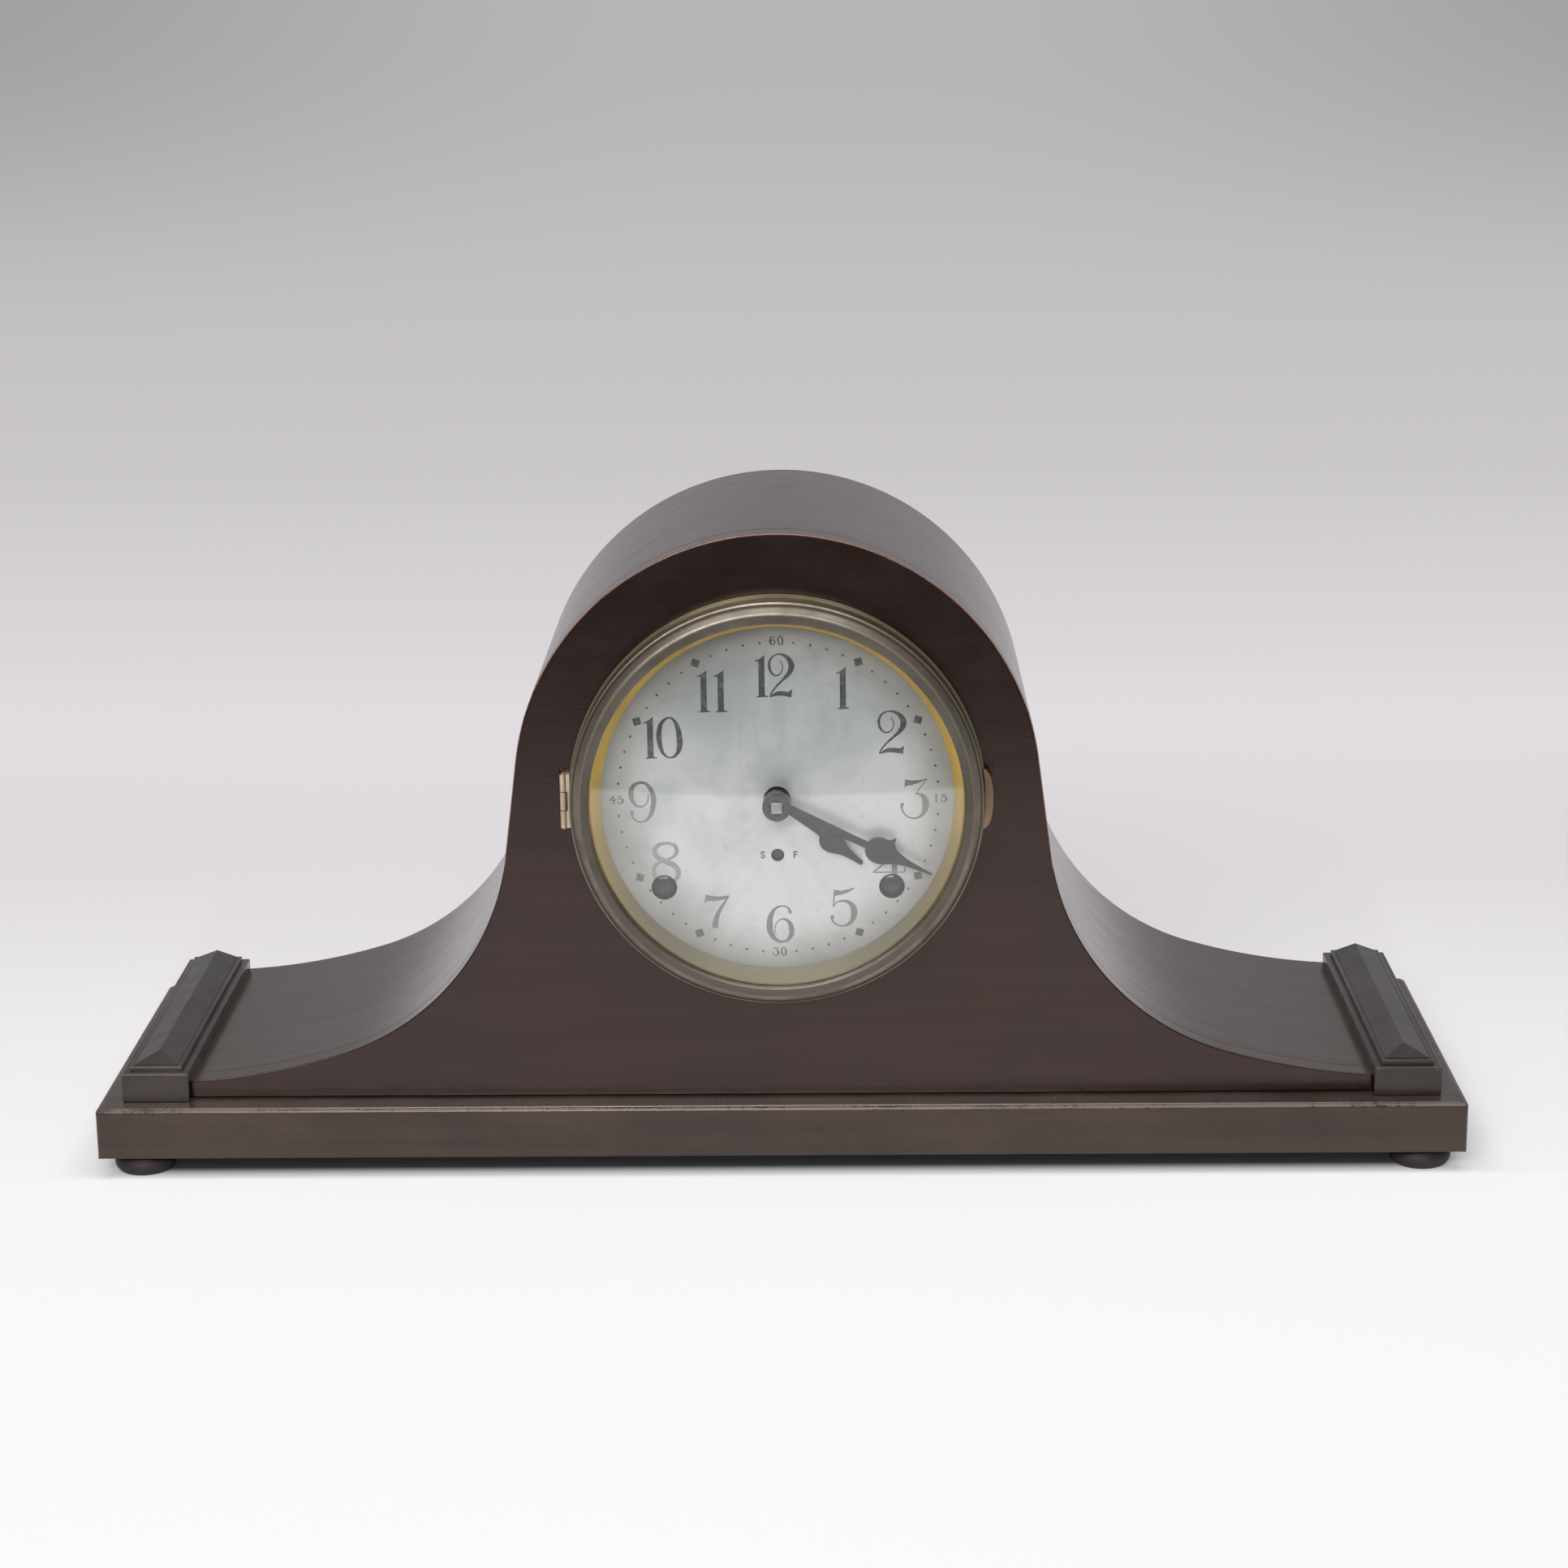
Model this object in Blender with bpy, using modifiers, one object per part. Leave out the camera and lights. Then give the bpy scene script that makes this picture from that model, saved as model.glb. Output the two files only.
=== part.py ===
"""Tambour mantel clock: a bell-shaped wooden case with a glazed brass bezel, a silvered dial,
a pin-plate movement that goes and strikes, a pendulum, a rod gong and a round back door.

Metres, +Z up. The clock faces -Y. The origin is on the floor, at the middle of the whole object's box.
"""

import math

import bmesh
import bpy
from mathutils import Matrix, Vector

# Clearances
TOUCH = 0.0003  # between pieces that rest on each other
RUN = 0.0003  # between a shaft and its hole
CUT_PAST = 0.001  # how far a cutter reaches past the faces that it opens
WELD = 0.000001  # points closer than this become one

# Base and feet
BASE_LENGTH = 0.530
BASE_DEPTH = 0.1554
BASE_THICKNESS = 0.0204
BASE_EDGE_ROUND = 0.0022
FOOT_HEIGHT = 0.008
FOOT_RADIUS = 0.0120
FOOT_BULGE = 0.0030  # of its rim past its flats
FOOT_FROM_END = 0.0160
FOOT_FROM_SIDE = 0.0135

# Case shell: the outline is an arch, a sloping flank, a hollow and a long flat wing
CASE_FRONT_MARGIN = 0.0130  # base board seen in front of the case
CASE_BACK_MARGIN = 0.0004
ARCH_RADIUS = 0.1002
ARCH_CENTRE_RISE = 0.1216  # above the base board
FLANK_LEAN = math.radians(7.5)
HOLLOW_RADIUS = 0.0960
HOLLOW_END = math.radians(73.3)
WING_RADIUS = 0.253
WING_LOW_RISE = 0.0067  # lowest point of the wing above the base board
FRONT_THICKNESS = 0.0095
WRAP_THICKNESS = 0.0050
BACK_THICKNESS = 0.0060
BACK_RECESS = 0.0110
BACK_OPENING_RADIUS = 0.0600

# End blocks
BLOCK_FROM_END = 0.0093  # of the base board
BLOCK_WIDTH = 0.0258
BLOCK_HEIGHT = 0.0115
BLOCK_AHEAD = 0.0045  # of the case front
BLOCK_LEDGE = 0.0028
BLOCK_STEP = 0.0020
BLOCK_RIDGE_RISE = 0.0035
BLOCK_HIP_RUN = 0.0100

# Dial
DIAL_BELOW_ARCH = 0.0020  # dial centre below the arch's centre
DIAL_PROUD = 0.0022  # dial face ahead of the case front
DIAL_COVER = 0.0043  # of the dial's edge by the sight ring
DIAL_SEAT = 0.0075  # of the dial's edge past the front board's opening
DIAL_THICKNESS = 0.0008
PAN_WIDTH = 0.0090
WINDING_ACROSS = 0.0435
WINDING_BELOW = 0.0345
WINDING_HOLE_RADIUS = 0.0047
REGULATOR_BELOW = 0.0219
REGULATOR_HOLE_RADIUS = 0.0025
CENTRE_HOLE_RADIUS = 0.0052

# Bezel: each ring is a width outwards from the one before, from the sight ring's inner edge on
SIGHT_INNER_RADIUS = 0.0672
SIGHT_WIDTH = 0.0036
SIGHT_WALL = 0.0007
SIGHT_CLEAR = 0.0006  # between the sight ring and the dial
LIP_COVER = 0.0018  # of the glass's edge by the lip
LIP_PROUD = 0.0138
LIP_THICKNESS = 0.0009
LIP_SLOPE_WIDTH = 0.0032
LIP_SLOPE_RISE = 0.0007
BEZEL_RIM = 0.0055  # from the glass's pocket to the outer wall
BEZEL_WALL = 0.0022
SHOULDER_DROP = 0.0028  # of the outer wall's top below the lip
SHOULDER_WIDTH = 0.0010
CREST_PROUD = 0.0158
CREST_INSET = 0.0018  # of its middle from the outer wall
CREST_ROUND = 0.0013
POCKET_DEPTH = 0.0042
POCKET_SLOPE = 0.0010
FLANGE_WIDTH = 0.0010
FLANGE_THICKNESS = 0.0012
FLANGE_LIFT = 0.0005  # between the case front and the flange
GLASS_SETBACK = 0.0012  # of the glass's edge behind the lip's front
GLASS_THICKNESS = 0.0018
GLASS_BULGE = 0.0048
HINGE_SHEET = 0.0006
HINGE_WEB = 0.0012
HINGE_PIN_PAST = 0.0006
BEZEL_HINGE_OUT = 0.0018  # axis outside the flange
BEZEL_HINGE_PROUD = 0.0019
BEZEL_PLATE_PAST = 0.0004  # fixed plate past the axis
BEZEL_PLATE_FROM_OPENING = 0.0075
BEZEL_PLATE_DEEP = 0.0007  # its middle behind the case front
BEZEL_KNUCKLE_RADIUS = 0.00135
BEZEL_HINGE_PIN_RADIUS = 0.0005
BEZEL_HINGE_HEIGHT = 0.0210
TAB_WIDTH = 0.0056
TAB_HEIGHT = 0.0238
TAB_THICKNESS = 0.0012
TAB_ROUND = 0.0014
TAB_ROOT = 0.0022
TAB_SHARE = 0.98  # of its height that its curves take
MORTISE_DEPTH = 0.0016
HINGE_MORTISE_FROM_OPENING = 0.0060
HINGE_MORTISE_SPARE = 0.0015  # above the leaf
TAB_MORTISE_UNDER = 0.0030  # the flange
TAB_MORTISE_DOWN = 0.0040
TAB_MORTISE_PAST = 0.0022

# Hands
HOUR_HAND_LENGTH = 0.0402
HOUR_SPADE = (0.0187, 0.0140, 0.0052)  # back from the tip: its start, its widest place and its waist
HOUR_HALVES = (0.0021, 0.0015, 0.0041, 0.0011, 0.0007)  # half widths: boss, neck, widest, waist and tip
MINUTE_HAND_INSIDE = 0.0024  # its tip inside the sight ring
MINUTE_SPADE = (0.0268, 0.0216, 0.0098)
MINUTE_HALVES = (0.0017, 0.0012, 0.0049, 0.0010, 0.0003)
HOUR_ANGLE = math.radians(125.3)
MINUTE_ANGLE = math.radians(115.6)
HAND_THICKNESS = 0.0008
HOUR_HAND_PROUD = 0.0028  # back of the hour hand ahead of the dial face
MINUTE_HAND_PROUD = 0.0060
HOUR_BOSS_RADIUS = 0.0056
MINUTE_BOSS_RADIUS = 0.0053
COLLET_RADIUS = 0.0054
COLLET_RISE = 0.0052
COLLET_CHAMFER = 0.0010
SQUARE_RADIUS = 0.0028  # corner of the centre arbor's squared end
SQUARE_PLAY = 0.0004
SQUARE_ROOT = 0.0010  # its start behind the minute hand
SQUARE_PROUD = 0.0009  # its tip ahead of the collet

# Movement frame
PLATE_THICKNESS = 0.0016
PLATE_ABOVE_VERGE = 0.0105
PLATE_CORNER = 0.0120
PLATE_GAP = 0.0360
FRONT_PLATE_BEHIND = 0.0094  # behind the back of the front board
PILLAR_RADIUS = 0.0030
PILLAR_INSET = 0.0040
PILLAR_OUTSIDE = 0.0165  # the winding arbor
PILLAR_UNDER = 0.0305
PILLAR_HIGH_INSET = 0.0060
BAR_HEIGHT = 0.0095
BAR_INSET = 0.0020  # from the plate's sides
BAR_MARGIN = 0.0010  # from its top and bottom

# Trains: tooth counts and modules
WHEEL_THICKNESS = 0.0016
ARBOR_RADIUS = 0.0015
PIVOT_RADIUS = 0.0010
GREAT_TEETH = 40
SECOND_TEETH = 32
CENTRE_TEETH = 32
THIRD_TEETH = 28
ESCAPE_TEETH = 24
LEAVES = 8
GREAT_MODULE = 0.00145
SECOND_MODULE = 0.00130
CENTRE_MODULE = 0.00110
THIRD_MODULE = 0.00100
ESCAPE_RADIUS = 0.0128
CANNON_TEETH = 8
MINUTE_TEETH = 24
CHANGE_LEAVES = 8
HOUR_TEETH = 32
CANNON_MODULE = 0.00110
ESCAPE_ABOVE = 0.0385  # above the dial centre
STRIKE_ASIDE = 0.0026  # keeps the pin wheel clear of the centre pinion
FLY_DIRECTION = math.radians(113)
TOOTH_RISE = 0.80  # in modules, past the pitch circle
TOOTH_DEPTH = 1.15
TOOTH_SHARE = 0.62  # of the pitch, at the root
CENTRE_ARBOR_RADIUS = 0.0016
HOUR_PIPE_RADIUS = 0.0034
STUD_RADIUS = 0.0013
RATCHET_TEETH = 12
RATCHET_RADIUS = 0.0085
SPRING_INNER_RADIUS = 0.0090
SPRING_OUTER_RADIUS = 0.0236
SPRING_STRIP = 0.0010
SPRING_TURNS = 4
SPRING_WIDTH = 0.0190
WINDING_SQUARE = 0.0036
SPRING_BEHIND = 0.0020  # the great wheel
PINION_OVERLAP = 0.0008  # how far a pinion runs past the wheel that it meshes with
GREAT_PLANE = 0.0026  # front of each wheel behind the front plate
CENTRE_PLANE = 0.0140
ESCAPE_PLANE = 0.0185
THIRD_PLANE = 0.0240
SECOND_PLANE = 0.0042  # front of the second wheel ahead of the back plate
CANNON_AHEAD = 0.0045  # of the front plate
CHANGE_AHEAD = 0.0038  # of the cannon's wheel
STUD_AHEAD = 0.0012
CHANGE_OVERLAP = 0.0002
PIPE_LAP = 0.0004
CENTRE_BODY_RADIUS = 0.0024
ESCAPE_ARBOR_RADIUS = 0.0012
ESCAPE_THICKNESS = 0.0010
ESCAPE_DEPTH = 0.0022  # of its teeth
RATCHET_DEPTH = 0.0016
RATCHET_CLEAR = 0.0006  # of the front plate
RATCHET_LAP = 0.0002
WINDER_RADIUS = 0.0030
WINDER_FRONT_RADIUS = 0.0026
WINDER_FRONT_AHEAD = 0.0020
WINDER_BACK_RADIUS = 0.0018
WINDER_BACK_LAP = 0.0020
WINDER_SQUARE_BEHIND = 0.0010  # the case front
WINDER_SQUARE_LAP = 0.0010
CLICK_POINTS = (  # out from the ratchet's teeth, and up
    (0.0008, -0.0035), (0.0022, -0.0045), (0.0075, -0.0005), (0.0087, 0.0045), (0.0053, 0.0050), (0.0045, 0.0015)
)

# Regulator
REGULATOR_RADIUS = 0.0012
REGULATOR_BEHIND = 0.0005  # its square's front behind the case front
REGULATOR_SQUARE_RADIUS = 0.0014
REGULATOR_SQUARE_LENGTH = 0.0055
REGULATOR_COLLAR_RADIUS = 0.0022
REGULATOR_COLLAR_LENGTH = 0.0027

# Escapement, pendulum and strike
VERGE_ABOVE_ESCAPE = 0.0175
PALLET_SPAN = math.radians(52)
PALLET_CLEAR = 0.0011  # of the escape wheel's tips
PALLET_BACK = (0.0012, 0.0008)  # across and up from the pallet's face
VERGE_SHOULDER = (0.0050, -0.0005)  # across and up from the verge's axis
VERGE_CROWN = (0.0020, 0.0020)
VERGE_INSIDE = (0.0030, -0.0020)
VERGE_THICKNESS = 0.0018
CRUTCH_DROP = 0.0330
CRUTCH_WIRE = 0.0008
CRUTCH_AHEAD = 0.0062  # of the pendulum rod
FORK_WIDTH = 0.0060
FORK_HEIGHT = 0.0020
FORK_PAST = 0.0030  # the pendulum rod
FORK_PLAY = 0.0004
FORK_SLOT = 0.0030
PENDULUM_BEHIND = 0.0125  # behind the back plate
SUSPENSION_RISE = 0.0022
SUSPENSION_DROP = 0.0140
SUSPENSION_WIDTH = 0.0030
SUSPENSION_THICKNESS = 0.0004
SUSPENSION_LAP = 0.0020
COCK_WIDTH = 0.0120
COCK_HEIGHT = 0.0040
COCK_PAST = 0.0030  # the pendulum's plane
COCK_FOOT_OUT = 0.0110
COCK_FOOT_IN = 0.0035
COCK_FOOT_THICKNESS = 0.0015
COCK_FOOT_BELOW = 0.0095  # the plate's top
BOB_RISE = 0.0411  # its middle above the base board
BOB_RADIUS = 0.0165
BOB_THICKNESS = 0.0090
BOB_SECTION = ((0.55, 0.86), (0.88, 0.5))  # shares of its radius and of half its thickness
ROD_RADIUS = 0.0009
ROD_PAST_BOB = 0.0060
LIFTING_PINS = 8
LIFTING_CIRCLE = 0.0150
LIFTING_PIN_RADIUS = 0.0007
LIFTING_PIN_REACH = 0.0034
LIFTING_PIN_ROOT = 0.0008
LIFTING_PHASE = 0.3
FLY_PLANE = 0.0040
FLY_WIDTH = 0.0230
FLY_LENGTH = 0.0150
FLY_SHEET = 0.0008
GONG_ROD_RADIUS = 0.0020
GONG_ROD_LENGTH = 0.150
GONG_ROD_RISE = 0.0140
GONG_BEHIND = 0.0360  # gong rod behind the back plate
GONG_ROD_SET = 0.0004  # its end past the block's middle
GONG_SOCKET = 0.010
GONG_BLOCK_ASIDE = 0.0250  # of the hammer's head
GONG_BLOCK_WIDTH = 0.0160
GONG_BLOCK_DEPTH = 0.0180
GONG_BLOCK_ABOVE = 0.0065  # the rod
HAMMER_ASIDE = 0.030
HAMMER_BELOW = 0.052  # the dial centre
HAMMER_REACH = 0.0400
HAMMER_GAP = 0.0012  # between its head and the rod at rest
HAMMER_HEAD_RADIUS = 0.0040
HAMMER_HEAD_LENGTH = 0.0110
HAMMER_ARM_RADIUS = 0.0010
HAMMER_BOSS_RADIUS = 0.0022
HAMMER_TAIL_RADIUS = 0.0009
HAMMER_TAIL_AHEAD = 0.0026  # of the pin wheel
HAMMER_TAIL_END = (-0.0010, -0.0186)  # from the pin wheel's middle

# Back door
DOOR_LAP = 0.0030  # past the opening
DOOR_THICKNESS = 0.0028
DOOR_KNOB_RADIUS = 0.0050
DOOR_KNOB_HEIGHT = 0.0062
DOOR_KNOB_INSET = 0.0120
DOOR_KNOB_SECTION = ((0.7, 0.90), (1.0, 0.65), (0.5, 0.32), (0.7, 0.0))  # shares of its radius and its height
DOOR_HINGE_OUT = 0.0030
DOOR_HINGE_PROUD = 0.0012
DOOR_LEAF_REACH = 0.0120
DOOR_LEAF_SHORT = 0.0014  # of the axis
DOOR_PLATE_PAST = 0.0006
DOOR_HINGE_HEIGHT = 0.0300
DOOR_KNUCKLE_RADIUS = 0.0021
DOOR_PIN_RADIUS = 0.0008
LATCH_OUT = 0.0060  # axis outside the door
LATCH_LENGTH = 0.0150
LATCH_WIDTH = 0.0060
LATCH_THICKNESS = 0.0012
LATCH_BOSS_RADIUS = 0.0022

# Places worked out from the sizes above
LIP_RADIUS = SIGHT_INNER_RADIUS + SIGHT_WIDTH
GLASS_RADIUS = LIP_RADIUS + LIP_COVER
BEZEL_RADIUS = GLASS_RADIUS + TOUCH + BEZEL_RIM
FLANGE_RADIUS = BEZEL_RADIUS + FLANGE_WIDTH
BEZEL_HINGE_ACROSS = FLANGE_RADIUS + BEZEL_HINGE_OUT
DIAL_RADIUS = SIGHT_INNER_RADIUS + DIAL_COVER
FRONT_OPENING_RADIUS = DIAL_RADIUS - DIAL_SEAT
PAN_INNER_RADIUS = DIAL_RADIUS - PAN_WIDTH
MINUTE_HAND_LENGTH = SIGHT_INNER_RADIUS - MINUTE_HAND_INSIDE
DOOR_RADIUS = BACK_OPENING_RADIUS + DOOR_LAP
WING_REACH = BASE_LENGTH / 2 - BLOCK_FROM_END - BLOCK_WIDTH - TOUCH
WING_FALL = WING_RADIUS - (WING_RADIUS - HOLLOW_RADIUS) * math.sin(HOLLOW_END)
FLANK_TOP_RISE = ARCH_CENTRE_RISE + (ARCH_RADIUS + HOLLOW_RADIUS) * math.sin(FLANK_LEAN)
FLANK_LENGTH = (FLANK_TOP_RISE - WING_FALL - WING_LOW_RISE) / math.cos(FLANK_LEAN)
GLASS_PROUD = LIP_PROUD - GLASS_SETBACK + GLASS_BULGE
GLASS_OVERHANG = GLASS_PROUD - CASE_FRONT_MARGIN  # glass ahead of the base board
BASE_Y = GLASS_OVERHANG / 2
BASE_FRONT = BASE_Y - BASE_DEPTH / 2
BASE_BACK = BASE_Y + BASE_DEPTH / 2
BASE_TOP = FOOT_HEIGHT + BASE_THICKNESS
CASE_FRONT = BASE_FRONT + CASE_FRONT_MARGIN
CASE_BACK = BASE_BACK - CASE_BACK_MARGIN
FRONT_BOARD_BACK = CASE_FRONT + FRONT_THICKNESS
BACK_BOARD_BACK = CASE_BACK - BACK_RECESS
BACK_BOARD_FRONT = BACK_BOARD_BACK - BACK_THICKNESS
DIAL_Z = BASE_TOP + ARCH_CENTRE_RISE - DIAL_BELOW_ARCH
DIAL_FACE = CASE_FRONT - DIAL_PROUD
PLATE_FRONT = FRONT_BOARD_BACK + FRONT_PLATE_BEHIND
INSIDE_FRONT = PLATE_FRONT + PLATE_THICKNESS
INSIDE_BACK = INSIDE_FRONT + PLATE_GAP
PLATE_BACK = INSIDE_BACK + PLATE_THICKNESS
PENDULUM_Y = PLATE_BACK + PENDULUM_BEHIND
PLATE_WIDTH = 2 * (WINDING_ACROSS + PILLAR_OUTSIDE + PILLAR_INSET)
PLATE_TOP = ESCAPE_ABOVE + VERGE_ABOVE_ESCAPE + PLATE_ABOVE_VERGE  # above the dial centre
PLATE_BOTTOM = WINDING_BELOW + PILLAR_UNDER + PILLAR_INSET  # below it
BAR_LENGTH = PLATE_WIDTH - 2 * BAR_INSET
MINUTE_FRONT = DIAL_FACE - MINUTE_HAND_PROUD - HAND_THICKNESS
HOUR_FRONT = DIAL_FACE - HOUR_HAND_PROUD - HAND_THICKNESS


def clear_scene():
    for obj in list(bpy.data.objects):
        bpy.data.objects.remove(obj, do_unlink=True)


def make_collection(name):
    collection = bpy.data.collections.new(name)
    bpy.context.scene.collection.children.link(collection)
    return collection


def finish(name, colour, roughness, metallic=0.0, alpha=1.0):
    material = bpy.data.materials.new(name)
    material.use_nodes = True
    shader = material.node_tree.nodes["Principled BSDF"]
    shader.inputs["Base Color"].default_value = (*colour, 1.0)
    shader.inputs["Roughness"].default_value = roughness
    shader.inputs["Metallic"].default_value = metallic
    shader.inputs["Alpha"].default_value = alpha
    return material


clear_scene()
PARTS = make_collection("tambour_mantel_clock")
CUTTERS = make_collection("cutters")

DARK_WOOD = finish("dark_wood", (0.045, 0.028, 0.022), 0.42)
BLOCK_WOOD = finish("block_wood", (0.035, 0.032, 0.028), 0.45)
RAW_WOOD = finish("back_wood", (0.16, 0.10, 0.06), 0.7)
AGED_BRASS = finish("aged_brass", (0.36, 0.31, 0.25), 0.35, 1.0)
GILT = finish("gilt_ring", (0.75, 0.58, 0.22), 0.3, 1.0)
BRASS = finish("movement_brass", (0.72, 0.54, 0.25), 0.3, 1.0)
STEEL = finish("steel", (0.45, 0.45, 0.46), 0.3, 1.0)
BLUED_STEEL = finish("blackened_steel", (0.03, 0.03, 0.035), 0.4, 0.6)
SILVERED = finish("silvered_dial", (0.62, 0.64, 0.66), 0.4, 0.3)
CLEAR = finish("glass", (0.95, 0.97, 0.97), 0.03, 0.0, 0.15)
IRON = finish("cast_iron", (0.06, 0.06, 0.06), 0.6, 0.8)


def link(obj, material=None):
    """A piece when it has a material, else a cutter or a shape that is joined to a piece."""
    if material is None:
        CUTTERS.objects.link(obj)
        obj.hide_render = True
        obj.display_type = "WIRE"
    else:
        PARTS.objects.link(obj)
        obj.data.materials.clear()
        obj.data.materials.append(material)
    return obj


def mesh_object(name, bm, material):
    mesh = bpy.data.meshes.new(name)
    bmesh.ops.recalc_face_normals(bm, faces=bm.faces)
    bm.to_mesh(mesh)
    bm.free()
    return link(bpy.data.objects.new(name, mesh), material)


def box(name, low, high, material=None):
    low, high = Vector(low), Vector(high)
    bm = bmesh.new()
    bmesh.ops.create_cube(bm, size=1.0)
    bmesh.ops.scale(bm, vec=high - low, verts=bm.verts)
    bmesh.ops.translate(bm, vec=(low + high) / 2, verts=bm.verts)
    return mesh_object(name, bm, material)


def rod(name, start, end, radius, material=None, sides=12, end_radius=None, turn=0.0):
    """A cylinder, or a cone, from one point to another."""
    start, end = Vector(start), Vector(end)
    along = end - start
    bm = bmesh.new()
    bmesh.ops.create_cone(
        bm,
        cap_ends=True,
        segments=sides,
        radius1=radius,
        radius2=radius if end_radius is None else end_radius,
        depth=along.length,
        matrix=Matrix.Rotation(turn, 4, "Z"),
    )
    facing = along.to_track_quat("Z", "Y").to_matrix().to_4x4()
    bmesh.ops.transform(bm, matrix=Matrix.Translation((start + end) / 2) @ facing, verts=bm.verts)
    return mesh_object(name, bm, material)


def shaft(name, across, up, y_from, y_to, radius, material=None, sides=12, turn=0.0):
    """A cylinder that runs front to back at a place on the dial plane."""
    return rod(name, (across, y_from, up), (across, y_to, up), radius, material, sides, turn=turn)


def turned(name, profile, place, material, steps, facing="front", closed=False):
    """A profile of (radius, height) points turned about its axis, whose height points to the front or up."""
    points = list(profile)
    if closed:
        doubled_area = sum(
            a[0] * b[1] - b[0] * a[1] for a, b in zip(points, points[1:] + points[:1])
        )
        if doubled_area > 0:
            points.reverse()
    mesh = bpy.data.meshes.new(name)
    edges = [(i, i + 1) for i in range(len(points) - 1)]
    if closed:
        edges.append((len(points) - 1, 0))
    mesh.from_pydata([(r, 0.0, h) for r, h in points], edges, [])
    obj = link(bpy.data.objects.new(name, mesh), material)
    obj.location = place
    if facing == "front":
        obj.rotation_euler = (math.pi / 2, 0.0, 0.0)
    screw = obj.modifiers.new("turn", "SCREW")
    screw.axis = "Z"
    screw.steps = steps
    screw.render_steps = steps
    screw.use_merge_vertices = True
    screw.merge_threshold = 0.00001
    return obj


def plate(name, outlines, y_front, y_back, material=None):
    """A flat piece standing in the dial's plane, from closed (x, z) outlines: the first is its edge, the rest its holes."""
    curve = bpy.data.curves.new(name, "CURVE")
    curve.dimensions = "2D"
    curve.fill_mode = "BOTH"
    curve.extrude = (y_back - y_front) / 2
    for outline in outlines:
        spline = curve.splines.new("POLY")
        spline.points.add(len(outline) - 1)
        for point, (x, z) in zip(spline.points, outline):
            point.co = (x, z, 0.0, 1.0)
        spline.use_cyclic_u = True
    drawn = bpy.data.objects.new(name + "_outline", curve)
    bpy.context.scene.collection.objects.link(drawn)
    drawn.location = (0.0, (y_front + y_back) / 2, 0.0)
    drawn.rotation_euler = (math.pi / 2, 0.0, 0.0)
    bpy.context.view_layer.update()
    graph = bpy.context.evaluated_depsgraph_get()
    mesh = bpy.data.meshes.new_from_object(drawn.evaluated_get(graph))
    bm = bmesh.new()
    bm.from_mesh(mesh)
    bmesh.ops.transform(bm, matrix=drawn.matrix_world, verts=bm.verts)
    bmesh.ops.remove_doubles(bm, verts=bm.verts, dist=WELD)
    bpy.data.objects.remove(drawn, do_unlink=True)
    bpy.data.meshes.remove(mesh)
    return mesh_object(name, bm, material)


def boolean(target, operation, others):
    for other in others:
        modifier = target.modifiers.new(f"{operation.lower()}_{other.name}", "BOOLEAN")
        modifier.operation = operation
        modifier.object = other
        modifier.solver = "EXACT"
    return target


def cut(target, *cutters):
    return boolean(target, "DIFFERENCE", cutters)


def fuse(target, *others):
    return boolean(target, "UNION", others)


def joint_empty(name, place, *pieces):
    """An empty on a joint's axis, with the pieces of its body as children that keep their places."""
    empty = bpy.data.objects.new(name, None)
    PARTS.objects.link(empty)
    empty.location = place
    for piece in pieces:
        piece.parent = empty
        piece.matrix_parent_inverse = Matrix.Translation(-Vector(place))
    return empty


def circle(across, up, radius, sides, turn=0.0):
    return [
        (
            across + radius * math.cos(turn + 2 * math.pi * i / sides),
            up + radius * math.sin(turn + 2 * math.pi * i / sides),
        )
        for i in range(sides)
    ]


def arc(centre, radius, start, end, steps):
    """Points on an arc, with angles measured from +X towards +Z."""
    return [
        (
            centre[0] + radius * math.cos(start + (end - start) * i / steps),
            centre[1] + radius * math.sin(start + (end - start) * i / steps),
        )
        for i in range(steps + 1)
    ]


# The right half of the case outline, from the top of the arch to the wing's end.
# Each stretch is tangent to the next, and an inset moves all of them inwards.
def right_half(inset):
    arch_centre = (0.0, BASE_TOP + ARCH_CENTRE_RISE)
    points = arc(arch_centre, ARCH_RADIUS - inset, math.pi / 2, FLANK_LEAN, 20)
    lean = (math.sin(FLANK_LEAN), -math.cos(FLANK_LEAN))
    x = arch_centre[0] + ARCH_RADIUS * math.cos(FLANK_LEAN) + FLANK_LENGTH * lean[0]
    z = arch_centre[1] + ARCH_RADIUS * math.sin(FLANK_LEAN) + FLANK_LENGTH * lean[1]
    hollow_centre = (
        x + HOLLOW_RADIUS * math.cos(FLANK_LEAN),
        z + HOLLOW_RADIUS * math.sin(FLANK_LEAN),
    )
    turn = math.pi
    points += arc(hollow_centre, HOLLOW_RADIUS + inset, turn + FLANK_LEAN, turn + HOLLOW_END, 12)
    wing_centre = (
        hollow_centre[0] + (WING_RADIUS - HOLLOW_RADIUS) * math.cos(HOLLOW_END),
        hollow_centre[1] + (WING_RADIUS - HOLLOW_RADIUS) * math.sin(HOLLOW_END),
    )
    radius = WING_RADIUS + inset
    reach = min(max((wing_centre[0] - WING_REACH) / radius, -1.0), 1.0)
    points += arc(wing_centre, radius, turn + HOLLOW_END, turn + math.acos(reach), 3)[1:]
    return points


def whole_width(half):
    return [(-x, z) for x, z in reversed(half)] + half[1:]


def bell_outline(inset, floor):
    """The closed outline of a board that stands on a floor height."""
    top = whole_width(right_half(inset))
    return top + [(top[-1][0], floor), (top[0][0], floor)]


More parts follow.
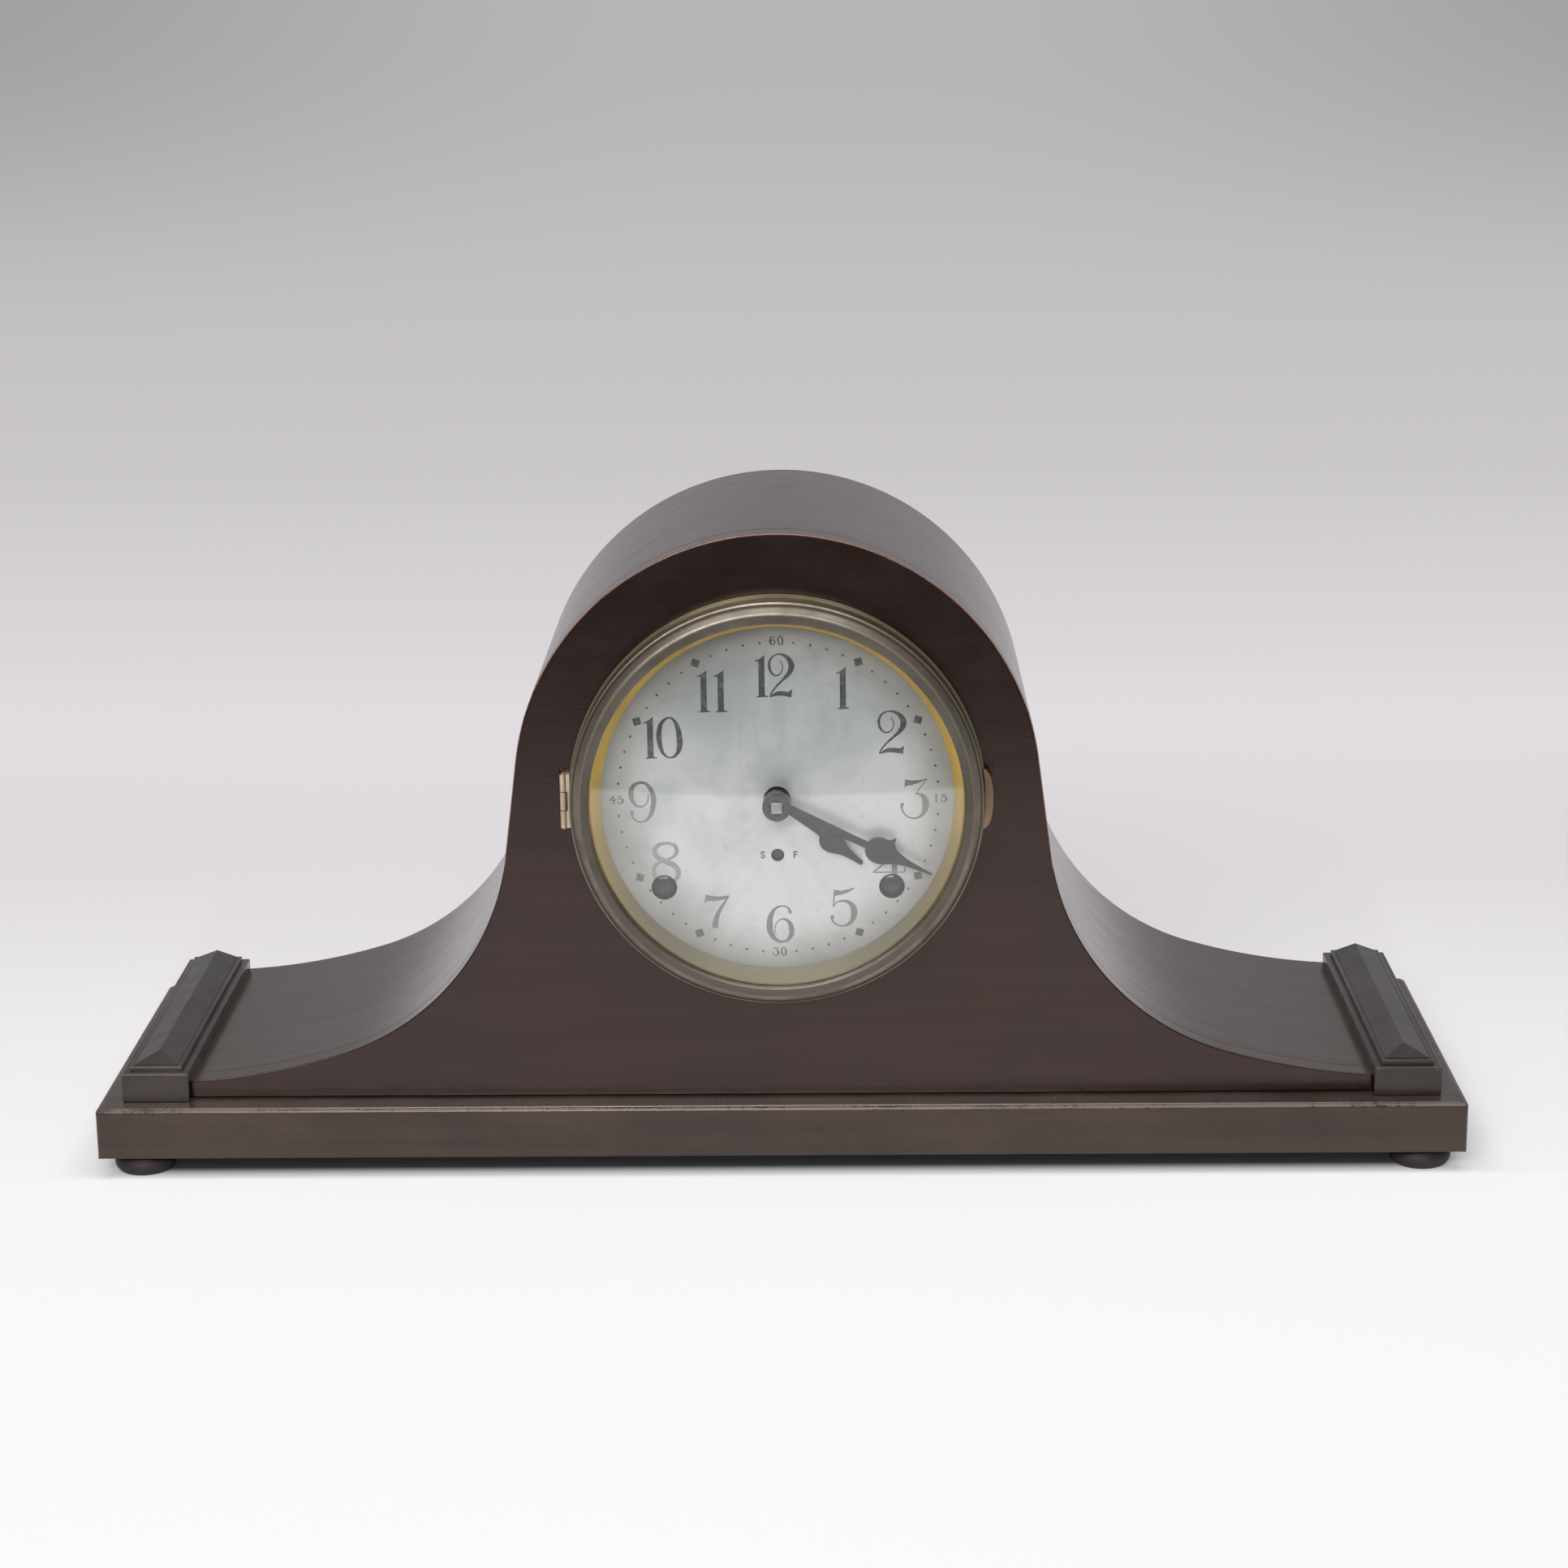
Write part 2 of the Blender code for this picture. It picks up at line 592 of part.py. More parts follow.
# Base and feet
def build_base():
    low = (-BASE_LENGTH / 2, BASE_FRONT, FOOT_HEIGHT + TOUCH)
    high = (BASE_LENGTH / 2, BASE_BACK, BASE_TOP)
    board = box("base_board", low, high, DARK_WOOD)
    bevel = board.modifiers.new("worn_edges", "BEVEL")
    bevel.width = BASE_EDGE_ROUND
    bevel.segments = 2
    bevel.limit_method = "ANGLE"
    places = {
        "foot_front_left": (-1, BASE_FRONT + FOOT_FROM_SIDE),
        "foot_front_right": (1, BASE_FRONT + FOOT_FROM_SIDE),
        "foot_back_left": (-1, BASE_BACK - FOOT_FROM_SIDE),
        "foot_back_right": (1, BASE_BACK - FOOT_FROM_SIDE),
    }
    profile = foot_profile()
    for name, (side, y) in places.items():
        x = side * (BASE_LENGTH / 2 - FOOT_FROM_END)
        turned(name, profile, (x, y, 0.0), BLOCK_WOOD, 16, facing="up")


def foot_profile():
    """A flattened bun from the underside of the base down to its flat rest."""
    half = FOOT_HEIGHT / 2
    bulge = [
        (FOOT_RADIUS - FOOT_BULGE + FOOT_BULGE * math.cos(angle), half + half * math.sin(angle))
        for angle in (math.radians(90 - 45 * i) for i in range(5))
    ]
    return [(0.0, FOOT_HEIGHT)] + bulge + [(0.0, 0.0)]


# Case shell
def build_case():
    floor = BASE_TOP + TOUCH
    opening = circle(0.0, DIAL_Z, FRONT_OPENING_RADIUS, 36)
    front = plate("front_board", [bell_outline(0.0, floor), opening], CASE_FRONT, FRONT_BOARD_BACK, DARK_WOOD)
    cut(front, hinge_mortise(), tab_mortise())

    outer = whole_width(right_half(0.0))
    inner = whole_width(right_half(WRAP_THICKNESS))
    plate("top_wrap", [outer + inner[::-1]], FRONT_BOARD_BACK + TOUCH, CASE_BACK, DARK_WOOD)

    back_outline = bell_outline(WRAP_THICKNESS + TOUCH, floor)
    back_opening = circle(0.0, DIAL_Z, BACK_OPENING_RADIUS, 36)
    plate("back_board", [back_outline, back_opening], BACK_BOARD_FRONT, BACK_BOARD_BACK, RAW_WOOD)


def hinge_mortise():
    """The pocket for the fixed leaf, open a little higher than the leaf, as the fitted one is."""
    half = BEZEL_HINGE_HEIGHT / 2 + TOUCH
    return box(
        "hinge_mortise",
        (-BEZEL_HINGE_ACROSS - BEZEL_KNUCKLE_RADIUS - TOUCH, CASE_FRONT - CUT_PAST, DIAL_Z - half),
        (
            -FRONT_OPENING_RADIUS - HINGE_MORTISE_FROM_OPENING,
            CASE_FRONT + MORTISE_DEPTH,
            DIAL_Z + half + HINGE_MORTISE_SPARE,
        ),
    )


def tab_mortise():
    half = TAB_HEIGHT / 2
    return box(
        "tab_mortise",
        (FLANGE_RADIUS - TAB_MORTISE_UNDER, CASE_FRONT - CUT_PAST, DIAL_Z + half - TAB_MORTISE_DOWN),
        (FLANGE_RADIUS + TAB_MORTISE_PAST, CASE_FRONT + MORTISE_DEPTH, DIAL_Z + half + TAB_MORTISE_PAST),
    )


def build_end_block(name, side):
    """A stepped block with a roof that is hipped at the front and ends in a gable at the back."""
    inner = WING_REACH + TOUCH
    x_range = sorted((side * inner, side * (inner + BLOCK_WIDTH)))
    y_front, y_back = CASE_FRONT - BLOCK_AHEAD, CASE_BACK
    bottom = BASE_TOP + TOUCH
    bm = bmesh.new()
    bmesh.ops.create_cube(bm, size=1.0)
    size = (BLOCK_WIDTH, y_back - y_front, BLOCK_HEIGHT - TOUCH)
    centre = (sum(x_range) / 2, (y_front + y_back) / 2, bottom + size[2] / 2)
    bmesh.ops.scale(bm, vec=size, verts=bm.verts)
    bmesh.ops.translate(bm, vec=centre, verts=bm.verts)
    bm.faces.ensure_lookup_table()
    top = max(bm.faces, key=lambda face: face.calc_center_median().z)
    bmesh.ops.inset_region(bm, faces=[top], thickness=BLOCK_LEDGE, depth=0.0)
    for rise in (BLOCK_STEP, BLOCK_RIDGE_RISE):
        raised = bmesh.ops.extrude_face_region(bm, geom=[top])["geom"]
        bmesh.ops.delete(bm, geom=[top], context="FACES_ONLY")
        verts = [item for item in raised if isinstance(item, bmesh.types.BMVert)]
        bmesh.ops.translate(bm, vec=(0.0, 0.0, rise), verts=verts)
        top = next(item for item in raised if isinstance(item, bmesh.types.BMFace))
    for vert in verts:
        vert.co.x = centre[0]
        if vert.co.y < centre[1]:
            vert.co.y += BLOCK_HIP_RUN
    bmesh.ops.remove_doubles(bm, verts=bm.verts, dist=WELD)
    return mesh_object(name, bm, BLOCK_WOOD)


# Dial
def build_dial():
    holes = [
        circle(0.0, DIAL_Z, CENTRE_HOLE_RADIUS, 16),
        circle(WINDING_ACROSS, DIAL_Z - WINDING_BELOW, WINDING_HOLE_RADIUS, 20),
        circle(-WINDING_ACROSS, DIAL_Z - WINDING_BELOW, WINDING_HOLE_RADIUS, 20),
        circle(0.0, DIAL_Z - REGULATOR_BELOW, REGULATOR_HOLE_RADIUS, 12),
    ]
    edge = circle(0.0, DIAL_Z, DIAL_RADIUS, 48)
    dial_back = DIAL_FACE + DIAL_THICKNESS
    plate("dial_plate", [edge] + holes, DIAL_FACE, dial_back, SILVERED)
    ring = [edge, circle(0.0, DIAL_Z, PAN_INNER_RADIUS, 36)]
    plate("dial_pan", ring, dial_back + TOUCH, CASE_FRONT - TOUCH, BRASS)


# Bezel: heights here are distances ahead of the case front
def bezel_profile():
    crest = [
        (
            BEZEL_RADIUS - CREST_INSET + CREST_ROUND * math.cos(a),
            CREST_PROUD - CREST_ROUND + CREST_ROUND * math.sin(a),
        )
        for a in (math.radians(30 + 30 * i) for i in range(4))
    ]
    pocket = GLASS_RADIUS + TOUCH
    inner_wall = BEZEL_RADIUS - BEZEL_WALL
    return [
        (FLANGE_RADIUS, FLANGE_LIFT),
        (FLANGE_RADIUS, FLANGE_LIFT + FLANGE_THICKNESS),
        (BEZEL_RADIUS, FLANGE_LIFT + FLANGE_THICKNESS),
        (BEZEL_RADIUS, LIP_PROUD - SHOULDER_DROP),
        (BEZEL_RADIUS - SHOULDER_WIDTH, LIP_PROUD - SHOULDER_DROP + SHOULDER_WIDTH),
        *crest,
        (LIP_RADIUS + LIP_SLOPE_WIDTH, LIP_PROUD + LIP_SLOPE_RISE),
        (LIP_RADIUS, LIP_PROUD),
        (LIP_RADIUS, LIP_PROUD - LIP_THICKNESS),
        (pocket, LIP_PROUD - LIP_THICKNESS),
        (pocket, LIP_PROUD - POCKET_DEPTH),
        (inner_wall, LIP_PROUD - POCKET_DEPTH - POCKET_SLOPE),
        (inner_wall, FLANGE_LIFT),
    ]


def glass_profile():
    """A domed disc of even thickness: the outer face from the middle out, then the inner face back."""
    front_edge = LIP_PROUD - GLASS_SETBACK
    dome = (GLASS_RADIUS**2 + GLASS_BULGE**2) / (2 * GLASS_BULGE)

    def height(radius):
        return front_edge - (dome - GLASS_BULGE) + math.sqrt(dome**2 - radius**2)

    radii = [GLASS_RADIUS * i / 5 for i in range(6)]
    outer = [(r, height(r)) for r in radii]
    return outer + [(r, h - GLASS_THICKNESS) for r, h in reversed(outer)]


def sight_profile():
    """The gilt cone behind the glass, from the glass down to just over the dial."""
    seat = LIP_PROUD - GLASS_SETBACK - GLASS_THICKNESS - TOUCH
    foot = DIAL_PROUD + SIGHT_CLEAR
    wall = SIGHT_WALL
    return [
        (GLASS_RADIUS, seat),
        (LIP_RADIUS, seat),
        (SIGHT_INNER_RADIUS, foot),
        (SIGHT_INNER_RADIUS + wall, foot),
        (LIP_RADIUS + wall, seat - wall),
        (GLASS_RADIUS, seat - wall),
    ]


def build_bezel():
    centre = (0.0, CASE_FRONT, DIAL_Z)
    ring = turned("bezel_ring", bezel_profile(), centre, AGED_BRASS, 48, closed=True)
    glass = turned("bezel_glass", glass_profile(), centre, CLEAR, 36)
    sight = turned("sight_ring", sight_profile(), centre, GILT, 40, closed=True)

    axis_x, axis_y = -BEZEL_HINGE_ACROSS, CASE_FRONT - BEZEL_HINGE_PROUD
    flange_front = CASE_FRONT - FLANGE_LIFT - FLANGE_THICKNESS
    leaf = butt_hinge(
        "bezel_hinge",
        (axis_x, axis_y),
        DIAL_Z,
        BEZEL_HINGE_HEIGHT,
        BEZEL_KNUCKLE_RADIUS,
        BEZEL_HINGE_PIN_RADIUS,
        moving=(axis_x, -BEZEL_RADIUS - TOUCH, flange_front - TOUCH - HINGE_SHEET / 2),
        fixed=(
            axis_x - BEZEL_PLATE_PAST,
            -FRONT_OPENING_RADIUS - BEZEL_PLATE_FROM_OPENING,
            CASE_FRONT + BEZEL_PLATE_DEEP,
        ),
        material=AGED_BRASS,
    )

    # the tab is a half-round tongue in front of the flange
    tab_front = flange_front - TOUCH - TAB_THICKNESS
    width, half = TAB_WIDTH, TAB_HEIGHT / 2
    start = BEZEL_RADIUS + TOUCH - TAB_ROOT
    sweep = math.asin(half / BEZEL_RADIUS) * TAB_SHARE
    inner = arc((0.0, DIAL_Z), BEZEL_RADIUS + TOUCH, sweep, -sweep, 8)
    reach = start + width - TAB_ROUND
    outer = [
        (reach + TAB_ROUND * math.cos(a), DIAL_Z + half * TAB_SHARE * math.sin(a))
        for a in (math.radians(-78 + 156 * i / 8) for i in range(9))
    ]
    tab = plate("lift_tab", [inner + outer], tab_front, tab_front + TAB_THICKNESS, AGED_BRASS)
    joint_empty("bezel_axis", (axis_x, axis_y, DIAL_Z), ring, glass, sight, leaf, tab)


def butt_hinge(name, axis, middle, height, radius, pin_radius, moving, fixed, material):
    """A hinge about a vertical axis: a leaf with the two end knuckles, a plate with the middle one, and a pin.

    Moving and fixed are each (x_from, x_to, y_middle) of the flat part.
    """
    x, y = axis
    low, high = middle - height / 2, middle + height / 2
    third_low, third_high = middle - height / 6, middle + height / 6
    half, web_half = HINGE_SHEET / 2, HINGE_WEB / 2
    knuckle_top, knuckle_bottom = third_high + TOUCH, third_low - TOUCH

    def flat(title, sizes):
        x_from, x_to, at_y = sizes
        return box(name + title, (x_from, at_y - half, low), (x_to, at_y + half, high), material)

    def knuckle(title, z_low, z_high):
        return rod(name + title, (x, y, z_low), (x, y, z_high), radius)

    def web(title, at_y, z_low, z_high):
        y_low, y_high = sorted((y, at_y))
        return box(name + title, (x - web_half, y_low, z_low), (x + web_half, y_high, z_high))

    def bore(title):
        return rod(name + title, (x, y, low - CUT_PAST), (x, y, high + CUT_PAST), pin_radius + RUN)

    leaf = flat("_leaf", moving)
    fuse(leaf, knuckle("_low_knuckle", low, knuckle_bottom), knuckle("_high_knuckle", knuckle_top, high))
    clear = radius + TOUCH
    notch = box(
        name + "_notch",
        (x - clear, y - clear - CUT_PAST, knuckle_bottom),
        (x + clear, y + clear + CUT_PAST, knuckle_top),
    )
    cut(leaf, notch, bore("_leaf_bore"))

    plate_piece = flat("_plate", fixed)
    fuse(plate_piece, knuckle("_mid_knuckle", third_low, third_high), web("_web", fixed[2], third_low, third_high))
    cut(plate_piece, bore("_plate_bore"))
    ends = ((x, y, low - HINGE_PIN_PAST), (x, y, high + HINGE_PIN_PAST))
    rod(name + "_pin", *ends, pin_radius, material, sides=10)
    return leaf


# Hands
def spade_hand(name, length, angle, y_front, boss, hole, spade, halves):
    """A hand with a round boss, a tapering arm and a spade with a drawn-out tip."""
    start, widest, waist = (length - back for back in spade)
    arm, neck, half, waist_half, tip_half = halves
    side = [(boss * math.cos(math.asin(arm / boss)), arm), (start, neck)]
    for i in range(1, 6):
        a = math.radians(90 * i / 5)
        side.append((widest - (widest - start) * math.cos(a), neck + (half - neck) * math.sin(a)))
    for i in range(1, 6):
        t = i / 5
        ease = (1 - t) ** 1.4
        side.append((widest + (waist - widest) * t, waist_half + (half - waist_half) * ease))
    side.append((length, tip_half))
    open_angle = math.asin(arm / boss)
    boss_arc = arc((0.0, 0.0), boss, open_angle, 2 * math.pi - open_angle, 20)[1:-1]
    outline = side[::-1] + boss_arc + [(x, -z) for x, z in side]
    turn = math.pi / 2 - angle
    cos_turn, sin_turn = math.cos(turn), math.sin(turn)
    placed = [(x * cos_turn - z * sin_turn, DIAL_Z + x * sin_turn + z * cos_turn) for x, z in outline]
    bore = circle(0.0, DIAL_Z, hole, 16)
    return plate(name, [placed, bore], y_front, y_front + HAND_THICKNESS, BLUED_STEEL)


# Gears
def toothed_outline(place, teeth, phase, tooth):
    """A toothed edge: one tooth, as (radius, share of the pitch) points, repeated round a place."""
    step = 2 * math.pi / teeth
    points = []
    for i in range(teeth):
        for radius, share in tooth:
            angle = phase + (i + share) * step
            points.append((place[0] + radius * math.cos(angle), place[1] + radius * math.sin(angle)))
    return points


def gear_outline(place, teeth, module, phase):
    """The pointed teeth of a clock wheel, with one of them centred on the phase angle."""
    pitch_radius = teeth * module / 2
    outer, inner = pitch_radius + TOOTH_RISE * module, pitch_radius - TOOTH_DEPTH * module
    tooth = [(inner, -TOOTH_SHARE / 2), (outer, 0.0), (inner, TOOTH_SHARE / 2)]
    return toothed_outline(place, teeth, phase, tooth)


def saw_outline(place, teeth, outer, inner):
    """A ratchet's or an escape wheel's edge: leaning teeth with one steep side."""
    return toothed_outline(place, teeth, 0.0, [(inner, 0.0), (outer, 0.15), (inner, 0.55)])


def towards(start, end):
    return math.atan2(end[1] - start[1], end[0] - start[0])


def meeting_point(first, reach_first, second, reach_second, side):
    """The point at given distances from two others, to one side of the line between them."""
    span = math.dist(first, second)
    along = (reach_first**2 - reach_second**2 + span**2) / (2 * span)
    off = math.sqrt(max(reach_first**2 - along**2, 0.0)) * side
    ux, uz = (second[0] - first[0]) / span, (second[1] - first[1]) / span
    return (first[0] + ux * along - uz * off, first[1] + uz * along + ux * off)


CENTRE = (0.0, DIAL_Z)
TIME_GREAT = (WINDING_ACROSS, DIAL_Z - WINDING_BELOW)
STRIKE_GREAT = (-WINDING_ACROSS, DIAL_Z - WINDING_BELOW)
GREAT_REACH = (GREAT_TEETH + LEAVES) * GREAT_MODULE / 2
SECOND_REACH = (SECOND_TEETH + LEAVES) * SECOND_MODULE / 2
CENTRE_REACH = (CENTRE_TEETH + LEAVES) * CENTRE_MODULE / 2
THIRD_REACH = (THIRD_TEETH + LEAVES) * THIRD_MODULE / 2
MOTION_REACH = (CANNON_TEETH + MINUTE_TEETH) * CANNON_MODULE / 2
CHANGE_MODULE = 2 * MOTION_REACH / (CHANGE_LEAVES + HOUR_TEETH)
SECOND = meeting_point(CENTRE, SECOND_REACH, TIME_GREAT, GREAT_REACH, 1)
STRIKE_PIN = meeting_point(CENTRE, SECOND_REACH + STRIKE_ASIDE, STRIKE_GREAT, GREAT_REACH, -1)
ESCAPE = (0.0, DIAL_Z + ESCAPE_ABOVE)
THIRD = meeting_point(CENTRE, CENTRE_REACH, ESCAPE, THIRD_REACH, -1)
VERGE = (0.0, ESCAPE[1] + VERGE_ABOVE_ESCAPE)
FLY = (
    STRIKE_PIN[0] + SECOND_REACH * math.cos(FLY_DIRECTION),
    STRIKE_PIN[1] + SECOND_REACH * math.sin(FLY_DIRECTION),
)
MINUTE_WHEEL = (-MOTION_REACH * math.sqrt(0.5), DIAL_Z + MOTION_REACH * math.sqrt(0.5))
HAMMER = (-HAMMER_ASIDE, DIAL_Z - HAMMER_BELOW)

# Planes of the train, each the front of its wheel
GREAT_Y = INSIDE_FRONT + GREAT_PLANE
SECOND_Y = INSIDE_BACK - SECOND_PLANE
CENTRE_Y = INSIDE_FRONT + CENTRE_PLANE
THIRD_Y = INSIDE_FRONT + THIRD_PLANE
ESCAPE_Y = INSIDE_FRONT + ESCAPE_PLANE
CANNON_Y = PLATE_FRONT - CANNON_AHEAD
CHANGE_Y = CANNON_Y - CHANGE_AHEAD


def arbor(name, place, y_from, y_to, radius=ARBOR_RADIUS):
    """An arbor between the plates, with thinner pivots that run in them."""
    pivots = shaft(name + "_pivots", *place, y_from, y_to, PIVOT_RADIUS, sides=10)
    body = shaft(name + "_body", *place, INSIDE_FRONT + TOUCH, INSIDE_BACK - TOUCH, radius, sides=10)
    return pivots, body


def pinion(name, place, module, phase, wheel_y, leaves=LEAVES):
    outline = gear_outline(place, leaves, module, phase)
    return plate(name, [outline], wheel_y - PINION_OVERLAP, wheel_y + WHEEL_THICKNESS + PINION_OVERLAP)


def train_wheel(name, place, teeth, module, wheel_y, partner, leaf_module, leaf_y, leaf_partner, material=BRASS):
    """A wheel and a pinion on one arbor. Each is turned so that it meshes with its partner at rest."""
    outline = gear_outline(place, teeth, module, towards(place, partner))
    wheel = plate(name, [outline], wheel_y, wheel_y + WHEEL_THICKNESS, material)
    half_leaf = math.pi / LEAVES
    leaf_phase = towards(place, leaf_partner) + half_leaf
    leaves = pinion(name + "_pinion", place, leaf_module, leaf_phase, leaf_y)
    pivots, body = arbor(name, place, PLATE_FRONT, PLATE_BACK)
    return fuse(wheel, leaves, body, pivots)


def build_time_train():
    great = great_wheel("time", TIME_GREAT, SECOND)
    second = train_wheel(
        "time_second_wheel", SECOND, SECOND_TEETH, SECOND_MODULE, SECOND_Y, CENTRE, GREAT_MODULE, GREAT_Y, TIME_GREAT
    )
    third = train_wheel(
        "third_wheel", THIRD, THIRD_TEETH, THIRD_MODULE, THIRD_Y, ESCAPE, CENTRE_MODULE, CENTRE_Y, CENTRE
    )
    joint_empty("time_second_axis", (SECOND[0], SECOND_Y, SECOND[1]), second)
    joint_empty("third_axis", (THIRD[0], THIRD_Y, THIRD[1]), third)

    teeth = saw_outline(ESCAPE, ESCAPE_TEETH, ESCAPE_RADIUS, ESCAPE_RADIUS - ESCAPE_DEPTH)
    escape = plate("escape_wheel", [teeth], ESCAPE_Y, ESCAPE_Y + ESCAPE_THICKNESS, BRASS)
    leaves = pinion("escape_pinion", ESCAPE, THIRD_MODULE, towards(ESCAPE, THIRD) + math.pi / LEAVES, THIRD_Y)
    pivots, body = arbor("escape", ESCAPE, PLATE_FRONT, PLATE_BACK, ESCAPE_ARBOR_RADIUS)
    fuse(escape, leaves, body, pivots)
    joint_empty("escape_axis", (ESCAPE[0], ESCAPE_Y, ESCAPE[1]), escape)
    return great


def great_wheel(train, place, partner):
    """A great wheel with its click, the winding arbor with its ratchet, and the mainspring behind them."""
    outline = gear_outline(place, GREAT_TEETH, GREAT_MODULE, towards(place, partner))
    bore = circle(*place, WINDER_RADIUS + RUN, 16)
    wheel = plate(train + "_great_wheel", [outline, bore], GREAT_Y, GREAT_Y + WHEEL_THICKNESS, BRASS)

    ratchet_front = INSIDE_FRONT + RATCHET_CLEAR
    ratchet_back = GREAT_Y - TOUCH
    collar_front = ratchet_front + RATCHET_LAP
    pivot_front = PLATE_FRONT - WINDER_FRONT_AHEAD
    pivot_back = INSIDE_BACK - WINDER_BACK_LAP
    square_front = CASE_FRONT + WINDER_SQUARE_BEHIND
    square_back = PLATE_FRONT - WINDER_SQUARE_LAP
    teeth = saw_outline(place, RATCHET_TEETH, RATCHET_RADIUS, RATCHET_RADIUS - RATCHET_DEPTH)
    winder = plate(train + "_winding_arbor", [teeth], ratchet_front, ratchet_back, STEEL)
    collar = shaft(train + "_collar", *place, collar_front, INSIDE_BACK - TOUCH, WINDER_RADIUS, sides=12)
    front_pivot = shaft(train + "_front_pivot", *place, pivot_front, ratchet_back, WINDER_FRONT_RADIUS, sides=12)
    back_pivot = shaft(train + "_back_pivot", *place, pivot_back, PLATE_BACK, WINDER_BACK_RADIUS, sides=12)
    corner = WINDING_SQUARE * math.sqrt(0.5)
    square = shaft(train + "_square", *place, square_front, square_back, corner, sides=4)
    fuse(winder, collar, front_pivot, back_pivot, square)

    # the click lies in the ratchet's plane, on the great wheel, with its nose over a tooth gap
    side = math.copysign(1.0, place[0])
    click_outline = [(place[0] + side * (RATCHET_RADIUS + out), place[1] + up) for out, up in CLICK_POINTS]
    click = plate(train + "_click", [click_outline], collar_front, ratchet_back, STEEL)
    mainspring(train, place)
    joint_empty(train + "_great_axis", (place[0], GREAT_Y, place[1]), wheel, click)
    joint_empty(train + "_winding_axis", (place[0], ratchet_front, place[1]), winder)
    return wheel


def mainspring(train, place):
    """A coiled strip whose inner end lies against the arbor's collar and whose outer end reaches a pillar."""
    side = math.copysign(1.0, place[0])
    pillar = (side * (PLATE_WIDTH / 2 - PILLAR_INSET), DIAL_Z - PLATE_BOTTOM + PILLAR_INSET)
    last_reach = math.dist(place, pillar) - PILLAR_RADIUS - TOUCH - SPRING_STRIP
    end_angle = towards(place, pillar)
    steps = SPRING_TURNS * 12
    inner_start = WINDER_RADIUS + TOUCH

    def radius_at(turns):
        coil = SPRING_INNER_RADIUS + (SPRING_OUTER_RADIUS - SPRING_INNER_RADIUS) * turns / SPRING_TURNS
        opening = math.sin(min(turns, 1.0) * math.pi / 2)
        tail = max(turns - SPRING_TURNS + 0.2, 0.0) / 0.2
        return inner_start + (coil - inner_start) * opening + (last_reach - coil) * tail**2

    inner, outer = [], []
    for i in range(steps + 1):
        turns = SPRING_TURNS * i / steps
        angle = end_angle - side * 2 * math.pi * (SPRING_TURNS - turns)
        radius = radius_at(turns)
        inner.append((place[0] + radius * math.cos(angle), place[1] + radius * math.sin(angle)))
        radius += SPRING_STRIP
        outer.append((place[0] + radius * math.cos(angle), place[1] + radius * math.sin(angle)))
    y_front = GREAT_Y + WHEEL_THICKNESS + SPRING_BEHIND
    plate(train + "_mainspring", [inner + outer[::-1]], y_front, y_front + SPRING_WIDTH, STEEL)


def build_centre():
    """The centre arbor with its wheel, pinion and cannon, and the two hands' own pieces."""
    outline = gear_outline(CENTRE, CENTRE_TEETH, CENTRE_MODULE, towards(CENTRE, THIRD))
    centre = plate("centre_arbor", [outline], CENTRE_Y, CENTRE_Y + WHEEL_THICKNESS, BRASS)
    half_leaf = math.pi / LEAVES
    drive = pinion("centre_pinion", CENTRE, SECOND_MODULE, towards(CENTRE, SECOND) + half_leaf, SECOND_Y)
    cannon_phase = towards(CENTRE, MINUTE_WHEEL) + math.pi / CANNON_TEETH
    cannon = pinion("cannon_pinion", CENTRE, CANNON_MODULE, cannon_phase, CANNON_Y, CANNON_TEETH)
    tip = MINUTE_FRONT - COLLET_RISE - SQUARE_PROUD
    square_back = MINUTE_FRONT + HAND_THICKNESS + SQUARE_ROOT
    neck = shaft("centre_neck", *CENTRE, MINUTE_FRONT, PLATE_BACK, CENTRE_ARBOR_RADIUS, sides=12)
    body = shaft("centre_body", *CENTRE, INSIDE_FRONT + TOUCH, INSIDE_BACK - TOUCH, CENTRE_BODY_RADIUS, sides=12)
    square = shaft("centre_square", *CENTRE, tip, square_back, SQUARE_RADIUS, sides=4, turn=math.pi / 4)
    fuse(centre, drive, cannon, neck, body, square)

    boss, hole = MINUTE_BOSS_RADIUS, SQUARE_RADIUS + RUN
    minute = spade_hand(
        "minute_hand", MINUTE_HAND_LENGTH, MINUTE_ANGLE, MINUTE_FRONT, boss, hole, MINUTE_SPADE, MINUTE_HALVES
    )
    bore = SQUARE_RADIUS + SQUARE_PLAY
    collet_profile = [
        (bore, 0.0),
        (COLLET_RADIUS, 0.0),
        (COLLET_RADIUS, COLLET_RISE - COLLET_CHAMFER),
        (COLLET_RADIUS - COLLET_CHAMFER, COLLET_RISE),
        (bore, COLLET_RISE),
    ]
    place = (0.0, MINUTE_FRONT - TOUCH, DIAL_Z)
    collet = turned("hand_collet", collet_profile, place, BLUED_STEEL, 24, closed=True)
    joint_empty("centre_axis", (0.0, CENTRE_Y, DIAL_Z), centre, minute, collet)


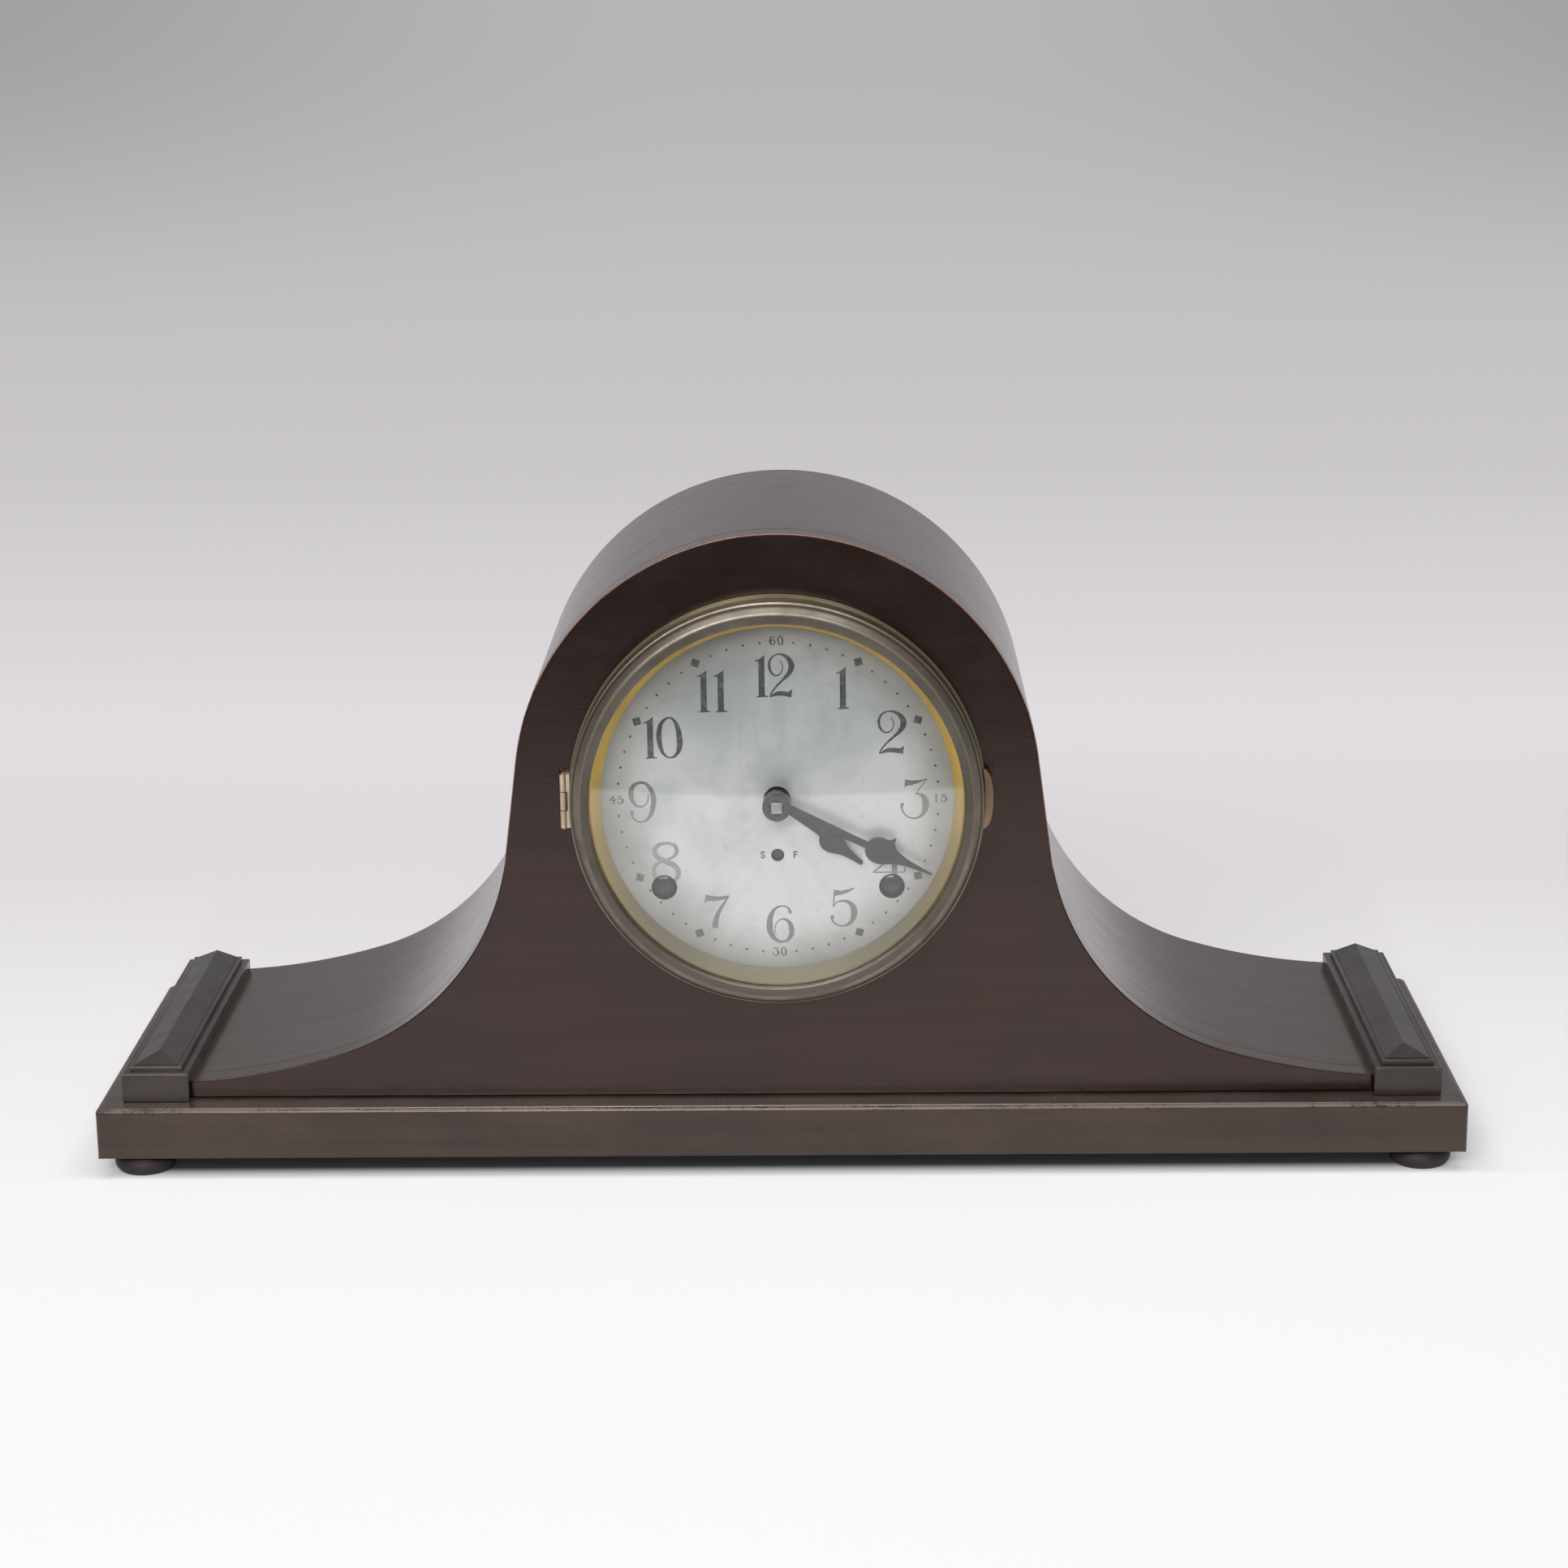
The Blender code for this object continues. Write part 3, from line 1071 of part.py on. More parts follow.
def build_motion_work():
    """The minute wheel with its pinion, and the hour wheel whose pipe carries the hour hand."""
    stud = shaft("minute_wheel_stud", *MINUTE_WHEEL, CHANGE_Y - STUD_AHEAD, INSIDE_FRONT, STUD_RADIUS)
    outline = gear_outline(MINUTE_WHEEL, MINUTE_TEETH, CANNON_MODULE, towards(MINUTE_WHEEL, CENTRE))
    minute_wheel = plate("minute_wheel", [outline], CANNON_Y, CANNON_Y + WHEEL_THICKNESS, BRASS)
    change_phase = towards(MINUTE_WHEEL, CENTRE) + math.pi / CHANGE_LEAVES
    leaf_outline = gear_outline(MINUTE_WHEEL, CHANGE_LEAVES, CHANGE_MODULE, change_phase)
    leaves = plate("change_pinion", [leaf_outline], CHANGE_Y - PINION_OVERLAP, CANNON_Y + CHANGE_OVERLAP)
    fuse(minute_wheel, leaves, stud)
    joint_empty("minute_wheel_axis", (MINUTE_WHEEL[0], CANNON_Y, MINUTE_WHEEL[1]), minute_wheel)

    hour_outline = gear_outline(CENTRE, HOUR_TEETH, CHANGE_MODULE, towards(CENTRE, MINUTE_WHEEL))
    hour_back = CHANGE_Y + WHEEL_THICKNESS
    hour_wheel = plate("hour_wheel", [hour_outline], CHANGE_Y, hour_back, BRASS)
    pipe_ends = (HOUR_FRONT - PIPE_LAP, hour_back + PIPE_LAP)
    pipe = shaft("hour_pipe", *CENTRE, *pipe_ends, HOUR_PIPE_RADIUS, sides=16)
    fuse(hour_wheel, pipe)
    bore_ends = (pipe_ends[0] - CUT_PAST, pipe_ends[1] + CUT_PAST)
    cut(hour_wheel, shaft("hour_bore", *CENTRE, *bore_ends, CENTRE_ARBOR_RADIUS + RUN, sides=12))
    boss, hole = HOUR_BOSS_RADIUS, HOUR_PIPE_RADIUS + RUN
    hour = spade_hand("hour_hand", HOUR_HAND_LENGTH, HOUR_ANGLE, HOUR_FRONT, boss, hole, HOUR_SPADE, HOUR_HALVES)
    joint_empty("hour_axis", (0.0, CHANGE_Y, DIAL_Z), hour_wheel, hour)


# Movement frame
def movement_plate_outline():
    left, right = -PLATE_WIDTH / 2, PLATE_WIDTH / 2
    bottom, top = DIAL_Z - PLATE_BOTTOM, DIAL_Z + PLATE_TOP
    c = PLATE_CORNER / 4
    high = PLATE_CORNER * 2
    return [
        (left + c, bottom),
        (right - c, bottom),
        (right, bottom + c),
        (right, top - high),
        (right - high, top),
        (left + high, top),
        (left, top - high),
        (left, bottom + c),
    ]


def pillar_places():
    x = PLATE_WIDTH / 2 - PILLAR_INSET
    high_x = x - PLATE_CORNER * 1.35
    low, high = DIAL_Z - PLATE_BOTTOM + PILLAR_INSET, DIAL_Z + PLATE_TOP - PILLAR_HIGH_INSET
    return {
        "pillar_lower_left": (-x, low),
        "pillar_lower_right": (x, low),
        "pillar_upper_left": (-high_x, high),
        "pillar_upper_right": (high_x, high),
    }


def build_frame():
    small = PIVOT_RADIUS + RUN
    holes = [
        circle(*SECOND, small, 10),
        circle(*THIRD, small, 10),
        circle(*ESCAPE, small, 10),
        circle(*VERGE, small, 10),
        circle(*STRIKE_PIN, small, 10),
        circle(*FLY, small, 10),
        circle(*CENTRE, CENTRE_ARBOR_RADIUS + RUN, 12),
        circle(0.0, DIAL_Z - REGULATOR_BELOW, REGULATOR_RADIUS + RUN, 10),
    ]
    winders = (TIME_GREAT, STRIKE_GREAT)
    front_holes = holes + [circle(*place, WINDER_FRONT_RADIUS + RUN, 12) for place in winders]
    front_holes.append(circle(*MINUTE_WHEEL, STUD_RADIUS + RUN, 12))
    back_holes = holes + [circle(*place, WINDER_BACK_RADIUS + RUN, 12) for place in winders]
    back_holes.append(circle(*HAMMER, small, 10))
    edge = movement_plate_outline()
    plate("movement_front_plate", [edge] + front_holes, PLATE_FRONT, INSIDE_FRONT, BRASS)
    plate("movement_back_plate", [edge] + back_holes, INSIDE_BACK, PLATE_BACK, BRASS)
    for name, place in pillar_places().items():
        shaft(name, *place, INSIDE_FRONT + TOUCH, INSIDE_BACK - TOUCH, PILLAR_RADIUS, STEEL, sides=12)
    for name, middle in (
        ("mounting_bar_upper", DIAL_Z + PLATE_TOP - BAR_HEIGHT / 2 - BAR_MARGIN),
        ("mounting_bar_lower", DIAL_Z - PLATE_BOTTOM + BAR_HEIGHT / 2 + BAR_MARGIN),
    ):
        half = BAR_LENGTH / 2
        low = (-half, FRONT_BOARD_BACK + TOUCH, middle - BAR_HEIGHT / 2)
        box(name, low, (half, PLATE_FRONT - TOUCH, middle + BAR_HEIGHT / 2), RAW_WOOD)


# Regulator
def build_regulator():
    place = (0.0, DIAL_Z - REGULATOR_BELOW)
    square_front = CASE_FRONT + REGULATOR_BEHIND
    square_back = square_front + REGULATOR_SQUARE_LENGTH
    arbor_front = (square_front + square_back) / 2
    arbor_piece = shaft("regulator_arbor", *place, arbor_front, PLATE_BACK, REGULATOR_RADIUS, STEEL, sides=10)
    collar_ends = (INSIDE_FRONT + TOUCH, INSIDE_FRONT + TOUCH + REGULATOR_COLLAR_LENGTH)
    collar = shaft("regulator_collar", *place, *collar_ends, REGULATOR_COLLAR_RADIUS, sides=10)
    square_ends = (square_front, square_back)
    square = shaft(
        "regulator_square", *place, *square_ends, REGULATOR_SQUARE_RADIUS, sides=4, turn=math.pi / 4
    )
    fuse(arbor_piece, collar, square)
    joint_empty("regulator_axis", (place[0], PLATE_FRONT, place[1]), arbor_piece)


# Escapement and pendulum
def build_escapement():
    """The verge: a bent strip of pallets, its arbor, and the crutch that holds the pendulum rod."""
    reach = ESCAPE_RADIUS + PALLET_CLEAR
    face = (reach * math.sin(PALLET_SPAN), ESCAPE[1] + reach * math.cos(PALLET_SPAN))
    back = (face[0] + PALLET_BACK[0], face[1] + PALLET_BACK[1])
    shoulder, crown, inside = ((across, VERGE[1] + up) for across, up in (VERGE_SHOULDER, VERGE_CROWN, VERGE_INSIDE))
    half = [crown, shoulder, back, face, inside]
    strip = half + [(-x, z) for x, z in reversed(half)]
    middle = ESCAPE_Y + ESCAPE_THICKNESS / 2
    verge = plate("verge", [strip], middle - VERGE_THICKNESS / 2, middle + VERGE_THICKNESS / 2, STEEL)
    crutch_low = VERGE[1] - CRUTCH_DROP
    crutch_y = PENDULUM_Y - CRUTCH_AHEAD
    pivots = shaft("verge_pivots", *VERGE, PLATE_FRONT, crutch_y + CRUTCH_WIRE / 2, PIVOT_RADIUS, sides=10)
    body = shaft("verge_body", *VERGE, INSIDE_FRONT + TOUCH, INSIDE_BACK - TOUCH, ARBOR_RADIUS, sides=10)
    drop = rod("crutch_wire", (0.0, crutch_y, VERGE[1]), (0.0, crutch_y, crutch_low), CRUTCH_WIRE, sides=8)
    fork = box(
        "crutch_fork",
        (-FORK_WIDTH / 2, crutch_y - CRUTCH_WIRE, crutch_low - FORK_HEIGHT / 2),
        (FORK_WIDTH / 2, PENDULUM_Y + FORK_PAST, crutch_low + FORK_HEIGHT / 2),
    )
    half_slot, half_height = ROD_RADIUS + FORK_PLAY, FORK_HEIGHT / 2 + CUT_PAST
    slot = box(
        "crutch_slot",
        (-half_slot, PENDULUM_Y - FORK_SLOT, crutch_low - half_height),
        (half_slot, PENDULUM_Y + FORK_PAST + CUT_PAST, crutch_low + half_height),
    )
    fuse(verge, body, pivots, drop, fork)
    cut(verge, slot)
    joint_empty("verge_axis", (0.0, ESCAPE_Y, VERGE[1]), verge)


def build_pendulum():
    """A rod that hangs by a thin spring from the cock, with a lens-shaped bob on its lower end."""
    top = VERGE[1] + SUSPENSION_RISE
    spring_low = VERGE[1] - SUSPENSION_DROP
    bob_z = BASE_TOP + BOB_RISE
    rod_low = bob_z - BOB_RADIUS - ROD_PAST_BOB
    strip = box(
        "pendulum_rod",
        (-SUSPENSION_WIDTH / 2, PENDULUM_Y - SUSPENSION_THICKNESS / 2, spring_low),
        (SUSPENSION_WIDTH / 2, PENDULUM_Y + SUSPENSION_THICKNESS / 2, top),
        STEEL,
    )
    wire_ends = ((0.0, PENDULUM_Y, spring_low + SUSPENSION_LAP), (0.0, PENDULUM_Y, rod_low))
    fuse(strip, rod("pendulum_wire", *wire_ends, ROD_RADIUS, sides=8))
    half = BOB_THICKNESS / 2
    shares = ((0.0, 1.0), *BOB_SECTION, (1.0, 0.0))
    lens = [(BOB_RADIUS * out, half * thick) for out, thick in shares]
    profile = lens + [(r, -h) for r, h in reversed(lens[:-1])]
    bob = turned("pendulum_bob", profile, (0.0, PENDULUM_Y, bob_z), BRASS, 28)
    reach = BOB_RADIUS + CUT_PAST
    bore_ends = ((0.0, PENDULUM_Y, bob_z - reach), (0.0, PENDULUM_Y, bob_z + reach))
    cut(bob, rod("bob_bore", *bore_ends, ROD_RADIUS + RUN, sides=8))
    joint_empty("pendulum_axis", (0.0, PENDULUM_Y, VERGE[1]), strip, bob)

    cock_front, cock_low = PLATE_BACK + TOUCH, top + TOUCH
    cock = box(
        "suspension_cock",
        (-COCK_WIDTH / 2, cock_front, cock_low),
        (COCK_WIDTH / 2, PENDULUM_Y + COCK_PAST, cock_low + COCK_HEIGHT),
        BRASS,
    )
    foot = box(
        "cock_foot",
        (-COCK_FOOT_OUT, cock_front, DIAL_Z + PLATE_TOP - COCK_FOOT_BELOW),
        (-COCK_FOOT_IN, cock_front + COCK_FOOT_THICKNESS, cock_low + COCK_HEIGHT),
    )
    fuse(cock, foot)


# Strike
def build_strike():
    great_wheel("strike", STRIKE_GREAT, STRIKE_PIN)
    pin_wheel = train_wheel(
        "strike_pin_wheel", STRIKE_PIN, SECOND_TEETH, SECOND_MODULE, SECOND_Y, FLY, GREAT_MODULE, GREAT_Y, STRIKE_GREAT
    )
    pin_ends = (SECOND_Y - LIFTING_PIN_REACH, SECOND_Y + LIFTING_PIN_ROOT)
    for i, at in enumerate(circle(*STRIKE_PIN, LIFTING_CIRCLE, LIFTING_PINS, LIFTING_PHASE)):
        fuse(pin_wheel, shaft(f"lifting_pin_{i}", *at, *pin_ends, LIFTING_PIN_RADIUS, sides=6))
    joint_empty("strike_pin_axis", (STRIKE_PIN[0], SECOND_Y, STRIKE_PIN[1]), pin_wheel)

    vane_y = INSIDE_FRONT + FLY_PLANE
    fly = box(
        "strike_fly",
        (FLY[0] - FLY_WIDTH / 2, vane_y, FLY[1] - FLY_SHEET / 2),
        (FLY[0] + FLY_WIDTH / 2, vane_y + FLY_LENGTH, FLY[1] + FLY_SHEET / 2),
        BRASS,
    )
    leaves = pinion("fly_pinion", FLY, SECOND_MODULE, towards(FLY, STRIKE_PIN) + math.pi / LEAVES, SECOND_Y)
    pivots, body = arbor("fly", FLY, PLATE_FRONT, PLATE_BACK)
    fuse(fly, leaves, body, pivots)
    joint_empty("strike_fly_axis", (FLY[0], SECOND_Y, FLY[1]), fly)
    build_hammer()
    build_gong()


def gong_height():
    return BASE_TOP + GONG_ROD_RISE


def build_hammer():
    """A hammer on its own short arbor: a tail by the lifting pins and an arm that drops on the gong rod."""
    gong_y = PLATE_BACK + GONG_BEHIND
    tail_y = SECOND_Y - HAMMER_TAIL_AHEAD
    tail_middle = tail_y + HAMMER_ARM_RADIUS
    head = (HAMMER[0] - HAMMER_REACH, gong_height() + GONG_ROD_RADIUS + HAMMER_HEAD_RADIUS + HAMMER_GAP)
    arbor_back = gong_y + HAMMER_ARM_RADIUS + RUN
    arbor_piece = shaft("hammer", *HAMMER, tail_y, arbor_back, PIVOT_RADIUS, STEEL, sides=10)
    arm_ends = ((HAMMER[0], gong_y, HAMMER[1]), (head[0], gong_y, head[1]))
    arm = rod("hammer_arm", *arm_ends, HAMMER_ARM_RADIUS, sides=8)
    weight = rod(
        "hammer_head",
        (head[0], gong_y - HAMMER_HEAD_LENGTH / 2, head[1]),
        (head[0], gong_y + HAMMER_HEAD_LENGTH / 2, head[1]),
        HAMMER_HEAD_RADIUS,
        sides=14,
    )
    tail_end = (STRIKE_PIN[0] + HAMMER_TAIL_END[0], STRIKE_PIN[1] + HAMMER_TAIL_END[1])
    tail_ends = ((HAMMER[0], tail_middle, HAMMER[1]), (tail_end[0], tail_middle, tail_end[1]))
    tail = rod("hammer_tail", *tail_ends, HAMMER_TAIL_RADIUS, sides=8)
    boss = shaft("hammer_boss", *HAMMER, tail_y, INSIDE_BACK - TOUCH, HAMMER_BOSS_RADIUS, sides=10)
    fuse(arbor_piece, boss, arm, weight, tail)
    joint_empty("hammer_axis", (HAMMER[0], gong_y, HAMMER[1]), arbor_piece)


def build_gong():
    gong_y = PLATE_BACK + GONG_BEHIND
    block_x = HAMMER[0] - HAMMER_REACH - GONG_BLOCK_ASIDE
    half_width, half_depth = GONG_BLOCK_WIDTH / 2, GONG_BLOCK_DEPTH / 2
    block = box(
        "gong_block",
        (block_x - half_width, gong_y - half_depth, BASE_TOP + TOUCH),
        (block_x + half_width, gong_y + half_depth, gong_height() + GONG_BLOCK_ABOVE),
        IRON,
    )
    socket_ends = ((block_x, gong_y, gong_height()), (block_x + GONG_SOCKET, gong_y, gong_height()))
    cut(block, rod("gong_socket", *socket_ends, GONG_ROD_RADIUS + RUN))
    start = block_x + GONG_ROD_SET
    ends = ((start, gong_y, gong_height()), (start + GONG_ROD_LENGTH, gong_y, gong_height()))
    rod("gong_rod", *ends, GONG_ROD_RADIUS, STEEL)


# Back door
def build_back_door():
    face = BACK_BOARD_BACK + TOUCH
    outside = face + DOOR_THICKNESS
    door = plate("back_door", [circle(0.0, DIAL_Z, DOOR_RADIUS, 40)], face, outside, RAW_WOOD)
    axis_x, axis_y = DOOR_RADIUS + DOOR_HINGE_OUT, outside + DOOR_HINGE_PROUD
    leaf = butt_hinge(
        "door_hinge",
        (axis_x, axis_y),
        DIAL_Z,
        DOOR_HINGE_HEIGHT,
        DOOR_KNUCKLE_RADIUS,
        DOOR_PIN_RADIUS,
        moving=(DOOR_RADIUS - DOOR_LEAF_REACH, axis_x - DOOR_LEAF_SHORT, outside + TOUCH + HINGE_SHEET / 2),
        fixed=(axis_x - DOOR_PLATE_PAST, axis_x + DOOR_LEAF_REACH, face + HINGE_SHEET / 2),
        material=BRASS,
    )
    section = ((0.0, 1.0), *DOOR_KNOB_SECTION, (0.0, 0.0))
    knob_profile = [(DOOR_KNOB_RADIUS * out, DOOR_KNOB_HEIGHT * up) for out, up in section]
    knob_place = (-DOOR_RADIUS + DOOR_KNOB_INSET, outside + TOUCH, DIAL_Z)
    knob = turned("back_door_knob", knob_profile, knob_place, BRASS, 16)
    knob.rotation_euler = (-math.pi / 2, 0.0, 0.0)
    joint_empty("back_door_axis", (axis_x, axis_y, DIAL_Z), door, leaf, knob)

    latch_x = -DOOR_RADIUS - LATCH_OUT
    half = LATCH_WIDTH / 2
    bar = box(
        "door_latch",
        (latch_x - half, outside + TOUCH, DIAL_Z - half),
        (latch_x + half, outside + TOUCH + LATCH_THICKNESS, DIAL_Z - half + LATCH_LENGTH),
        BRASS,
    )
    boss_back = outside + TOUCH + LATCH_THICKNESS / 2
    boss = shaft("latch_boss", latch_x, DIAL_Z, face, boss_back, LATCH_BOSS_RADIUS, sides=12)
    fuse(bar, boss)
    joint_empty("door_latch_axis", (latch_x, outside, DIAL_Z), bar)


def shade():
    """Round pieces are shaded smooth, with sharp edges kept."""
    for obj in PARTS.objects:
        if obj.type == "MESH":
            obj.data.shade_smooth()
            obj.data.set_sharp_from_angle(angle=math.radians(35))


build_base()
build_case()
build_end_block("end_block_left", -1)
build_end_block("end_block_right", 1)
build_dial()
build_bezel()
build_frame()
build_time_train()
build_centre()
build_motion_work()
build_regulator()
build_escapement()
build_pendulum()
build_strike()
build_back_door()
shade()
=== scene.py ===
"""Looks of a tambour mantel clock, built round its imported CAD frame.

Metres, +Z up, in the frame's own coordinates: the dial faces -Y and the clock stands on the floor at Z = 0.
The case, the stand, the bezel, the dial and the hands are modelled again in finer form and replace their CAD
nodes. The movement and the back keep their CAD meshes and get finished metals and woods.
"""

import logging
import math
from collections.abc import Callable, Iterable, Sequence
from dataclasses import dataclass, field
from enum import Enum

import bmesh
import bpy
from bmesh.types import BMEdge, BMesh, BMFace, BMVert
from bpy.types import ID, Material, NodeSocket, Object, World
from mathutils import Matrix, Vector


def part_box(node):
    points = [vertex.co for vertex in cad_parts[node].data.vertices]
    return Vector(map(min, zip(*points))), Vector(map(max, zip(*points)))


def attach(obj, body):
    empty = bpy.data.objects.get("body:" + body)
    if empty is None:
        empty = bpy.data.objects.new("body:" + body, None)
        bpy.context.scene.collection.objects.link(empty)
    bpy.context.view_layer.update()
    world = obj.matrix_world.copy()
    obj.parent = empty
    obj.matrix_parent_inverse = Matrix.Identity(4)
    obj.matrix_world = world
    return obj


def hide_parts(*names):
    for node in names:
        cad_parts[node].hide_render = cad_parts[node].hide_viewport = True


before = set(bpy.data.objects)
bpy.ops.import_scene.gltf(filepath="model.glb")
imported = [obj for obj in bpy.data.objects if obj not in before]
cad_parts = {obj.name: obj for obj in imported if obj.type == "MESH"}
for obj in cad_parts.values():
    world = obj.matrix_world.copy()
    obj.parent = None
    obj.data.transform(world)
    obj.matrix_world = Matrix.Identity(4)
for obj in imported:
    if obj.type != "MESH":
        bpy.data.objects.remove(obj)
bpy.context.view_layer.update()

MM = 0.001
WEAR, RUN, GRAIN_MAP = "edge_wear", "outline_run", "grain"
FORWARD = Vector((0.0, -1.0, 0.0))
LOG = logging.getLogger("mantel_clock")

Colour = tuple[float, float, float]
Pair = tuple[float, float]


# finishes


class Grain(Enum):
    """Which way a wood's grain runs."""

    ACROSS = "along X, read from the piece itself"
    BACKWARDS = "along Y, read from the piece itself"
    SURFACE = "along the surface, read from the piece's grain map"


class Recipe:
    """Writes one node tree, one step at a time."""

    def __init__(self, owner: Material | World) -> None:
        """Start from the shader that a new material or world has.

        Args:
            owner: The material or the world to write.
        """
        owner.use_nodes = True
        self.owner, self.tree = owner, owner.node_tree
        self.shader = next(node for node in self.tree.nodes if node.type in ("BSDF_PRINCIPLED", "BACKGROUND"))

    def add(self, kind: str, inputs: dict | None = None, output: int | str = 0, **settings) -> NodeSocket:
        """Add a node.

        Args:
            kind: The node's type, without its prefix.
            inputs: Values or sockets, by the name or the number of the input.
            output: The name or the number of the output to give.
            settings: The node's own properties.

        Returns:
            The output.
        """
        node = self.tree.nodes.new("ShaderNode" + kind)
        for name, value in settings.items():
            setattr(node, name, value)
        for key, value in (inputs or {}).items():
            self.feed(node.inputs[key], value)
        return node.outputs[output]

    def feed(self, target: NodeSocket, value: object) -> None:
        """Link a socket to an input, or set the input's value.

        Args:
            target: The input.
            value: A socket, a number or a colour.
        """
        if isinstance(value, NodeSocket):
            self.tree.links.new(value, target)
        elif isinstance(value, tuple) and len(value) == 3 and target.type == "RGBA":
            target.default_value = (*value, 1.0)
        else:
            target.default_value = value

    def place(
        self, stretch: Sequence[float] = (1.0, 1.0, 1.0), centre: Sequence[float] = (0.0, 0.0, 0.0)
    ) -> NodeSocket:
        """Coordinates on the piece, in metres from a centre, each axis multiplied by its stretch.

        Args:
            stretch: What each axis is multiplied by.
            centre: The place that they start from.

        Returns:
            The coordinates.
        """
        at = self.add("TexCoord", output="Object")
        moved = self.add("VectorMath", {0: at, 1: tuple(-c for c in centre)}, operation="ADD")
        return self.add("Mapping", {"Vector": moved, "Scale": tuple(stretch)})

    def along_surface(self, stretch: Sequence[float]) -> NodeSocket:
        """Coordinates from the piece's grain map, in metres, each axis multiplied by its stretch."""
        return self.add("Mapping", {"Vector": self.add("UVMap", uv_map=GRAIN_MAP), "Scale": tuple(stretch)})

    def distance(self, centre: Sequence[float]) -> NodeSocket:
        """How far the surface is from a centre."""
        return self.add("VectorMath", {0: self.place(centre=centre)}, "Value", operation="LENGTH")

    def height(self) -> NodeSocket:
        """How high the surface is."""
        return self.add("SeparateXYZ", {0: self.place()}, "Z")

    def noise(
        self, scale: float, detail: float = 4.0, rough: float = 0.55, swirl: float = 0.0,
        at: NodeSocket | None = None
    ) -> NodeSocket:
        """Cloudy values from 0 to 1.

        Args:
            scale: How fine it is.
            detail: How many finer layers it has.
            rough: How strong these are.
            swirl: How much it is distorted.
            at: Its coordinates, if not the piece's own.

        Returns:
            The values.
        """
        inputs = {
            "Vector": at or self.place(), "Scale": scale, "Detail": detail, "Roughness": rough,
            "Distortion": swirl
        }
        return self.add("TexNoise", inputs)

    def spread(
        self, value: NodeSocket, low: float, high: float, to_low: float = 0.0, to_high: float = 1.0
    ) -> NodeSocket:
        """Stretch a range of values to another, and stop at its ends."""
        inputs = {"Value": value, "From Min": low, "From Max": high, "To Min": to_low, "To Max": to_high}
        return self.add("MapRange", inputs, interpolation_type="SMOOTHSTEP")

    def calc(self, operation: str, first: NodeSocket | float, second: NodeSocket | float = 0.0) -> NodeSocket:
        """Do one step of arithmetic."""
        return self.add("Math", {0: first, 1: second}, operation=operation)

    def sum_of(self, first: NodeSocket | float, second: NodeSocket | float) -> NodeSocket:
        """Add two values."""
        return self.calc("ADD", first, second)

    def product(self, first: NodeSocket | float, second: NodeSocket | float) -> NodeSocket:
        """Multiply two values."""
        return self.calc("MULTIPLY", first, second)

    def mix(
        self, share: NodeSocket | float, first: NodeSocket | Colour, second: NodeSocket | Colour
    ) -> NodeSocket:
        """Go from the first colour to the second as the share goes from 0 to 1."""
        return self.add("Mix", {0: share, 6: first, 7: second}, 2, data_type="RGBA")

    def bump(
        self, height: NodeSocket, depth: float, strength: float = 1.0, under: NodeSocket | None = None
    ) -> NodeSocket:
        """Raise the surface by a height from 0 to 1, times a depth in metres."""
        below = {} if under is None else {"Normal": under}
        return self.add("Bump", {"Height": height, "Distance": depth, "Strength": strength, **below})

    def finish(self, **sockets: NodeSocket | float | Colour) -> Material:
        """Set the shader's inputs, named in lower case with underscores.

        Args:
            sockets: A socket, a number or a colour for each input.

        Returns:
            The material.
        """
        names = {socket.name.lower().replace(" ", "_"): socket for socket in self.shader.inputs}
        for name, value in sockets.items():
            self.feed(names[name], value)
        return self.owner

    def show(self, share: NodeSocket, first: NodeSocket, second: NodeSocket) -> Material:
        """Show a mix of two shaders.

        Args:
            share: How much of the second shader shows, from 0 to 1.
            first: The first shader.
            second: The second shader.

        Returns:
            The material.
        """
        both = self.add("MixShader", {0: share, 1: first, 2: second})
        self.feed(self.tree.nodes["Material Output"].inputs["Surface"], both)
        return self.owner


@dataclass(frozen=True)
class Finish:
    """A named finish, whose recipe is written once."""

    name: str

    def recipe(self) -> Recipe:
        """Start the finish's material."""
        return Recipe(bpy.data.materials.new(self.name))


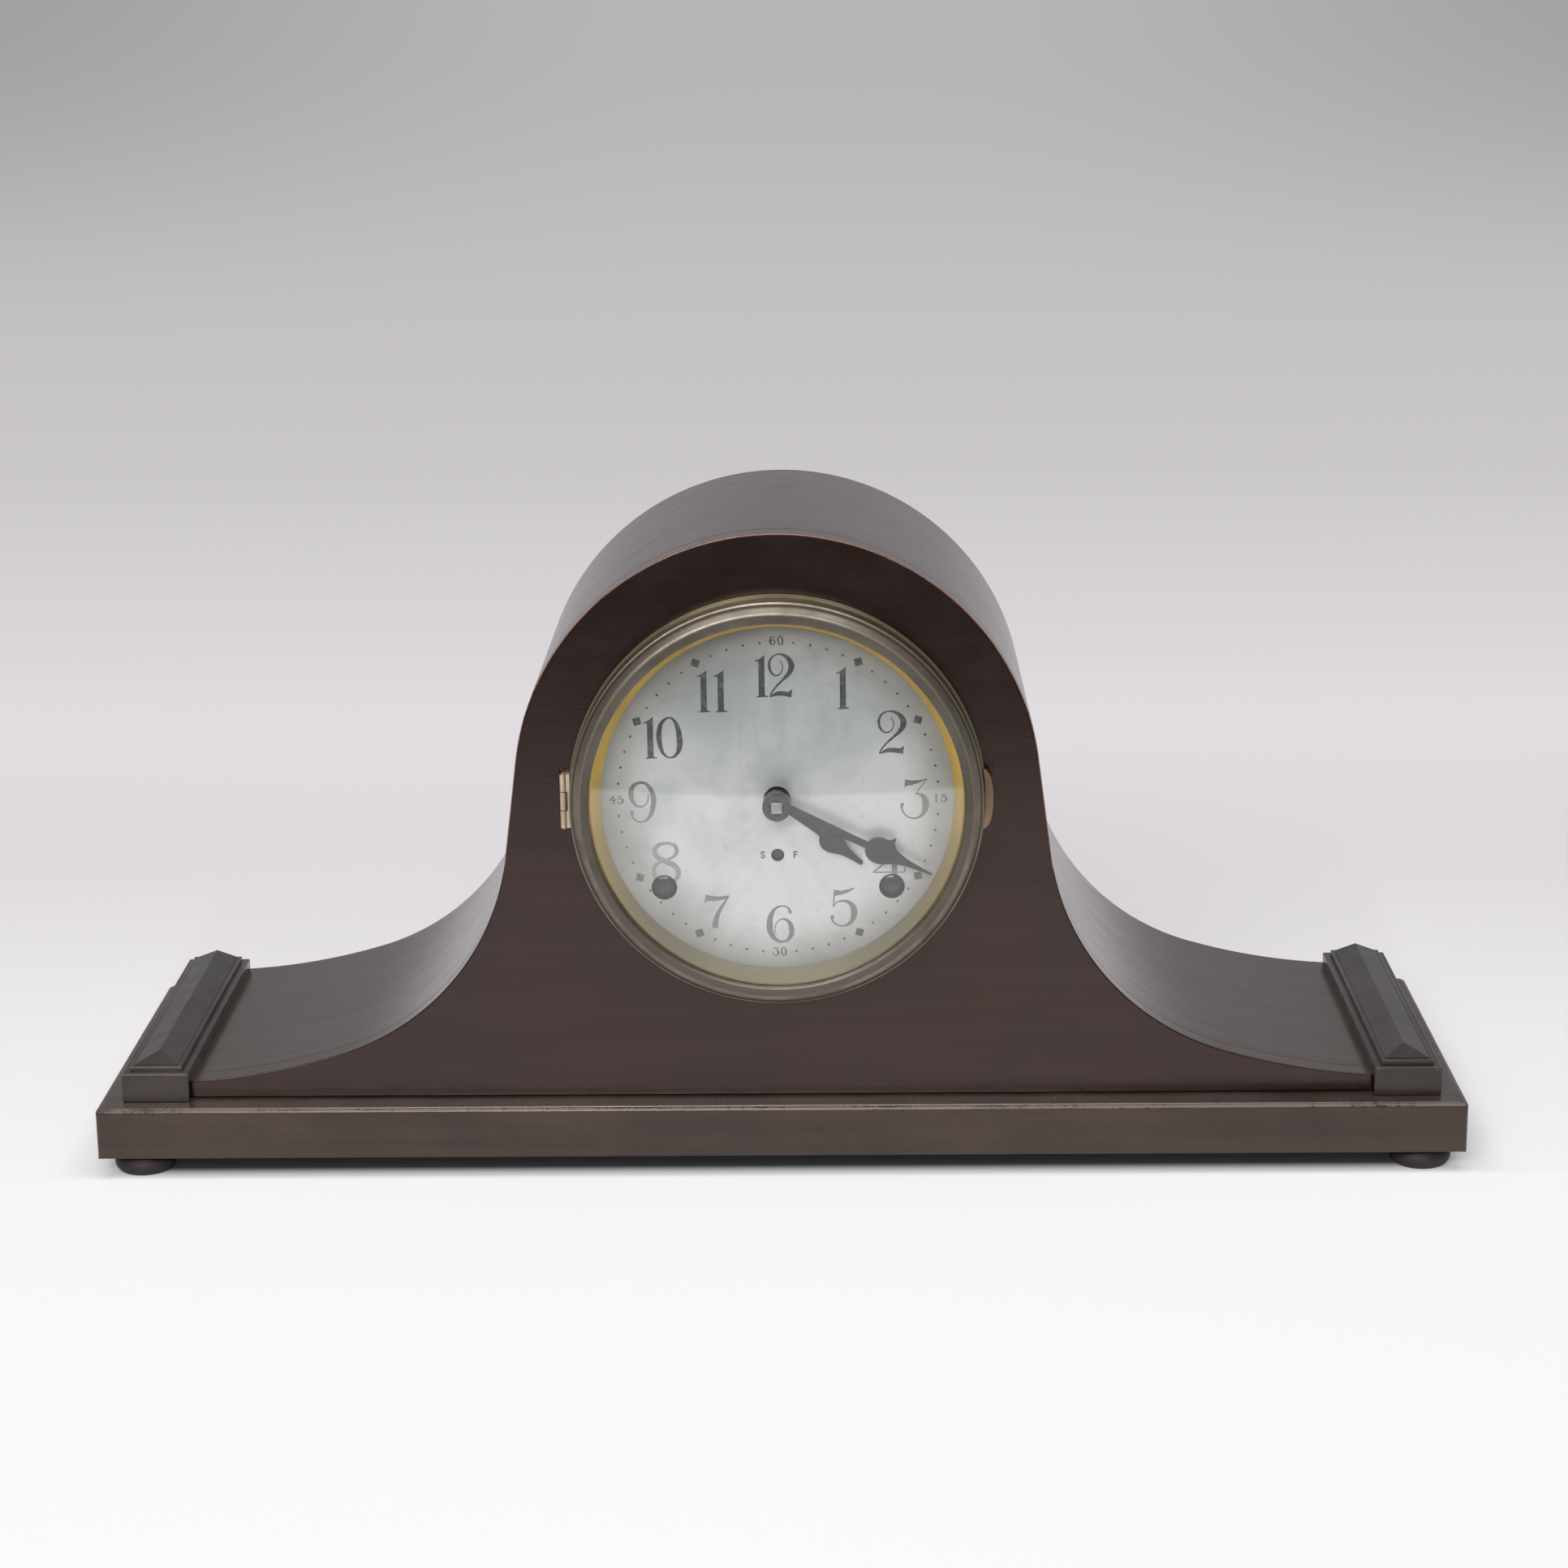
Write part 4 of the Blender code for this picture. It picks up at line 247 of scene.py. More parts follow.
@dataclass(frozen=True)
class StainedWood(Finish):
    """A dark stained and rubbed hardwood, whose edges have worn through to redder wood.

    Attributes:
        grain: Which way the grain runs.
        deep: Colour of the darkest streaks.
        light: Colour of the palest streaks.
        tint: Colour of the stained wood's own gleam.
        lacquer: How much clear lacquer is left, from 0 to 1.
        bare: Colour where the stain has worn off.
        shine: Roughness of the rubbed surface.
        wear: How far the edges are worn, from 0 to 1.
        mottle: How uneven the colour and the shine are, from 0 to 1.
        dust: How much dusty grey lies on flat tops, partly real and partly painted sheen, from 0 to 1.
    """

    grain: Grain
    deep: Colour = (0.0030, 0.0016, 0.0010)
    light: Colour = (0.0118, 0.0050, 0.0034)
    tint: Colour = (1.0, 0.70, 0.63)
    lacquer: float = 0.28
    bare: Colour = (0.290, 0.130, 0.088)
    shine: float = 0.24
    wear: float = 0.6
    mottle: float = 1.0
    dust: float = 0.0

    def streaks(self, recipe: Recipe, along: float, across: float) -> NodeSocket:
        """Coordinates drawn out along the grain.

        Args:
            recipe: The material's recipe.
            along: The factor along the grain.
            across: The factor across it.

        Returns:
            The coordinates.
        """
        if self.grain is Grain.BACKWARDS:
            return recipe.place((across, along, across))
        lay = recipe.along_surface if self.grain is Grain.SURFACE else recipe.place
        return lay((along, across, across))

    def make(self) -> Material:
        """Write the material.

        Returns:
            The material.
        """
        recipe = self.recipe()
        figure = recipe.noise(1.0, 6.0, 0.62, 0.4, self.streaks(recipe, 9.0, 150.0))
        pores = recipe.noise(1.0, 2.0, 0.5, at=self.streaks(recipe, 170.0, 2100.0))
        patches, smears = recipe.noise(21.0, 3.0, 0.5, 0.6), recipe.noise(70.0, 5.0, 0.65)
        chips, runs = recipe.noise(520.0, 5.0, 0.7), recipe.noise(36.0, 3.0)

        tone = recipe.sum_of(recipe.product(figure, 0.55), recipe.product(patches, 0.60))
        middle = 0.5 - 0.5 * self.mottle
        stained = recipe.mix(recipe.spread(tone, 0.38, 0.78, middle, 1.0 - middle), self.deep, self.light)
        pored = recipe.mix(recipe.spread(pores, 0.60, 0.72, 0.0, 0.55), stained, self.deep)

        rubbed = recipe.add("Attribute", output="Fac", attribute_name=WEAR)
        edge = recipe.product(rubbed, recipe.sum_of(recipe.product(chips, 0.9), recipe.product(runs, 0.9)))
        worn = recipe.spread(edge, 1.02 - 0.30 * self.wear, 1.22 - 0.30 * self.wear)
        specks = recipe.spread(recipe.noise(900.0, 1.0), 0.80, 0.83, 0.0, 0.35)
        specked = recipe.mix(
            specks, recipe.mix(recipe.product(worn, 0.85), pored, self.bare), (0.16, 0.14, 0.12)
        )
        # flat tops turn dusty grey: partly real, partly a painted sheen on tops that face the light
        upward = recipe.add("SeparateXYZ", {0: recipe.add("NewGeometry", output="Normal")}, "Z")
        settled = recipe.product(
            recipe.spread(upward, 0.85, 0.99, 0.0, self.dust), recipe.spread(runs, 0.25, 0.75, 0.45)
        )

        rough = recipe.spread(
            smears, 0.30, 0.72, self.shine - 0.03 * self.mottle, self.shine + 0.07 * self.mottle
        )
        grain_bump = recipe.bump(
            pores, -0.00003, 0.7, recipe.bump(recipe.noise(1500.0, 3.0, 0.7), 0.000012, 0.6)
        )
        return recipe.finish(
            base_color=recipe.mix(settled, specked, (0.105, 0.088, 0.080)),
            roughness=recipe.sum_of(rough, recipe.product(worn, 0.20)),
            normal=recipe.bump(edge, -0.00012, 0.5, grain_bump),
            specular_tint=self.tint, specular_ior_level=0.66, coat_roughness=0.20, coat_ior=1.5,
            coat_weight=recipe.spread(figure, 0.30, 0.70, 0.82 * self.lacquer, 1.14 * self.lacquer),
        )


@dataclass(frozen=True)
class RawWood(Finish):
    """Bare softwood of the back, the door and the mounting bars, browned by age, with its grain along X."""

    pale: Colour = (0.235, 0.135, 0.070)
    brown: Colour = (0.105, 0.055, 0.028)
    stretch: tuple[float, float, float] = (14.0, 190.0, 190.0)

    def make(self) -> Material:
        """Write the material.

        Returns:
            The material.
        """
        recipe = self.recipe()
        rings = recipe.noise(1.0, 6.0, 0.6, 0.8, recipe.place(self.stretch))
        fibres = recipe.noise(1.0, 3.0, at=recipe.place(tuple(9.0 * s for s in self.stretch)))
        wood = recipe.mix(recipe.spread(rings, 0.30, 0.72), self.brown, self.pale)
        return recipe.finish(
            base_color=recipe.mix(recipe.spread(recipe.noise(17.0), 0.45, 0.75, 0.0, 0.5), wood, self.brown),
            roughness=recipe.spread(fibres, 0.3, 0.7, 0.62, 0.82),
            normal=recipe.bump(fibres, 0.00008, 0.6),
        )


@dataclass(frozen=True)
class AgedMetal(Finish):
    """A plated or bare metal that has gone dull: cloudy tarnish, fine scratches and small dark spots.

    Attributes:
        bright: Colour where it is rubbed.
        dull: Colour where it is tarnished.
        rough: Roughness of the rubbed places.
        spots: How much is spotted, from 0 to 1.
        cloud: How many tarnish clouds there are to a metre.
        lustre: The metal's share of metallic shine.
        settled: Colour low down, a painted reflection that washes out the lower part, or None.
        level: The height below which that colour is laid.
    """

    bright: Colour
    dull: Colour
    rough: float = 0.28
    spots: float = 0.4
    cloud: float = 60.0
    lustre: float = 1.0
    settled: Colour | None = None
    level: float = 0.0

    def make(self) -> Material:
        """Write the material.

        Returns:
            The material.
        """
        recipe = self.recipe()
        clouds = recipe.noise(self.cloud, 5.0, 0.6, 0.5)
        fine = recipe.noise(900.0, 4.0, 0.7)
        tarnished = recipe.mix(recipe.spread(clouds, 0.34, 0.70), self.bright, self.dull)
        # painted reflection: below the level the colour turns duller, as if veiled by the glass's reflection
        if self.settled is not None:
            uneven = recipe.sum_of(recipe.height(), recipe.product(clouds, 0.02))
            low = recipe.spread(uneven, self.level - 0.045, self.level + 0.045, 1.0, 0.0)
            tarnished = recipe.mix(low, tarnished, self.settled)
        spots = recipe.spread(recipe.noise(380.0, 2.0), 0.78 - 0.10 * self.spots, 0.82)
        smeared = recipe.sum_of(recipe.product(clouds, 0.7), recipe.product(fine, 0.3))
        return recipe.finish(
            base_color=recipe.mix(
                recipe.product(spots, 0.8), tarnished, tuple(0.35 * part for part in self.dull)
            ),
            roughness=recipe.spread(smeared, 0.32, 0.68, self.rough, self.rough + 0.16),
            metallic=self.lustre,
            normal=recipe.bump(fine, 0.00002, 0.5),
        )


@dataclass(frozen=True)
class SilveredPlate(Finish):
    """The dial's silvered face: a fine round brushing, a cool bloom, a brown edge and painted shade above the
    middle.

    Attributes:
        centre: The middle of the dial.
        radius: How far out the face is seen.
        dulled: Darker, cooler places: across, up, from and to which reach, and how much.
    """

    centre: Vector
    radius: float
    silver: Colour = (0.788, 0.776, 0.780)
    bloom: Colour = (0.600, 0.602, 0.620)
    brown: Colour = (0.300, 0.275, 0.240)
    cool: Colour = (0.450, 0.466, 0.490)
    # the last patch, just above the middle, is painted shade of the hub and hands
    dulled: tuple[tuple[float, float, float, float, float], ...] = (
        (-0.024, 0.044, 0.004, 0.036, 0.85), (0.026, 0.040, 0.004, 0.040, 0.36),
        (0.002, 0.012, 0.002, 0.014, 0.34),
    )

    def make(self) -> Material:
        """Write the material.

        Returns:
            The material.
        """
        recipe = self.recipe()
        reach = recipe.distance(self.centre)
        clouds, mottle = recipe.noise(26.0, 5.0, 0.6, 0.7), recipe.noise(240.0, 4.0, 0.65)
        face = recipe.mix(recipe.spread(clouds, 0.35, 0.68), self.silver, self.bloom)
        # two patches make the upper half darker and cooler; the third is painted shade of the hub and hands
        for across, up, near, far, most in self.dulled:
            gap = recipe.distance(self.centre + Vector((across, 0.0, up)))
            face = recipe.mix(recipe.spread(gap, near, far, most, 0.0), face, self.cool)
        flecked = recipe.mix(recipe.spread(mottle, 0.55, 0.80, 0.0, 0.25), face, self.brown)
        rim = recipe.spread(
            recipe.sum_of(reach, recipe.product(clouds, 0.010)), self.radius - 0.018, self.radius + 0.008
        )
        brushing = recipe.noise(1.0, 3.0, at=recipe.add("CombineXYZ", {"X": recipe.product(reach, 5200.0)}))
        return recipe.finish(
            base_color=recipe.mix(recipe.product(rim, 0.80), flecked, self.brown),
            roughness=recipe.spread(mottle, 0.3, 0.7, 0.29, 0.40),
            metallic=0.55,
            normal=recipe.bump(brushing, 0.000004, 0.6),
        )


@dataclass(frozen=True)
class DialInk(Finish):
    """The numerals' black, thinned by cleaning below the middle and nearly gone at one numeral."""

    faded_at: Vector
    middle: float
    black: Colour = (0.044, 0.045, 0.049)
    worn: Colour = (0.200, 0.193, 0.188)
    thin: Colour = (0.330, 0.325, 0.325)

    def make(self) -> Material:
        """Write the material.

        Returns:
            The material.
        """
        recipe = self.recipe()
        faded = recipe.spread(recipe.distance(self.faded_at), 0.006, 0.013, 0.75, 0.0)
        share = recipe.sum_of(recipe.spread(recipe.noise(520.0, 4.0, 0.7), 0.45, 0.75, 0.0, 0.45), faded)
        low = recipe.spread(recipe.height(), self.middle - 0.004, self.middle + 0.030, 1.0, 0.0)
        return recipe.finish(
            base_color=recipe.mix(share, recipe.mix(low, self.black, self.worn), self.thin), roughness=0.6
        )


@dataclass(frozen=True)
class ClearGlass(Finish):
    """A thin domed glass: it lets the dial through and mirrors the room in front."""

    mirror: float = 2.05
    rough: float = 0.045
    stain: Colour = (0.975, 0.985, 0.980)

    def make(self) -> Material:
        """Write the material.

        Returns:
            The material.
        """
        recipe = self.recipe()
        recipe.tree.nodes.remove(recipe.shader)
        front = recipe.calc("SUBTRACT", 1.0, recipe.add("NewGeometry", output="Backfacing"))
        gloss = recipe.product(recipe.add("Fresnel", {"IOR": self.mirror}), front)
        clear = recipe.add("BsdfTransparent", {"Color": self.stain})
        sheen = recipe.add("BsdfGlossy", {"Roughness": self.rough, "Color": (1.0, 1.0, 1.0)})
        return recipe.show(gloss, clear, sheen)


class Finishes:
    """Every finish of the clock, each made once."""

    def __init__(self, centre: Vector, reach: float, faded_at: Vector) -> None:
        """Make all the materials.

        Args:
            centre: The middle of the dial's face.
            reach: How far out the dial's face is seen.
            faded_at: The place of the numeral that is nearly gone.
        """
        self.case_wood = StainedWood("dark_wood", Grain.SURFACE, wear=1.1, mottle=0.65).make()
        self.skin_wood = StainedWood(
            "skin_wood", Grain.SURFACE, (0.0190, 0.0074, 0.0046), (0.0300, 0.0118, 0.0072), (1.0, 0.90, 0.82),
            0.47, wear=0.3, mottle=0.35,
        ).make()
        self.base_wood = StainedWood(
            "base_wood", Grain.ACROSS, (0.0095, 0.0068, 0.0052), (0.0330, 0.0190, 0.0120), (1.0, 0.80, 0.72),
            bare=(0.140, 0.100, 0.082), wear=1.0, dust=0.42,
        ).make()
        self.block_wood = StainedWood(
            "block_wood", Grain.BACKWARDS, (0.0104, 0.0085, 0.0078), (0.0245, 0.0165, 0.0135),
            (1.0, 0.88, 0.84), bare=(0.062, 0.050, 0.043), shine=0.32, wear=0.5,
        ).make()
        self.foot_wood = StainedWood(
            "foot_wood", Grain.ACROSS, (0.0060, 0.0048, 0.0044), (0.0130, 0.0096, 0.0085), (1.0, 0.85, 0.85),
            0.0, shine=0.62, wear=0.0,
        ).make()
        self.back_wood = RawWood("back_wood").make()
        self.bezel_metal = AgedMetal(
            "aged_brass", (0.240, 0.210, 0.172), (0.172, 0.147, 0.117), 0.365, 0.3, 45.0
        ).make()
        # painted shade: a darker brass for the hollow between the crest and the lip
        self.groove_metal = AgedMetal(
            "groove_brass", (0.166, 0.146, 0.124), (0.118, 0.102, 0.085), 0.36, 0.3, 60.0
        ).make()
        self.wall_metal = AgedMetal(
            "wall_brass", (0.240, 0.210, 0.140), (0.175, 0.152, 0.096), 0.34, 0.3, 45.0
        ).make()
        # the gilt's lower part takes a duller colour, a painted reflection
        self.gilt = AgedMetal(
            "gilt_ring", (0.960, 0.640, 0.135), (0.800, 0.545, 0.125), 0.30, 0.1, 40.0, 0.75,
            (0.280, 0.236, 0.140), centre.z - 0.008,
        ).make()
        self.hinge_brass = AgedMetal(
            "hinge_brass", (0.850, 0.680, 0.550), (0.650, 0.500, 0.380), 0.36, 0.3
        ).make()
        self.copper_brass = AgedMetal(
            "tab_brass", (0.300, 0.195, 0.125), (0.215, 0.155, 0.100), 0.33, 0.4
        ).make()
        self.movement_brass = AgedMetal(
            "movement_brass", (0.720, 0.520, 0.230), (0.480, 0.330, 0.140), 0.26, 0.5
        ).make()
        self.steel = AgedMetal("steel", (0.480, 0.480, 0.490), (0.300, 0.290, 0.280), 0.28, 0.5).make()
        self.blackened = AgedMetal(
            "blackened_steel", (0.014, 0.015, 0.017), (0.022, 0.021, 0.020), 0.34, 0.1, 120.0, 0.3
        ).make()
        self.polished_black = AgedMetal(
            "polished_black", (0.020, 0.020, 0.022), (0.030, 0.029, 0.028), 0.17, 0.1, 120.0, 0.3
        ).make()
        self.bright_steel = AgedMetal(
            "bright_steel", (0.520, 0.520, 0.515), (0.300, 0.295, 0.285), 0.30, 0.2, 420.0
        ).make()
        self.cast_iron = AgedMetal(
            "cast_iron", (0.050, 0.048, 0.046), (0.075, 0.050, 0.035), 0.58, 1.0, 90.0, 0.6
        ).make()
        self.silvered = SilveredPlate("silvered_dial", centre, reach).make()
        self.ink = DialInk("dial_ink", faded_at, centre.z).make()
        self.track_ink = DialInk("track_ink", faded_at, centre.z - 0.020, worn=(0.078, 0.076, 0.076)).make()
        self.glass = ClearGlass("glass").make()


# mesh helpers


def put(name: str, data: ID) -> Object:
    """Put an object that shows some data in the scene.

    Args:
        name: The object's name.
        data: What it shows.

    Returns:
        The object.
    """
    item = bpy.data.objects.new(name, data)
    bpy.context.scene.collection.objects.link(item)
    return item


def add_drawn(bm: BMesh, data: ID, place: Matrix) -> None:
    """Turn a curve or a text into a mesh, place it and add it to another mesh.

    Args:
        bm: The mesh to add to.
        data: The curve or the text.
        place: Where it goes.
    """
    drawn = put(data.name, data)
    bpy.context.view_layer.update()
    mesh = bpy.data.meshes.new_from_object(drawn.evaluated_get(bpy.context.evaluated_depsgraph_get()))
    mesh.transform(place)
    bm.from_mesh(mesh)
    bpy.data.objects.remove(drawn, do_unlink=True)
    bpy.data.meshes.remove(mesh)


def middle_of(node: str) -> Vector:
    """The middle of a CAD node's box."""
    low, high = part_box(node)
    return (low + high) / 2


def fresh_mesh() -> BMesh:
    """An empty mesh that can carry wear, the length along an outline and a grain map.

    Returns:
        The mesh.
    """
    bm = bmesh.new()
    bm.verts.layers.float.new(WEAR)
    bm.verts.layers.float.new(RUN)
    bm.loops.layers.uv.new(GRAIN_MAP)
    return bm


def block_mesh(low: Sequence[float], high: Sequence[float]) -> BMesh:
    """A box between two corners.

    Args:
        low: The lowest corner.
        high: The highest corner.

    Returns:
        The box's mesh.
    """
    bm = fresh_mesh()
    bmesh.ops.create_cube(bm, size=1.0)
    bmesh.ops.scale(bm, verts=bm.verts, vec=Vector(high) - Vector(low))
    bmesh.ops.translate(bm, verts=bm.verts, vec=(Vector(low) + Vector(high)) / 2)
    return bm


def sweep(bm: BMesh, start: BMVert, centre: Sequence[float], degrees: float, steps: int) -> list[BMVert]:
    """Draw an arc in the dial's plane, clockwise as seen from the front.

    Args:
        bm: The mesh to draw in.
        start: The vertex that the arc starts from.
        centre: The arc's centre.
        degrees: How far it turns.
        steps: How many edges it has.

    Returns:
        Its vertices, the start first.
    """
    known = set(bm.verts)
    spun = bmesh.ops.spin(
        bm, geom=[start], cent=centre, axis=(0.0, 1.0, 0.0), angle=math.radians(degrees), steps=steps,
        use_merge=False
    )
    last = next(item for item in spun["geom_last"] if isinstance(item, BMVert))
    chain, found = [start], {start}
    while chain[-1] is not last:
        near = (vert for edge in chain[-1].link_edges for vert in edge.verts if vert not in found)
        chain.append(next(vert for vert in near if vert not in known or vert is start))
        found.add(chain[-1])
    return chain


def draw_line(bm: BMesh, start: BMVert, move: Sequence[float]) -> BMVert:
    """Draw a straight edge from a vertex.

    Args:
        bm: The mesh to draw in.
        start: The vertex to start from.
        move: How far the end is from it.

    Returns:
        The far end.
    """
    end = bmesh.ops.extrude_vert_indiv(bm, verts=[start])["verts"][0]
    end.co = start.co + Vector(move)
    return end


def joined_line(bm: BMesh, places: Iterable[Sequence[float]], closed: bool = False) -> list[BMVert]:
    """Draw a line through a few places.

    Args:
        bm: The mesh to draw in.
        places: The places, in order.
        closed: True where the last place is joined to the first.

    Returns:
        The new vertices, in order.
    """
    verts = [bm.verts.new(place) for place in places]
    for pair in zip(verts, verts[1:] + verts[:1] if closed else verts[1:]):
        bm.edges.new(pair)
    return verts


def turn_about(bm: BMesh, centre: Sequence[float], axis: Sequence[float], steps: int) -> None:
    """Spin all that is drawn into a full round shape.

    Args:
        bm: The mesh that holds what is drawn.
        centre: A place on the axis.
        axis: The axis's direction.
        steps: How many steps the full turn has.
    """
    geom = bm.verts[:] + bm.edges[:]
    bmesh.ops.spin(bm, geom=geom, cent=centre, axis=axis, angle=math.tau, steps=steps, use_merge=True)
    bmesh.ops.remove_doubles(bm, verts=bm.verts, dist=0.01 * MM)
    bmesh.ops.recalc_face_normals(bm, faces=bm.faces)


def endmost(bm: BMesh, up: float = 1.0) -> BMFace:
    """The highest face, or the lowest for an up of -1."""
    return max(bm.faces, key=lambda face: up * face.calc_center_median().z)


def inset(bm: BMesh, face: BMFace, inward: float, rise: float = 0.0) -> None:
    """Draw a face in, and raise it.

    Args:
        bm: The face's mesh.
        face: The face, which stays as the inner one.
        inward: How far its edge moves in.
        rise: How far it moves out along its normal.
    """
    bmesh.ops.inset_region(
        bm, faces=[face], thickness=inward, depth=rise, use_even_offset=True, use_boundary=True
    )


def round_over(bm: BMesh, face: BMFace, radius: float, steps: int = 4) -> None:
    """Round the edge of a flat face by insets that rise along a quarter circle.

    Args:
        bm: The face's mesh.
        face: The face, which stays as the inner one.
        radius: The quarter circle's radius.
        steps: How many insets follow it.
    """
    for step in range(steps):
        low, high = (math.pi / 2 * (step + k) / steps for k in (0, 1))
        inset(bm, face, radius * (math.cos(low) - math.cos(high)), radius * (math.sin(high) - math.sin(low)))


def grow(bm: BMesh, edges: Sequence[BMEdge], move: Sequence[float]) -> list[BMEdge]:
    """Extrude edges by a move.

    Args:
        bm: The edges' mesh.
        edges: The edges.
        move: How far they move.

    Returns:
        The new edges.
    """
    grown = bmesh.ops.extrude_edge_only(bm, edges=edges)["geom"]
    bmesh.ops.translate(bm, verts=[item for item in grown if isinstance(item, BMVert)], vec=move)
    return [item for item in grown if isinstance(item, BMEdge)]


def raise_face(bm: BMesh, face: BMFace, move: Sequence[float]) -> BMFace:
    """Extrude one face by a move.

    Args:
        bm: The face's mesh.
        face: The face, which is taken out.
        move: How far it moves.

    Returns:
        The moved face.
    """
    grown = bmesh.ops.extrude_face_region(bm, geom=[face])["geom"]
    bmesh.ops.delete(bm, geom=[face], context="FACES_ONLY")
    bmesh.ops.translate(bm, verts=[item for item in grown if isinstance(item, BMVert)], vec=move)
    return next(item for item in grown if isinstance(item, BMFace))


def turn_face(face: BMFace, normal: Vector = FORWARD) -> None:
    """Make a flat face look one way.

    Args:
        face: The face.
        normal: The way that it should look.
    """
    face.normal_update()
    if face.normal.dot(normal) < 0.0:
        face.normal_flip()


def mark_wear(bm: BMesh, rubbed: Callable[[Vector], bool]) -> None:
    """Write how worn each vertex is: fully where it is rubbed, and partly right beside such a place.

    Args:
        bm: The piece's mesh.
        rubbed: Tells whether a place is rubbed.
    """
    layer = bm.verts.layers.float[WEAR]
    worn = {vert for vert in bm.verts if rubbed(vert.co)}
    for vert in bm.verts:
        beside = any(edge.other_vert(vert) in worn for edge in vert.link_edges)
        vert[layer] = 1.0 if vert in worn else 0.4 if beside else 0.0


def circle_edges(bm: BMesh, centre: Sequence[float], radius: float, steps: int) -> list[BMEdge]:
    """Draw a circle in the dial's plane.

    Args:
        bm: The mesh to draw in.
        centre: The circle's centre.
        radius: Its radius.
        steps: How many edges it has.

    Returns:
        Its edges.
    """
    matrix = Matrix.Translation(centre) @ Matrix.Rotation(math.pi / 2, 4, "X")
    made = bmesh.ops.create_circle(bm, cap_ends=False, radius=radius, segments=steps, matrix=matrix)
    return list({edge for vert in made["verts"] for edge in vert.link_edges})


def fill_round(bm: BMesh, edges: Sequence[BMEdge], normal: Vector = FORWARD) -> None:
    """Fill a flat outline with holes in it, in the dial's plane, facing the front or the back.

    Args:
        bm: The edges' mesh.
        edges: The edges of the outline and of its holes.
        normal: The way that the faces look.
    """
    filled = bmesh.ops.triangle_fill(bm, use_beauty=True, use_dissolve=False, edges=edges, normal=normal)
    for face in (item for item in filled["geom"] if isinstance(item, BMFace)):
        turn_face(face, normal)


@dataclass
class SubAssembly:
    """A group of pieces that move together.

    Attributes:
        finishes: The clock's finishes.
        body: The CAD body that the group rides on.
    """

    finishes: Finishes
    body: str

    def fit(
        self, name: str, bm: BMesh, finish: Material | Sequence[Material], *nodes: str,
        body: str | None = None, crease: float = 35.0, whole: bool = True,
    ) -> None:
        """Make a piece from a finished mesh.

        Args:
            name: The piece's name.
            bm: Its mesh, which is used up.
            finish: Its material, or one for each material number of its faces.
            nodes: The CAD nodes that it stands for.
            body: The body it rides on, if not the group's own.
            crease: The angle in degrees above which an edge stays sharp.
            whole: False for loose faces that already point the right way.
        """
        if whole:
            bmesh.ops.recalc_face_normals(bm, faces=bm.faces)
        mesh = bpy.data.meshes.new(name)
        bm.to_mesh(mesh)
        bm.free()
        finishes = [finish] if isinstance(finish, Material) else list(finish)
        for material in finishes:
            mesh.materials.append(material)
        mesh.shade_smooth()
        mesh.set_sharp_from_angle(angle=math.radians(crease))
        piece = put(name, mesh)
        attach(piece, body or self.body)
        if nodes:
            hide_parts(*nodes)
        LOG.info("%s: %d faces, rides on %s", name, len(mesh.polygons), body or self.body)

    @staticmethod
    def dress(finish: Material, *nodes: str) -> None:
        """Give CAD nodes a finish in place of their plain one.

        Args:
            finish: The finish.
            nodes: The CAD nodes.
        """
        for node in nodes:
            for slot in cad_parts[node].material_slots:
                slot.material = finish
            LOG.info("%s: dressed in %s", node, finish.name)


# case


